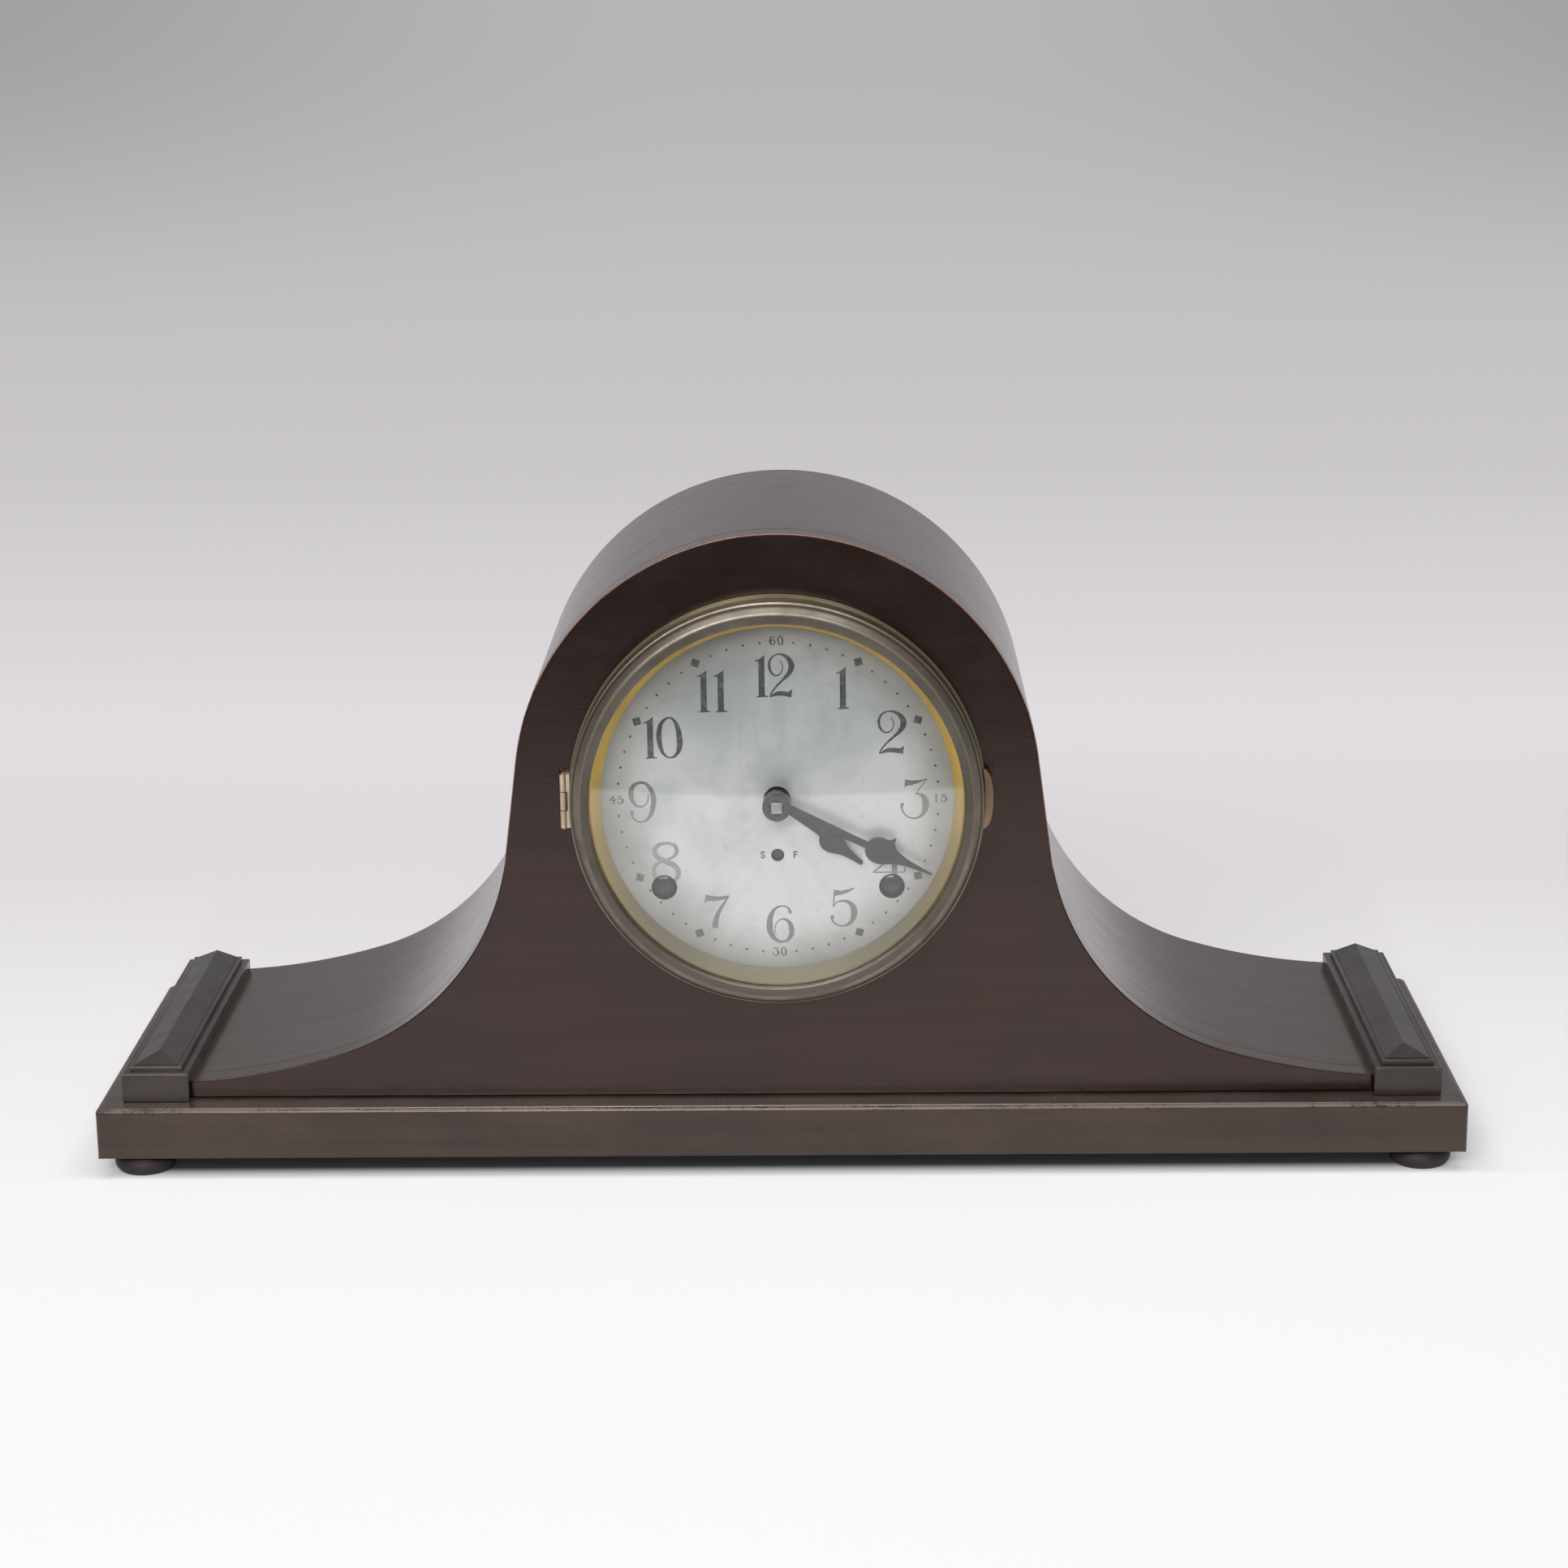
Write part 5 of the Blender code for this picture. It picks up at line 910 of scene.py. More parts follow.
@dataclass
class Bell:
    """The case's outline: an arch, a leaning flank, a hollow and a long flat wing on each side."""

    base_top: float
    arch_radius: float = 0.1002
    arch_centre_rise: float = 0.1216
    flank_lean: float = 7.5
    flank_length: float = 0.0382
    hollow_radius: float = 0.0960
    hollow_end: float = 73.3
    wing_radius: float = 0.253
    wing_reach: float = 0.22985

    def draw(self, bm: BMesh, y: float) -> list[BMVert]:
        """Draw the whole upper line in the plane of a y.

        Args:
            bm: The mesh to draw in.
            y: Where the line's plane lies.

        Returns:
            Its vertices, from the left to the right.
        """
        lean, end = math.radians(self.flank_lean), math.radians(self.hollow_end)
        centre = Vector((0.0, y, self.base_top + self.arch_centre_rise))
        top = bm.verts.new(centre + Vector((0.0, 0.0, self.arch_radius)))
        line = sweep(bm, top, centre, 90.0 - self.flank_lean, 56)
        line.append(
            draw_line(bm, line[-1], Vector((math.sin(lean), 0.0, -math.cos(lean))) * self.flank_length)
        )
        hollow = line[-1].co + Vector((math.cos(lean), 0.0, math.sin(lean))) * self.hollow_radius
        line += sweep(bm, line[-1], hollow, self.flank_lean - self.hollow_end, 40)[1:]
        wing = line[-1].co + Vector((math.cos(end), 0.0, math.sin(end))) * self.wing_radius
        stop = math.degrees(math.acos((wing.x - self.wing_reach) / self.wing_radius))
        line += sweep(bm, line[-1], wing, self.hollow_end - stop, 10)[1:]
        half = line + [e for e in bm.edges if e.verts[0] in line]
        bmesh.ops.mirror(bm, geom=half, merge_dist=0.01 * MM, axis="X")
        chain = sorted((v for v in bm.verts if abs(v.co.y - y) < 0.01 * MM), key=self.order)
        self.measure(bm, chain)
        return chain

    def order(self, vert: BMVert) -> float:
        """A number that grows from the left wing's end to the right wing's.

        Args:
            vert: A vertex of the line.

        Returns:
            The number.
        """
        up = vert.co.z - self.base_top
        side = math.copysign(1.0, vert.co.x) if abs(vert.co.x) > 1e-7 else 0.0
        return side * (abs(vert.co.x) * 2.0 + (self.arch_centre_rise + self.arch_radius - up))

    @staticmethod
    def measure(bm: BMesh, chain: Sequence[BMVert]) -> None:
        """Write the length along the line, from its middle, on each of its vertices.

        Args:
            bm: The line's mesh.
            chain: Its vertices, in order.
        """
        layer = bm.verts.layers.float[RUN]
        middle = len(chain) // 2
        chain[middle][layer] = 0.0
        for step, stop in ((1, len(chain)), (-1, -1)):
            for i in range(middle + step, stop, step):
                length = (chain[i].co - chain[i - step].co).length
                chain[i][layer] = chain[i - step][layer] + step * length


@dataclass
class Case(SubAssembly):
    """The front board, the bent top skin, the stepped end blocks, and the back board that stays as it is.

    Attributes:
        worn_below: How far under the dial's middle the board's edge is still worn.
        pocket_inside: Where the pockets of the hinge and of the tab end under the ring.
        strip: Width of the plain strips beside the rounded edge, on the front and on the side.
        growth: The skin's depth in shares, the last one a fine strip along the back edge.
        ledges: Width and height of the block's two steps.
        arrises: Radius of the block's two rounded edges.
    """

    edge_round: float = 0.0005
    skin_thickness: float = 0.0050
    opening_radius: float = 0.0640
    mortise_depth: float = 0.0016
    worn_below: float = 0.030
    pocket_inside: Pair = (-0.0705, 0.0735)
    strip: Pair = (0.0009, 0.0012)
    growth: tuple[float, ...] = (0.34, 0.33, 0.325, 0.005)
    ledges: tuple[Pair, Pair] = ((0.0028, 0.0020), (0.0017, 0.0034))
    arrises: Pair = (0.0006, 0.0005)
    eaves: float = 0.0003
    hip_run: float = 0.0095
    bell: Bell = field(init=False)

    def __post_init__(self) -> None:
        """Read the case's places from the frame."""
        self.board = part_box("front_board")
        self.dial = middle_of("dial_plate").z
        self.bell = Bell(base_top=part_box("base_board")[1].z)

    def build(self) -> None:
        """Make every piece of the case."""
        self.front_board()
        self.top_skin()
        self.end_block("end_block_left")
        self.end_block("end_block_right")
        self.dress(self.finishes.back_wood, "back_board")

    def grain_map(self, bm: BMesh) -> None:
        """Lay the grain along X on flat faces, and along the bell's line on its skin.

        Args:
            bm: The piece's mesh.
        """
        uv = bm.loops.layers.uv[GRAIN_MAP]
        run = bm.verts.layers.float[RUN]
        for face in bm.faces:
            flat = abs(face.normal.y) > 0.8
            for loop in face.loops:
                co = loop.vert.co
                loop[uv].uv = (co.x, co.z) if flat else (loop.vert[run], co.y)

    def pocket(self, bm: BMesh, low: Pair, high: Pair) -> list[BMEdge]:
        """Let a pocket into the front face.

        Args:
            bm: The board's mesh.
            low: The lowest corner of the mouth, as X and Z.
            high: Its highest corner, as X and Z.

        Returns:
            The mouth's edges.
        """
        y = self.board[0].y
        corners = [(low[0], y, low[1]), (high[0], y, low[1]), (high[0], y, high[1]), (low[0], y, high[1])]
        verts = joined_line(bm, corners, closed=True)
        edges = [bm.edges.get(pair) for pair in zip(verts, verts[1:] + verts[:1])]
        bmesh.ops.contextual_create(bm, geom=grow(bm, edges, (0.0, self.mortise_depth, 0.0)))
        return edges

    def front_board(self) -> None:
        """The bell-shaped board with its rounded edge, its opening and two pockets for hinge and tab."""
        low, high = self.board
        front_strip, side_strip = self.strip
        bm = fresh_mesh()
        chain = self.bell.draw(bm, low.y + self.edge_round)
        for end in (chain[0], chain[-1]):
            corner = draw_line(bm, end, (0.0, 0.0, low.z - end.co.z))
            chain = [corner] + chain if end is chain[0] else chain + [corner]
        bm.edges.new((chain[-1], chain[0]))
        self.bell.measure(bm, chain)
        rim = bm.edges[:]
        face = bmesh.ops.contextual_create(bm, geom=rim)["faces"][0]
        turn_face(face)
        round_over(bm, face, self.edge_round)
        inset(bm, face, front_strip)
        inner = list(face.edges)
        bmesh.ops.delete(bm, geom=[face], context="FACES_ONLY")

        opening = circle_edges(bm, (0.0, low.y, self.dial), self.opening_radius, 120)
        hinge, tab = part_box("bezel_hinge_leaf"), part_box("lift_tab")
        pockets = self.pocket(
            bm, (hinge[0].x - 0.0003, hinge[0].z - 0.0003), (self.pocket_inside[0], hinge[1].z + 0.0018)
        )
        pockets += self.pocket(
            bm, (self.pocket_inside[1], tab[1].z - 0.0040), (tab[1].x - 0.0002, tab[1].z + 0.0022)
        )
        fill_round(bm, inner + opening + pockets)

        side = grow(bm, rim, (0.0, side_strip, 0.0))
        side = grow(bm, side, (0.0, high.y - low.y - self.edge_round - side_strip, 0.0))
        fill_round(bm, side + grow(bm, opening, (0.0, high.y - low.y, 0.0)), -FORWARD)
        bmesh.ops.recalc_face_normals(bm, faces=bm.faces)
        lowest, nearest = self.dial - self.worn_below, low.y + 0.02 * MM
        furthest = nearest + self.edge_round
        mark_wear(
            bm, lambda co: co.z > lowest and nearest < co.y < furthest and co.xz.length > self.opening_radius
        )
        self.grain_map(bm)
        for face in bm.faces:
            middle = face.calc_center_median()
            aside = math.hypot(middle.x, middle.z - self.dial) > self.opening_radius + 1.0 * MM
            face.material_index = int(aside and abs(face.normal.y) < 0.3)
        self.fit("case_front", bm, (self.finishes.case_wood, self.finishes.skin_wood), "front_board")

    def top_skin(self) -> None:
        """The bent skin from the front board to the back, with its wall inside."""
        bm = fresh_mesh()
        self.bell.draw(bm, self.board[1].y)
        edges = bm.edges[:]
        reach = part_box("top_wrap")[1].y - self.board[1].y
        for share in self.growth:
            edges = grow(bm, edges, (0.0, reach * share, 0.0))
        bmesh.ops.recalc_face_normals(bm, faces=bm.faces)
        if endmost(bm).normal.z < 0.0:
            bmesh.ops.reverse_faces(bm, faces=bm.faces)
        bmesh.ops.solidify(bm, geom=bm.faces[:], thickness=self.skin_thickness)
        bmesh.ops.recalc_face_normals(bm, faces=bm.faces)
        self.grain_map(bm)
        self.fit("case_top_skin", bm, self.finishes.skin_wood, "top_wrap")

    def end_block(self, node: str) -> None:
        """A stepped block with a roof that is hipped at the front and ends in a gable at the back.

        Args:
            node: The CAD node that it stands for.
        """
        low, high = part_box(node)
        (ledge, rise), (roof_ledge, roof_rise) = self.ledges
        arris, roof_arris = self.arrises
        roof_base = high.z - roof_rise
        step_base = roof_base - rise
        bm = block_mesh(low, (high.x, high.y, step_base - arris))
        top = endmost(bm)
        round_over(bm, top, arris, 5)
        inset(bm, top, ledge - arris)
        top = raise_face(bm, top, (0.0, 0.0, rise - roof_arris))
        round_over(bm, top, roof_arris, 5)
        inset(bm, top, roof_ledge - roof_arris)
        top = raise_face(bm, top, (0.0, 0.0, self.eaves))
        top = raise_face(bm, top, (0.0, 0.0, roof_rise - self.eaves))
        centre = (low + high) / 2
        for vert in top.verts:
            vert.co.x = centre.x
            if vert.co.y < centre.y:
                vert.co.y = low.y + ledge + roof_ledge + self.hip_run
        bmesh.ops.remove_doubles(bm, verts=bm.verts, dist=0.02 * MM)
        edges = ((step_base - 0.7 * MM, step_base - 0.02 * MM), (roof_base - 0.5 * MM, roof_base - 0.02 * MM))
        mark_wear(bm, lambda co: any(below < co.z < above for below, above in edges))
        self.fit(node + "_turned_out", bm, self.finishes.block_wood, node, crease=19.0)


# stand


@dataclass
class Stand(SubAssembly):
    """The long base board with its worn moulded edge, and the four bun feet under it.

    Attributes:
        edge_radius: Radius of the quarter round along the top.
        step: Height of the fine step above it.
        arris: Radius of the lower edge.
        straight: Height of the plain bands below the quarter round and above the lower edge.
        corner: Radius of the upright corners.
        neck: How far a foot is drawn in under the board.
        heel: How far it is drawn in on the floor.
    """

    edge_radius: float = 0.0013
    step: float = 0.0003
    arris: float = 0.0003
    straight: float = 0.0010
    corner: float = 0.0015
    neck: float = 0.0030
    heel: float = 0.0020

    def build(self) -> None:
        """Make the board and its feet."""
        self.base_board()
        for node in ("foot_front_left", "foot_front_right", "foot_back_left", "foot_back_right"):
            self.foot(node)

    def base_board(self) -> None:
        """The board: square below, and a quarter round with a fine step on top."""
        low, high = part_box("base_board")
        shoulder = high.z - self.step - self.edge_radius
        bm = block_mesh(low, (high.x, high.y, shoulder - self.straight))
        round_over(bm, endmost(bm, -1.0), self.arris, 3)
        lower = [v for v in bm.verts if v.co.z < low.z + self.straight]
        bmesh.ops.translate(bm, verts=lower, vec=(0.0, 0.0, self.arris))
        top = raise_face(bm, endmost(bm), (0.0, 0.0, self.straight))
        round_over(bm, top, self.edge_radius, 5)
        inset(bm, top, 0.25 * MM)
        top = raise_face(bm, top, (0.0, 0.0, self.step))
        inset(bm, top, 0.7 * MM)
        rim = self.edge_radius + 0.3 * MM
        left, right, front, back = low.x + rim, high.x - rim, low.y + rim, high.y - rim
        worn_from = shoulder + 0.35 * MM
        mark_wear(bm, lambda co: co.z > worn_from and not (left < co.x < right and front < co.y < back))
        self.soften_corners(bm, top)
        self.fit("moulded_base", bm, self.finishes.base_wood, "base_board", crease=30.0)

    def soften_corners(self, bm: BMesh, top: BMFace) -> None:
        """Round the four upright corners, up to the flat top.

        Args:
            bm: The board's mesh.
            top: Its flat top.
        """
        # between two rings of the lower edge, which lie at a half and about an eighth of its radius
        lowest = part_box("base_board")[0].z + self.arris / 3
        flat = set(top.verts)
        corners = [
            edge for edge in bm.edges
            if edge.verts[0].co.z > lowest and not flat.intersection(edge.verts)
            and (edge.verts[0].co - edge.verts[1].co).xy.length < 5.0 * MM
        ]
        bmesh.ops.bevel(
            bm, geom=corners, offset=self.corner, segments=4, profile=0.5, affect="EDGES", material=-1
        )

    def foot(self, node: str) -> None:
        """A flattened bun, widest at its middle and drawn in most under the board.

        Args:
            node: The CAD node that it stands for.
        """
        low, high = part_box(node)
        centre, half = (low + high) / 2, (high - low) / 2
        outline = []
        for k in range(17):
            up = 1.0 - k / 8
            drawn_in = self.neck * up**1.6 if up > 0.0 else self.heel * (-up) ** 2.4
            outline.append((centre.x + half.x - drawn_in, centre.y, centre.z + up * half.z))
        bm = fresh_mesh()
        joined_line(bm, [(centre.x, centre.y, high.z), *outline, (centre.x, centre.y, low.z)])
        turn_about(bm, centre, (0.0, 0.0, 1.0), 48)
        self.fit(node + "_bun", bm, self.finishes.foot_wood, node)


# bezel


@dataclass
class Bezel(SubAssembly):
    """The hinged ring with its crest and groove, the gilt sight ring, the domed glass, the tab and the hinge.

    Attributes:
        steps: How many steps a turned piece has.
        bands: From and to which radius the groove, in painted shade, and the outer wall reach, in
            millimetres.
        glass_edge: Radius of the glass, in millimetres.
        glass_seat: How far its edge is ahead of the case, in millimetres.
        glass_bulge: How far its middle is ahead of its edge, in millimetres.
        glass_wall: Its thickness, in millimetres.
        tab_inner: Radius at which the tab ends under the ring.
        tab_drop: How much shorter the tab is at its ends than in its middle.
        tab_round: Radius of the tab's edge.
    """

    steps: int = 160
    bands: tuple[Pair, Pair] = ((71.0, 74.1), (78.2, 79.5))
    glass_edge: float = 72.6
    glass_seat: float = 12.8
    glass_bulge: float = 4.6
    glass_wall: float = 1.8
    tab_inner: float = 0.0785
    tab_drop: float = 0.0052
    tab_round: float = 0.0003

    def __post_init__(self) -> None:
        """Read the bezel's places from the frame."""
        self.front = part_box("front_board")[0].y
        self.height = middle_of("bezel_ring").z
        self.centre = Vector((0.0, self.front, self.height))

    def build(self) -> None:
        """Make every piece of the bezel."""
        self.metal_ring()
        self.sight_ring()
        self.glass()
        self.lift_tab()
        self.dress(self.finishes.hinge_brass, "bezel_hinge_leaf", "bezel_hinge_plate", "bezel_hinge_pin")

    def turned(
        self, name: str, profile: Sequence[Pair], finish: Material | Sequence[Material], node: str,
        closed: bool = True
    ) -> None:
        """Spin a profile about the dial's axis.

        Args:
            name: The piece's name.
            profile: Points as radius and distance ahead of the case front, in millimetres.
            finish: The piece's material, or it and one for each of the bands.
            node: The CAD node that it stands for.
            closed: True if the last point joins the first.
        """
        bm = fresh_mesh()
        joined_line(bm, [(r * MM, self.front - ahead * MM, self.height) for r, ahead in profile], closed)
        turn_about(bm, self.centre, (0.0, 1.0, 0.0), self.steps)
        for face in bm.faces if isinstance(finish, tuple) else ():
            reach = (face.calc_center_median() - self.centre).xz.length / MM
            face.material_index = next(
                (n for n, (near, far) in enumerate(self.bands, 1) if near < reach < far), 0
            )
        self.fit(name, bm, finish, node, crease=40.0)

    def metal_ring(self) -> None:
        """The ring's section: flange, wall with a fine bead, groove, rounded crest, hollow and lip."""
        bead = [(78.4 - 0.35 * (1 - math.cos(a)), 10.75 + 0.35 * math.sin(a)) for a in (0.4, 0.9, 1.4)]
        profile = [
            (79.2, 0.5), (79.4, 0.7), (79.4, 1.6), (79.3, 1.7), (78.5, 1.7), (78.4, 1.8), (78.4, 10.75),
            *bead,
            (77.75, 11.15), (77.55, 11.35), (77.4, 12.4), (77.3, 12.9), (77.15, 13.4), (76.85, 13.95),
            (76.4, 14.5),
            (75.9, 15.0), (75.4, 15.4), (74.9, 15.66), (74.45, 15.78), (74.0, 15.8), (73.2, 15.72),
            (72.4, 15.62),
            (71.7, 15.53), (71.25, 15.45), (70.95, 15.3), (70.8, 15.0), (70.8, 13.4), (72.9, 13.2),
            (72.9, 9.6), (76.2, 8.6),
            (76.2, 0.5),
        ]
        finish = (self.finishes.bezel_metal, self.finishes.groove_metal, self.finishes.wall_metal)
        self.turned("bezel_section", profile, finish, "bezel_ring")

    def sight_ring(self) -> None:
        """The gilt cone that slopes from the glass down to the dial, with a rolled inner edge."""
        profile = [
            (72.6, 10.5), (70.9, 10.5), (70.6, 10.2), (67.5, 3.2), (67.2, 2.9), (67.3, 2.8), (67.9, 2.8),
            (71.5, 9.8), (72.6, 9.8),
        ]
        self.turned("gilt_sight", profile, self.finishes.gilt, "sight_ring")

    def glass(self) -> None:
        """The domed glass: a cap of a large sphere with an even thickness."""
        edge, bulge = self.glass_edge, self.glass_bulge
        dome = (edge**2 + bulge**2) / (2 * bulge)
        middle = self.glass_seat + bulge - dome
        rise = [(edge * k / 16, middle + math.sqrt(dome**2 - (edge * k / 16) ** 2)) for k in range(17)]
        profile = rise + [(r, h - self.glass_wall) for r, h in reversed(rise)]
        self.turned("domed_glass", profile, self.finishes.glass, "bezel_glass", closed=False)

    def lift_tab(self) -> None:
        """The half-round tongue at the right, by which the bezel is opened."""
        low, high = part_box("lift_tab")
        half, thick = (high.z - low.z) / 2, high.y - low.y
        bm = fresh_mesh()
        matrix = Matrix.Translation((0.0, high.y, self.height)) @ Matrix.Rotation(math.pi / 2, 4, "X")
        made = bmesh.ops.create_circle(bm, cap_ends=True, radius=1.0, segments=64, matrix=matrix)
        turn_face(made["verts"][0].link_faces[0])
        for vert in made["verts"]:
            along, up = vert.co.x, vert.co.z - self.height
            reach = high.x - self.tab_drop * (1.0 - math.sqrt(max(0.0, 1.0 - up**2)) ** 0.55)
            inner = math.sqrt(max(self.tab_inner**2 - (half * up) ** 2, 0.0)) + 0.2 * MM
            vert.co.x = reach if along >= 0.0 else min(inner, reach - 0.1 * MM)
            vert.co.z = self.height + half * up
        bmesh.ops.remove_doubles(bm, verts=bm.verts, dist=0.05 * MM)
        face = raise_face(bm, bm.faces[:][0], (0.0, self.tab_round - thick, 0.0))
        round_over(bm, face, self.tab_round, 3)
        self.fit("lift_tongue", bm, self.finishes.copper_brass, "lift_tab")


# dial


class Shape(Enum):
    """What a stroke of a numeral is."""

    LINE = "a line of changing width"
    LOOP = "a closed line of changing width"
    PATCH = "a filled outline"


@dataclass(frozen=True)
class Stroke:
    """One stroke of a numeral, on a grid of 16.7 steps to the millimetre about the numeral's middle.

    Attributes:
        shape: What the points mean.
        points: X and Z of each point, and half the width there for a line.
    """

    shape: Shape
    points: tuple[tuple[float, ...], ...]

    def moved(self, across: float, width: float = 1.0) -> "Stroke":
        """The same stroke, further across and of another width."""
        return Stroke(self.shape, tuple((p[0] * width + across, *p[1:]) for p in self.points))


def line(*points: tuple[float, ...]) -> Stroke:
    """A line of changing width."""
    return Stroke(Shape.LINE, points)


def loop(*points: tuple[float, ...]) -> Stroke:
    """A closed line of changing width."""
    return Stroke(Shape.LOOP, points)


def patch(*points: tuple[float, ...]) -> Stroke:
    """A filled outline."""
    return Stroke(Shape.PATCH, points)


DIGITS: dict[str, tuple[Stroke, ...]] = {
    "0": (
        loop(
            (0, 130, 6), (-44, 102, 11), (-64, 50, 16), (-66, -6, 17), (-58, -62, 14), (-34, -110, 8),
            (2, -130, 5),
            (42, -108, 11), (62, -56, 18), (62, 0, 19), (52, 64, 15), (30, 112, 8),
        ),
    ),
    "1": (
        patch(
            (19, 136), (19, 0), (20, -122), (42, -130), (42, -134), (-34, -136), (-34, -132), (-19, -124),
            (-19, 0),
            (-19, 96), (-42, 92), (-44, 97), (-10, 114),
        ),
    ),
    "2": (
        line(
            (-12, 100, 2.5), (4, 76, 3), (3, 40, 3.5), (-14, 12, 4), (-44, 4, 5), (-72, 24, 7), (-86, 62, 9),
            (-80, 104, 7), (-56, 130, 5), (-18, 141, 5), (24, 130, 10), (58, 98, 17), (68, 58, 19),
            (50, 18, 14),
            (8, -24, 8), (-42, -70, 6), (-74, -112, 5), (-84, -134, 4),
        ),
        patch(
            (-87, -138), (-60, -112), (-28, -97), (12, -97), (46, -102), (72, -84), (66, -138), (30, -131),
            (-5, -126), (-44, -128),
        ),
    ),
    "3": (
        patch(
            (-56, 126), (-18, 118), (34, 121), (84, 132), (84, 127), (40, 105), (-8, 90), (-52, 82),
            (-58, 68),
            (-60, 69),
        ),
        line((83, 128, 3), (48, 82, 3), (12, 32, 3)),
        line(
            (8, 30, 4), (34, 30, 7), (62, 10, 17), (74, -26, 22), (72, -64, 19), (54, -104, 11),
            (20, -127, 6),
            (-24, -126, 5), (-60, -100, 5), (-76, -64, 6), (-74, -38, 11), (-66, -32, 9),
        ),
    ),
    "4": (
        patch((50, 132), (50, -124), (74, -130), (74, -134), (-8, -134), (-8, -130), (14, -124), (14, 92)),
        line((34, 128, 5), (-30, 54, 5), (-104, -8, 5)),
        line((-106, -9, 4.5), (0, -9, 4.5), (98, -9, 4.5)),
        line((98, 24, 4.5), (98, -12, 4.5)),
    ),
    "5": (
        patch(
            (-64, 118), (-20, 112), (26, 120), (66, 133), (68, 126), (22, 98), (-20, 84), (-57, 78),
            (-58, 60),
            (-64, 4), (-71, 4),
        ),
        line(
            (-66, 6, 3), (-48, 32, 4), (-8, 44, 7), (34, 32, 12), (61, -4, 20), (64, -48, 20), (42, -100, 12),
            (0, -122, 6), (-44, -116, 5), (-72, -88, 6), (-74, -62, 11), (-66, -57, 9),
        ),
    ),
    "6": (
        line(
            (-28, -72, 2.5), (-36, -34, 3), (-22, 14, 4), (12, 36, 5), (48, 22, 10), (70, -30, 18),
            (60, -86, 14),
            (18, -116, 6), (-30, -102, 12), (-62, -56, 19), (-70, 0, 20), (-60, 60, 16), (-30, 108, 8),
            (14, 122, 5), (48, 110, 6), (62, 80, 10), (62, 72, 10),
        ),
    ),
    "7": (
        patch(
            (-72, 118), (-46, 110), (10, 104), (62, 110), (76, 114), (78, 106), (52, 88), (0, 76), (-48, 76),
            (-74, 70), (-80, 56), (-83, 58),
        ),
        line((72, 106, 6), (44, 60, 8), (12, 6, 12), (-8, -48, 17), (-16, -100, 19)),
        line((-38, -103, 3), (4, -103, 3)),
    ),
    "8": (
        loop(
            (-6, 134, 9), (-50, 120, 13), (-72, 84, 15), (-56, 44, 16), (0, 12, 18), (52, -14, 18),
            (76, -56, 17),
            (64, -100, 14), (4, -130, 9), (-56, -106, 12), (-80, -60, 14), (-70, -14, 12), (-30, 14, 8),
            (34, 38, 9), (66, 70, 13), (62, 110, 13), (34, 130, 9),
        ),
    ),
    "9": (
        line(
            (40, 58, 3), (38, 12, 4), (14, -20, 5), (-18, -28, 6), (-52, 0, 11), (-68, 50, 17),
            (-56, 104, 14),
            (-20, 128, 9), (22, 126, 9), (56, 88, 14), (74, 30, 17), (70, -30, 16), (48, -92, 11),
            (6, -126, 6),
            (-38, -120, 5), (-64, -84, 6), (-62, -64, 11), (-56, -60, 9),
        ),
    ),
}
# where each digit of a number stands, and how wide it is drawn
DIGIT_PLACES = {
    "10": ((-92.0, 1.0), (30.0, 1.0)), "11": ((-57.0, 1.0), (50.0, 1.0)), "12": ((-91.0, 1.0), (36.0, 0.90))
}
# the middle of each numeral, in millimetres across and up from the dial's own
NUMERAL_PLACES = {
    1: (25.2, 43.3), 2: (43.9, 25.8), 3: (51.9, 0.1), 4: (42.6, -28.4), 5: (25.1, -42.9), 6: (0.8, -49.5),
    7: (-23.4, -44.5), 8: (-42.6, -25.0), 9: (-51.4, -0.8), 10: (-42.2, 24.5), 11: (-23.8, 42.4),
    12: (0.1, 48.1),
}
# the small numbers, and how far outside the minute track each one stands
SMALL_NUMBERS = {0: ("60", 0.0005), 15: ("15", 0.0005), 30: ("30", -0.0003), 45: ("45", 0.0005)}


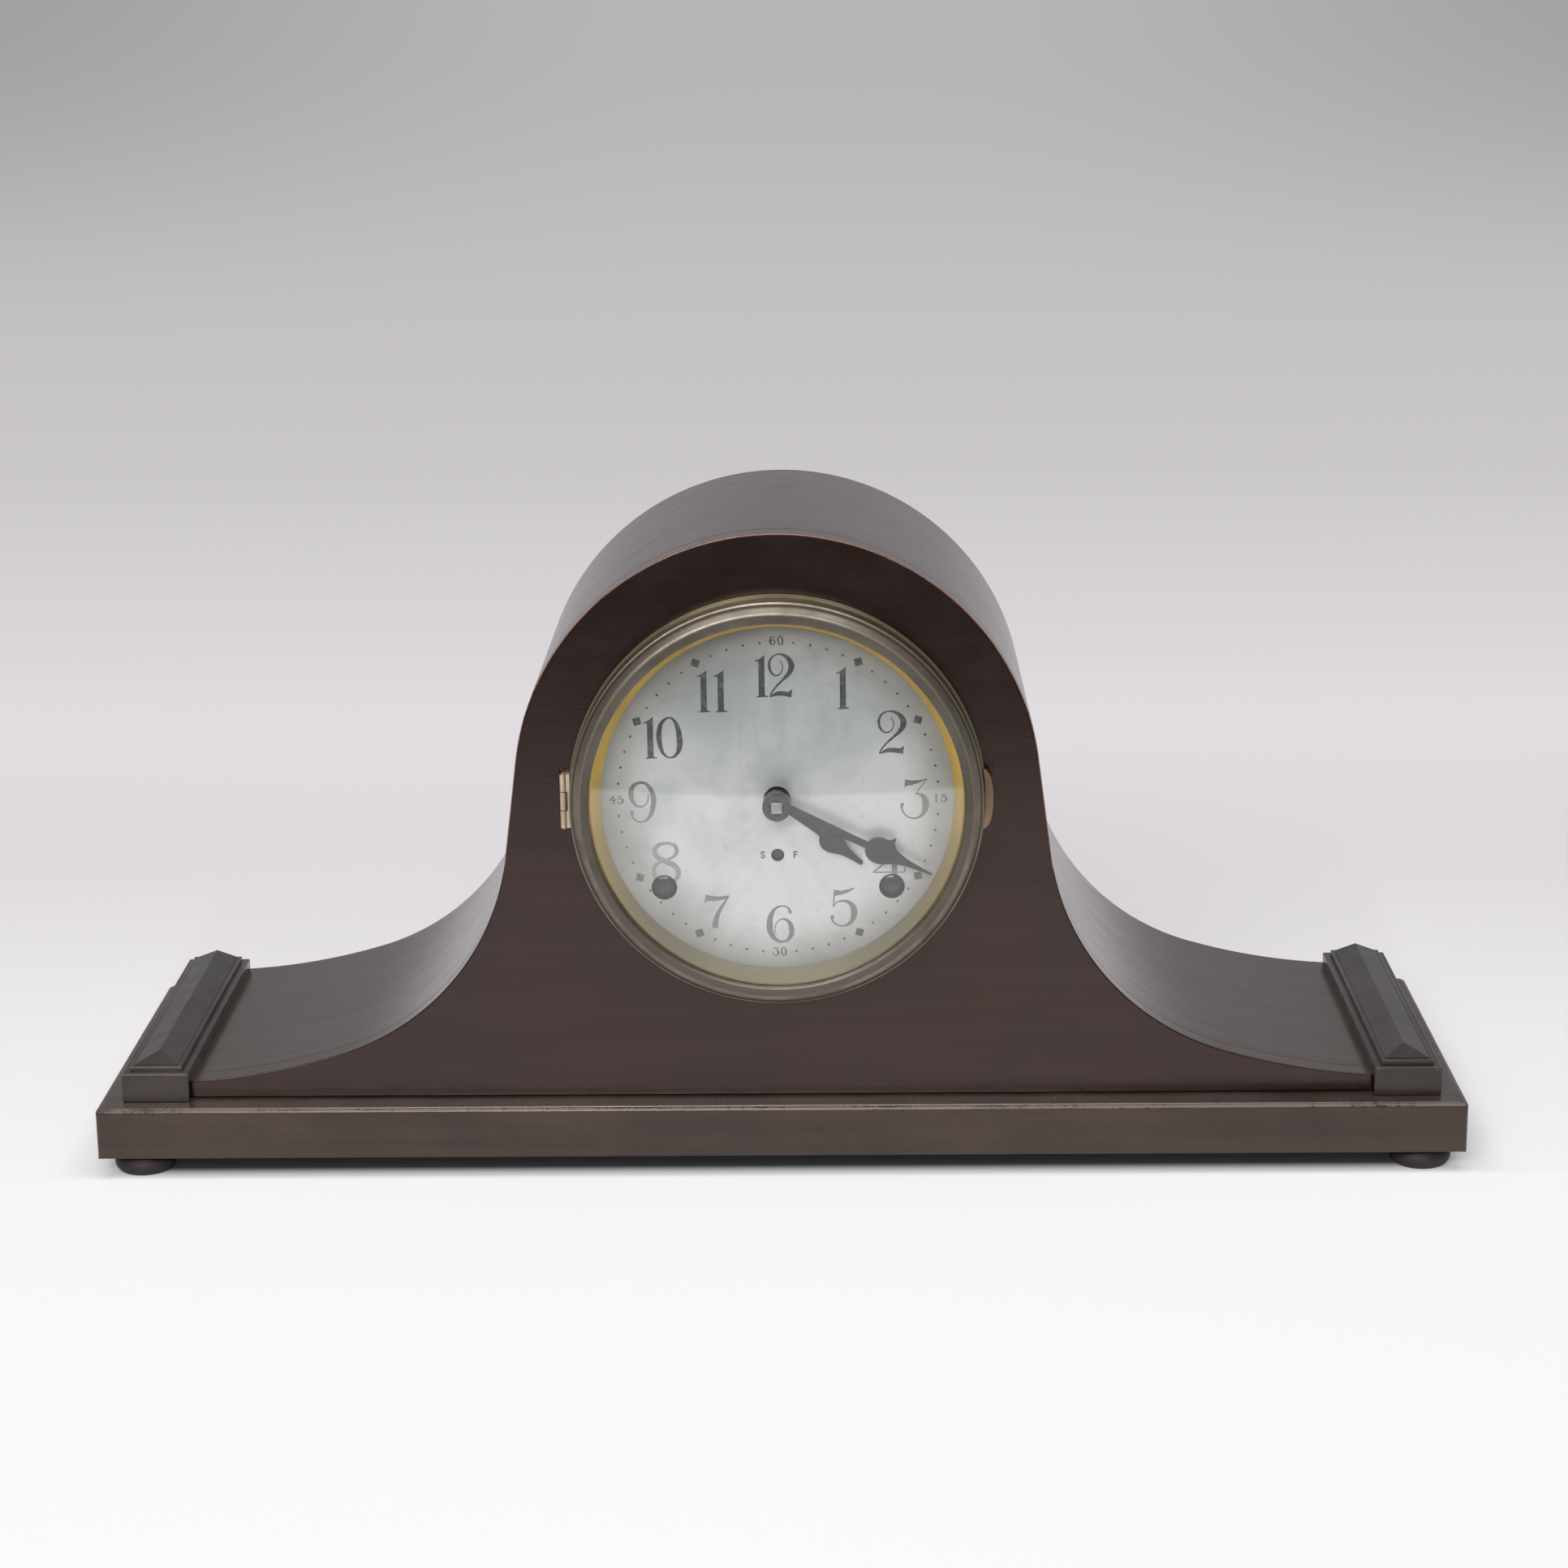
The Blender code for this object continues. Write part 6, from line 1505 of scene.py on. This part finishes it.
@dataclass
class Dial(SubAssembly):
    """The silvered plate with its holes, the numerals, the minute track and the two regulator letters.

    Attributes:
        track_circle: Radius of the circle of dots.
        track_aside: How far the track is off the dial's middle, across and up.
        diamond_circle: Radius of the circle of diamonds.
        diamond_half: Half the length of a diamond.
        dot_radius: Radius of a dot.
        winding_hole: Radius of a winding hole.
        other_holes: Radii of the hole in the middle and of the regulator's.
        grid: One step of the numerals' grid.
        ink: Thickness of the ink.
        flatness: How flat the round section of a drawn line is pressed.
        lift: How far the middle of a drawn line stands in front of the dial.
        small: Scale, pitch and added weight of the small numbers.
        letters_across: Where the letters for slow and fast stand.
        letter_size: How large they are, and how much bolder than the font.
    """

    track_circle: float = 0.06095
    track_aside: Pair = (0.0004, 0.0003)
    diamond_circle: float = 0.0613
    diamond_half: float = 0.00205
    dot_radius: float = 0.00050
    winding_hole: float = 0.0049
    other_holes: Pair = (0.0052, 0.0025)
    grid: float = MM / 16.7
    ink: float = 0.00003
    flatness: float = 0.03
    lift: float = 0.00001
    small: tuple[float, float, float] = (0.212, 236.0, 8.0)
    letters_across: tuple[tuple[str, float], ...] = (("S", -0.0057), ("F", 0.0067))
    letter_size: Pair = (0.0038, 0.00011)

    def __post_init__(self) -> None:
        """Read the dial's places from the frame."""
        low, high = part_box("dial_plate")
        self.middle = Vector((0.0, low.y, (low.z + high.z) / 2))
        self.thickness = Vector((0.0, high.y - low.y, 0.0))
        self.radius = (high.x - low.x) / 2
        winding = middle_of("time_winding_arbor")
        self.winding = [Vector((side * winding.x, low.y, winding.z)) for side in (-1, 1)]
        self.regulator = Vector((0.0, low.y, middle_of("regulator_arbor").z))

    def build(self) -> None:
        """Make every piece of the dial."""
        self.plate()
        self.numerals()
        self.track()
        self.letters()
        self.dress(self.finishes.movement_brass, "dial_pan")

    def spot(self, hour: float, reach: float) -> Vector:
        """The place at an hour's direction and a reach from the minute track's middle.

        Args:
            hour: The direction, in hours.
            reach: The distance.

        Returns:
            The place.
        """
        angle = math.radians(30.0 * hour)
        across, up = self.track_aside
        return self.middle + Vector((across + reach * math.sin(angle), 0.0, up + reach * math.cos(angle)))

    def plate(self) -> None:
        """The plate with its centre, winding and regulator holes."""
        bm = fresh_mesh()
        edges = circle_edges(bm, self.middle, self.radius, 160)
        spots = (self.middle, self.regulator, *self.winding)
        radii = (*self.other_holes, self.winding_hole, self.winding_hole)
        for spot, radius in zip(spots, radii):
            edges += circle_edges(bm, spot, radius, 64)
        fill_round(bm, edges)
        fill_round(bm, grow(bm, edges, self.thickness), -FORWARD)
        self.fit("dial_face", bm, self.finishes.silvered, "dial_plate")

    def ribbon(self, bm: BMesh, stroke: Stroke, middle: Vector, grid: float, weight: float) -> None:
        """Lay one stroke on the dial.

        Args:
            bm: The mesh that collects the ink.
            stroke: The stroke.
            middle: The numeral's middle, on the dial's face.
            grid: The length of one grid step.
            weight: How much thicker lines are drawn, in grid steps.
        """
        if stroke.shape is Shape.PATCH:
            face = bm.faces.new([bm.verts.new(middle + Vector((x, 0.0, z)) * grid) for x, z in stroke.points])
            turn_face(face)
            raise_face(bm, face, FORWARD * self.ink)
            return
        curve = bpy.data.curves.new("stroke", "CURVE")
        curve.dimensions = "3D"
        curve.bevel_depth, curve.bevel_resolution = 1.0, 2
        curve.resolution_u = 6
        curve.use_fill_caps = True
        path = curve.splines.new("BEZIER")
        path.bezier_points.add(len(stroke.points) - 1)
        path.use_cyclic_u = stroke.shape is Shape.LOOP
        for point, (x, z, half) in zip(path.bezier_points, stroke.points):
            point.co = (x * grid, 0.0, z * grid)
            point.radius = (half + weight) * grid
            point.handle_left_type = point.handle_right_type = "AUTO"
        flat = Matrix.Diagonal((1.0, self.flatness, 1.0, 1.0))
        add_drawn(bm, curve, Matrix.Translation(middle + FORWARD * self.lift) @ flat)

    def number(
        self, bm: BMesh, text: str, middle: Vector, scale: float, pitch: float = 0.0, weight: float = 0.0
    ) -> None:
        """Lay a number on the dial, its digits side by side.

        Args:
            bm: The mesh that collects the ink.
            text: The number.
            middle: Its middle, on the dial's face.
            scale: Its size against the hour numerals.
            pitch: The distance of its digits, in grid steps, or 0 for the hour numerals' own places.
            weight: How much thicker its lines are, in grid steps.
        """
        evenly = tuple(((place - (len(text) - 1) / 2) * pitch, 1.0) for place in range(len(text)))
        places = evenly if pitch > 0.0 else DIGIT_PLACES.get(text, ((0.0, 1.0),))
        for digit, (across, width) in zip(text, places):
            for stroke in DIGITS[digit]:
                self.ribbon(bm, stroke.moved(across, width), middle, self.grid * scale, weight)

    def numerals(self) -> None:
        """The twelve numerals, upright, each with its own spacing."""
        bm = fresh_mesh()
        for hour, (across, up) in NUMERAL_PLACES.items():
            self.number(bm, str(hour), self.middle + Vector((across, 0.0, up)) * MM, 1.0)
        for spot in self.winding:
            self.clear_hole(bm, spot, self.winding_hole)
        self.fit("dial_numerals", bm, self.finishes.ink)

    @staticmethod
    def clear_hole(bm: BMesh, middle: Vector, radius: float, sides: int = 48) -> None:
        """Cut the ink away where a hole goes through the dial.

        Args:
            bm: The ink's mesh.
            middle: The hole's middle.
            radius: Its radius.
            sides: How many straight cuts follow its rim.
        """
        for side in range(sides):
            angle = math.tau * side / sides
            out = Vector((math.cos(angle), 0.0, math.sin(angle)))
            near = [face for face in bm.faces if (face.calc_center_median() - middle).length < 2.5 * radius]
            geom = list({item for face in near for item in (*face.verts, *face.edges)}) + near
            bmesh.ops.bisect_plane(
                bm, geom=geom, dist=0.001 * MM, plane_co=middle + out * radius, plane_no=out
            )
        inside = [face for face in bm.faces if (face.calc_center_median() - middle).length < radius]
        bmesh.ops.delete(bm, geom=inside, context="FACES")

    def track(self) -> None:
        """The minute dots, the diamonds at most hours and the four small numbers between."""
        bm = fresh_mesh()
        for minute in range(60):
            hour = minute / 5
            if minute in SMALL_NUMBERS:
                text, outward = SMALL_NUMBERS[minute]
                self.number(bm, text, self.spot(hour, self.track_circle + outward), *self.small)
            elif minute % 5 == 0:
                self.disc(bm, self.spot(hour, self.diamond_circle), self.diamond_half, 4, minute * 6.0)
            else:
                self.disc(bm, self.spot(hour, self.track_circle), self.dot_radius, 12, 0.0)
        self.fit("dial_minute_track", bm, self.finishes.track_ink)

    def disc(self, bm: BMesh, middle: Vector, radius: float, sides: int, degrees: float) -> None:
        """A flat dot of ink, or a diamond that points outwards.

        Args:
            bm: The mesh that collects the ink.
            middle: Its middle, on the dial's face.
            radius: Its radius.
            sides: How many sides it has.
            degrees: How far it is turned, clockwise.
        """
        turns = ((math.radians(degrees), "Y"), (math.pi / 2, "X"), (math.pi / 2, "Z"))
        matrix = Matrix.Translation(middle + FORWARD * self.ink / 2)
        for angle, axis in turns:
            matrix = matrix @ Matrix.Rotation(angle, 4, axis)
        bmesh.ops.create_cone(
            bm, cap_ends=True, segments=sides, radius1=radius, radius2=radius, depth=self.ink, matrix=matrix
        )

    def letters(self) -> None:
        """The letters for slow and fast beside the regulator hole."""
        bm = fresh_mesh()
        for letter, across in self.letters_across:
            text = bpy.data.curves.new("letter", "FONT")
            text.body = letter
            text.size, text.offset = self.letter_size
            text.align_x = text.align_y = "CENTER"
            text.extrude = self.ink / 2
            place = Matrix.Translation(self.regulator + Vector((across, -self.ink / 2, 0.0)))
            add_drawn(bm, text, place @ Matrix.Rotation(math.pi / 2, 4, "X"))
        self.fit("dial_slow_fast", bm, self.finishes.track_ink, whole=False)


# hands


@dataclass(frozen=True)
class HandForm:
    """The outline of a spade hand, in millimetres along it and off its middle line.

    Attributes:
        degrees: Where it points, clockwise from twelve.
        bore: Radius of its hole.
        boss: Radius of the round boss.
        side: One side from the boss to the tip, as (along, off).
        thorn: A spur on one side, as (along, off), or nothing.
    """

    degrees: float
    bore: float
    boss: float
    side: tuple[Pair, ...]
    thorn: tuple[Pair, ...] = ()

    def eased(self, steps: int = 5) -> list[Pair]:
        """Points on a smooth curve through the side's points.

        Args:
            steps: How many parts lie between two of the side's points.

        Returns:
            The points.
        """
        points = [self.side[0], *self.side, self.side[-1]]
        smooth: list[Pair] = []
        for a, b, c, d in zip(points, points[1:], points[2:], points[3:]):
            for k in range(steps):
                t = k / steps
                smooth.append(tuple(
                    0.5 * (2 * b[i] + (c[i] - a[i]) * t + (2 * a[i] - 5 * b[i] + 4 * c[i] - d[i]) * t**2
                           + (3 * b[i] - a[i] - 3 * c[i] + d[i]) * t**3)
                    for i in (0, 1)
                ))
        return smooth + [self.side[-1]]

    def outline(self) -> list[Pair]:
        """The whole outline: one side, the other with the spur, and the boss.

        Returns:
            Its points.
        """
        start = math.asin(self.side[0][1] / self.boss)
        arc = [start + (math.tau - 2 * start) * k / 40 for k in range(1, 40)]
        upper = self.eased()
        lower = [(along, -off) for along, off in upper]
        if self.thorn:
            first, last = (
                next(i for i, point in enumerate(upper) if point[0] >= along)
                for along, _ in (self.thorn[0], self.thorn[-1])
            )
            upper[first:last + 1] = self.thorn
        return lower + upper[::-1] + [(self.boss * math.cos(a), self.boss * math.sin(a)) for a in arc]

    def hole(self) -> list[Pair]:
        """The hole in the boss.

        Returns:
            Its points.
        """
        turns = [math.tau * k / 32 for k in range(32)]
        return [(self.bore * math.cos(turn), self.bore * math.sin(turn)) for turn in turns]


HOUR_FORM = HandForm(
    127.2, 3.7, 4.6,
    ((4.4, 1.25), (12.0, 1.05), (20.2, 0.95), (21.4, 1.7), (22.6, 3.3), (24.6, 4.2), (27.2, 4.1),
     (29.6, 3.0), (32.0, 2.0), (35.0, 1.35), (38.5, 0.95), (40.0, 0.8), (40.4, 0.35)),
)
MINUTE_FORM = HandForm(
    115.6, 2.5, 4.9,
    ((4.5, 1.75), (20.0, 1.55), (36.8, 1.25), (37.8, 2.0), (39.0, 3.6), (41.0, 4.75), (43.6, 5.0),
     (46.2, 4.3), (48.4, 3.1), (51.0, 2.05), (55.0, 1.15), (60.0, 0.6), (64.7, 0.25)),
    ((43.6, 5.0), (45.0, 5.4), (46.6, 7.0), (46.9, 5.0), (48.4, 3.1)),
)


@dataclass
class Hands(SubAssembly):
    """The two spade hands, the collet and the squared end of the centre arbor.

    Attributes:
        edge: Radius of the hands' rounded edges.
        collet_section: The collet's section in millimetres, as radius, distance from its front or back,
            and whether that is the front.
        square: Side of the arbor's end, its length, how far it stands out, and its bevel.
    """

    edge: float = 0.00012
    collet_section: tuple[tuple[float, float, bool], ...] = (
        (2.95, 0.0, False), (5.3, 0.0, False), (5.4, 0.2, False), (5.4, 0.5, True), (5.25, 0.15, True),
        (4.9, 0.0, True),
        (2.95, 0.0, True),
    )
    square: tuple[float, float, float, float] = (0.0043, 0.0019, 0.0001, 0.0003)

    def __post_init__(self) -> None:
        """Read the hands' places from the frame."""
        self.height = middle_of("dial_plate").z

    def build(self) -> None:
        """Make the hands and what holds them."""
        self.hand("hour_spade_hand", "hour_hand", HOUR_FORM, "hour")
        self.hand("minute_spade_hand", "minute_hand", MINUTE_FORM, "centre")
        self.collet()
        self.arbor_end()

    def hand(self, name: str, node: str, form: HandForm, body: str) -> None:
        """A flat hand with softly rounded edges.

        Args:
            name: The piece's name.
            node: The CAD node that it stands for.
            form: Its outline.
            body: The body that turns it.
        """
        low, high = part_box(node)
        curve = bpy.data.curves.new(name, "CURVE")
        curve.dimensions = "2D"
        curve.fill_mode = "BOTH"
        curve.extrude = (high.y - low.y) / 2 - self.edge
        curve.bevel_depth, curve.bevel_resolution = self.edge, 2
        for points in (form.outline(), form.hole()):
            spline = curve.splines.new("POLY")
            spline.points.add(len(points) - 1)
            spline.use_cyclic_u = True
            for point, (along, off) in zip(spline.points, points):
                point.co = (along * MM, off * MM, 0.0, 1.0)
        place = Matrix.Translation((0.0, (low.y + high.y) / 2, self.height))
        turn = Matrix.Rotation(
            math.radians(form.degrees - 90.0), 4, "Y"
        ) @ Matrix.Rotation(math.pi / 2, 4, "X")
        bm = fresh_mesh()
        add_drawn(bm, curve, place @ turn)
        bmesh.ops.remove_doubles(bm, verts=bm.verts, dist=0.005 * MM)
        self.fit(name, bm, self.finishes.blackened, node, body=body)

    def collet(self) -> None:
        """The domed collet over the minute hand."""
        low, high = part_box("hand_collet")
        bm = fresh_mesh()
        joined_line(bm, (
            (radius * MM, low.y + off * MM if at_front else high.y - off * MM, self.height)
            for radius, off, at_front in self.collet_section
        ), closed=True)
        turn_about(bm, (0.0, 0.0, self.height), (0.0, 1.0, 0.0), 64)
        self.fit("domed_collet", bm, self.finishes.blackened, "hand_collet", body="centre", crease=50.0)

    def arbor_end(self) -> None:
        """The bright squared end of the arbor in the collet."""
        arbor_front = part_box("centre_arbor")[0].y
        side, depth, proud, bevel = self.square
        front = arbor_front - proud
        bm = block_mesh(
            (-side / 2, front, self.height - side / 2), (side / 2, front + depth, self.height + side / 2)
        )
        edges = [e for e in bm.edges if all(v.co.y < arbor_front for v in e.verts)]
        bmesh.ops.bevel(bm, geom=edges, offset=bevel, segments=3, profile=0.5, affect="EDGES", material=-1)
        self.fit("arbor_square_end", bm, self.finishes.bright_steel, body="centre", crease=60.0)


# movement and back


@dataclass
class Movement(SubAssembly):
    """The movement behind the dial, which keeps its CAD meshes, and the rounded ends seen through the dial.

    Attributes:
        ends: Each arbor with a rounded end, the body that turns it, and the end's radius, flatness and steps.
    """

    ends: tuple[tuple[str, str, float, float, int], ...] = (
        ("time_winding_arbor", "time_winder", 0.0052, 0.42, 48),
        ("strike_winding_arbor", "strike_winder", 0.0052, 0.42, 48),
        ("regulator_arbor", "regulator", 0.0024, 0.4, 32),
    )

    def build(self) -> None:
        """Dress every wheel, plate and arbor, and add the arbors' ends."""
        done = self.finishes
        self.dress(
            done.movement_brass, "movement_front_plate", "movement_back_plate", "time_great_wheel",
            "strike_great_wheel",
            "time_second_wheel", "centre_arbor", "third_wheel", "escape_wheel", "suspension_cock",
            "pendulum_bob",
            "minute_wheel", "hour_wheel", "strike_pin_wheel", "strike_fly",
        )
        self.dress(
            done.steel, "pillar_lower_left", "pillar_lower_right", "pillar_upper_left", "pillar_upper_right",
            "time_click",
            "strike_click", "time_winding_arbor", "strike_winding_arbor", "time_mainspring",
            "strike_mainspring", "verge",
            "pendulum_rod", "regulator_arbor", "hammer", "gong_rod",
        )
        self.dress(done.back_wood, "mounting_bar_upper", "mounting_bar_lower")
        self.dress(done.cast_iron, "gong_block")
        for node, body, radius, flat, steps in self.ends:
            middle = middle_of(node)
            place = Matrix.Translation(
                (middle.x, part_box(node)[0].y, middle.z)
            ) @ Matrix.Diagonal((1.0, flat, 1.0, 1.0))
            bm = fresh_mesh()
            bmesh.ops.create_uvsphere(
                bm, u_segments=steps, v_segments=steps // 2, radius=radius, matrix=place
            )
            self.fit(node + "_end", bm, done.polished_black, body=body)


@dataclass
class BackDoor(SubAssembly):
    """The round door in the back, its knob, its hinge and the latch that holds it."""

    def build(self) -> None:
        """Dress the door and its fittings."""
        fittings = ("back_door_knob", "door_hinge_leaf", "door_hinge_plate", "door_hinge_pin", "door_latch")
        self.dress(self.finishes.back_wood, "back_door")
        self.dress(self.finishes.movement_brass, *fittings)


# studio


@dataclass
class Studio:
    """The table, the pale backdrop, the lamps and the camera.

    Attributes:
        table_front: Where the sheet of paper starts.
        wall: Where its upright part stands.
        bend: Radius of the bend between.
        half_width: Half its width.
        wall_height: Height of the straight part of the wall.
        lens: The camera's focal length, in millimetres.
        sensor: The width of its picture, in millimetres.
        eye: Where the camera stands.
        turn: How far it is turned, tilted down and rolled, in degrees.
        shift: Its small shift, in parts of the picture's width.
        shades: The paper's lightness and purple tint at each Y, its greying a painted falloff of light.
    """

    table_front: float = -0.70
    wall: float = 2.6
    bend: float = 0.6
    half_width: float = 3.2
    wall_height: float = 1.6
    lens: float = 78.53
    sensor: float = 36.0
    eye: tuple[float, float, float] = (0.0236, -1.3182, 0.4858)
    turn: tuple[float, float, float] = (0.763, 14.781, 0.574)
    shift: Pair = (-0.0071, -0.0015)
    shades: tuple[tuple[float, float, float], ...] = (
        (-0.2, 0.935, 0.0), (-0.06, 0.94, 0.2), (0.12, 0.91, 0.7), (0.39, 0.83, 1.0), (0.87, 0.70, 1.0),
        (1.5, 0.60, 1.0),
        (2.6, 0.54, 1.0),
    )

    def build(self) -> None:
        """Set the whole stage."""
        self.camera()
        self.paper()
        self.lamp("overhead", (0.0, -0.45, 1.60), (0.0, -0.10, 0.0), (1.8, 1.2), 14.0)
        self.lamp("front", (-0.30, -1.85, 1.10), (0.0, 0.0, 0.10), (1.3, 0.6), 29.0)
        self.world()
        bpy.context.scene.view_settings.view_transform = "Standard"

    def camera(self) -> None:
        """The camera as it stood for the photograph."""
        data = bpy.data.cameras.new("camera")
        data.lens, data.sensor_width, data.sensor_fit = self.lens, self.sensor, "HORIZONTAL"
        data.shift_x, data.shift_y = self.shift
        data.clip_end = 50.0
        camera = put("camera", data)
        yaw, pitch, roll = (math.radians(angle) for angle in self.turn)
        camera.matrix_world = (
            Matrix.Translation(self.eye) @ Matrix.Rotation(yaw, 4, "Z")
            @ Matrix.Rotation(math.pi / 2 - pitch, 4, "X") @ Matrix.Rotation(-roll, 4, "Z")
        )
        bpy.context.scene.camera = camera

    def paper_finish(self) -> Material:
        """White near the clock, where it takes shadows and a painted one under the board; painted greyer with
        distance.

        Returns:
            The material.
        """
        recipe = Recipe(bpy.data.materials.new("backdrop_paper"))
        parts = recipe.add("SeparateXYZ", {0: recipe.add("TexCoord", output="Object")}).node.outputs
        across = recipe.calc("ABSOLUTE", parts["X"])
        first, last = self.shades[0][0], 2.8
        depth = recipe.add("MapRange", {"Value": parts["Y"], "From Min": first, "From Max": last})
        ramp = recipe.add("ValToRGB", {0: depth})
        stops = ramp.node.color_ramp.elements
        stops.remove(stops[1])
        for number, (y, level, tint) in enumerate(self.shades):
            place = (y - first) / (last - first)
            stop = stops.new(place) if number else stops[0]
            stop.position = place
            stop.color = (level, level * (1.0 - 0.038 * tint), level * (1.0 - 0.008 * tint), 1.0)
        # painted falloff of light: the paper greys up the wall, more toward the sides, and more again higher
        # up
        wall = recipe.mix(recipe.spread(parts["Z"], 0.0, 0.32), ramp, (0.480, 0.462, 0.476))
        aside = recipe.product(recipe.spread(across, 0.1, 1.1), recipe.spread(parts["Z"], 0.0, 0.4))
        corner = recipe.mix(recipe.product(aside, 0.80), wall, (0.310, 0.300, 0.308))
        pale = recipe.mix(recipe.spread(parts["Z"], 0.40, 0.75), corner, (0.36, 0.35, 0.36))
        # painted shadow: over the base board's footprint the paper is darkened nearly to black
        behind = recipe.product(
            recipe.spread(parts["Y"], -0.0720, -0.0635), recipe.spread(parts["Y"], 0.068, 0.0755, 1.0, 0.0)
        )
        under = recipe.product(behind, recipe.spread(across, 0.254, 0.2615, 0.92, 0.0))
        colour = recipe.mix(under, pale, (0.0, 0.0, 0.0))

        # painted light: where it is seen, the paper glows in part; most ahead of and beside the board, where
        # it weakens the real shadow, and far back
        ahead = recipe.spread(parts["Y"], -0.0785, -0.0715, 0.82, 0.0)
        beside = recipe.spread(across, 0.266, 0.290, 0.0, 0.45)
        far = recipe.spread(parts["Y"], 0.10, 0.75, 0.20, 1.0)
        glow_share = recipe.calc("MAXIMUM", recipe.calc("MAXIMUM", ahead, beside), far)
        ray = recipe.add("LightPath").node.outputs
        seen = recipe.sum_of(
            recipe.sum_of(ray["Is Camera Ray"], ray["Is Glossy Ray"]), ray["Is Transmission Ray"]
        )
        recipe.finish(base_color=colour, roughness=0.9, specular_ior_level=0.0)
        glow = recipe.add("Emission", {"Color": colour, "Strength": 1.0})
        return recipe.show(
            recipe.product(glow_share, recipe.calc("MINIMUM", seen, 1.0)), recipe.shader.outputs[0], glow
        )

    def paper(self) -> None:
        """One sheet of paper: the table, a bend and the wall behind it."""
        bm = fresh_mesh()
        start = bm.verts.new((-self.half_width, self.table_front, 0.0))
        end = draw_line(bm, start, (0.0, self.wall - self.bend - self.table_front, 0.0))
        bend = bmesh.ops.spin(
            bm, geom=[end], cent=(end.co.x, end.co.y, self.bend), axis=(1.0, 0.0, 0.0), angle=math.pi / 2,
            steps=16
        )
        last = next(item for item in bend["geom_last"] if isinstance(item, BMVert))
        draw_line(bm, last, (0.0, 0.0, self.wall_height))
        grow(bm, bm.edges[:], (2 * self.half_width, 0.0, 0.0))
        bmesh.ops.recalc_face_normals(bm, faces=bm.faces)
        if endmost(bm, -1.0).normal.z < 0.0:
            bmesh.ops.reverse_faces(bm, faces=bm.faces)
        mesh = bpy.data.meshes.new("backdrop")
        bm.to_mesh(mesh)
        bm.free()
        mesh.materials.append(self.paper_finish())
        mesh.shade_smooth()
        paper = put("backdrop", mesh)

    @staticmethod
    def lamp(name: str, place: Sequence[float], target: Sequence[float], size: Pair, power: float) -> None:
        """A soft box that looks at a target.

        Args:
            name: The lamp's name.
            place: Where it stands.
            target: What it looks at.
            size: Its width and height.
            power: Its power, in watts.
        """
        data = bpy.data.lights.new(name, "AREA")
        data.shape = "RECTANGLE"
        data.size, data.size_y = size
        data.energy = power
        lamp = put(name, data)
        lamp.location = place
        lamp.rotation_euler = (Vector(target) - Vector(place)).to_track_quat("-Z", "Y").to_euler()

    @staticmethod
    def world() -> None:
        """A dim even room, paler behind the clock than in front."""
        world = bpy.data.worlds.new("room")
        bpy.context.scene.world = world
        recipe = Recipe(world)
        ahead = recipe.add("SeparateXYZ", {0: recipe.add("TexCoord", output="Generated")}, "Y")
        share = recipe.add("MapRange", {"Value": ahead, "From Min": -0.4, "From Max": 0.5})
        recipe.finish(color=recipe.mix(share, (0.13, 0.13, 0.135), (0.50, 0.49, 0.50)))


def main() -> None:
    """Build the clock's looks, then the studio."""
    logging.basicConfig(level=logging.INFO, format="%(name)s: %(message)s")
    low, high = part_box("dial_plate")
    centre = Vector((0.0, low.y, (low.z + high.z) / 2))
    dial_reach, fading_reach = 0.067, 0.050
    eight = math.radians(240.0)
    faded_at = centre + Vector((math.sin(eight), 0.0, math.cos(eight))) * fading_reach
    finishes = Finishes(centre, dial_reach, faded_at)
    Stand(finishes, "case").build()
    Case(finishes, "case").build()
    Bezel(finishes, "bezel").build()
    Dial(finishes, "case").build()
    Hands(finishes, "centre").build()
    Movement(finishes, "case").build()
    BackDoor(finishes, "back_door").build()
    Studio().build()


if __name__ == "__main__":
    main()
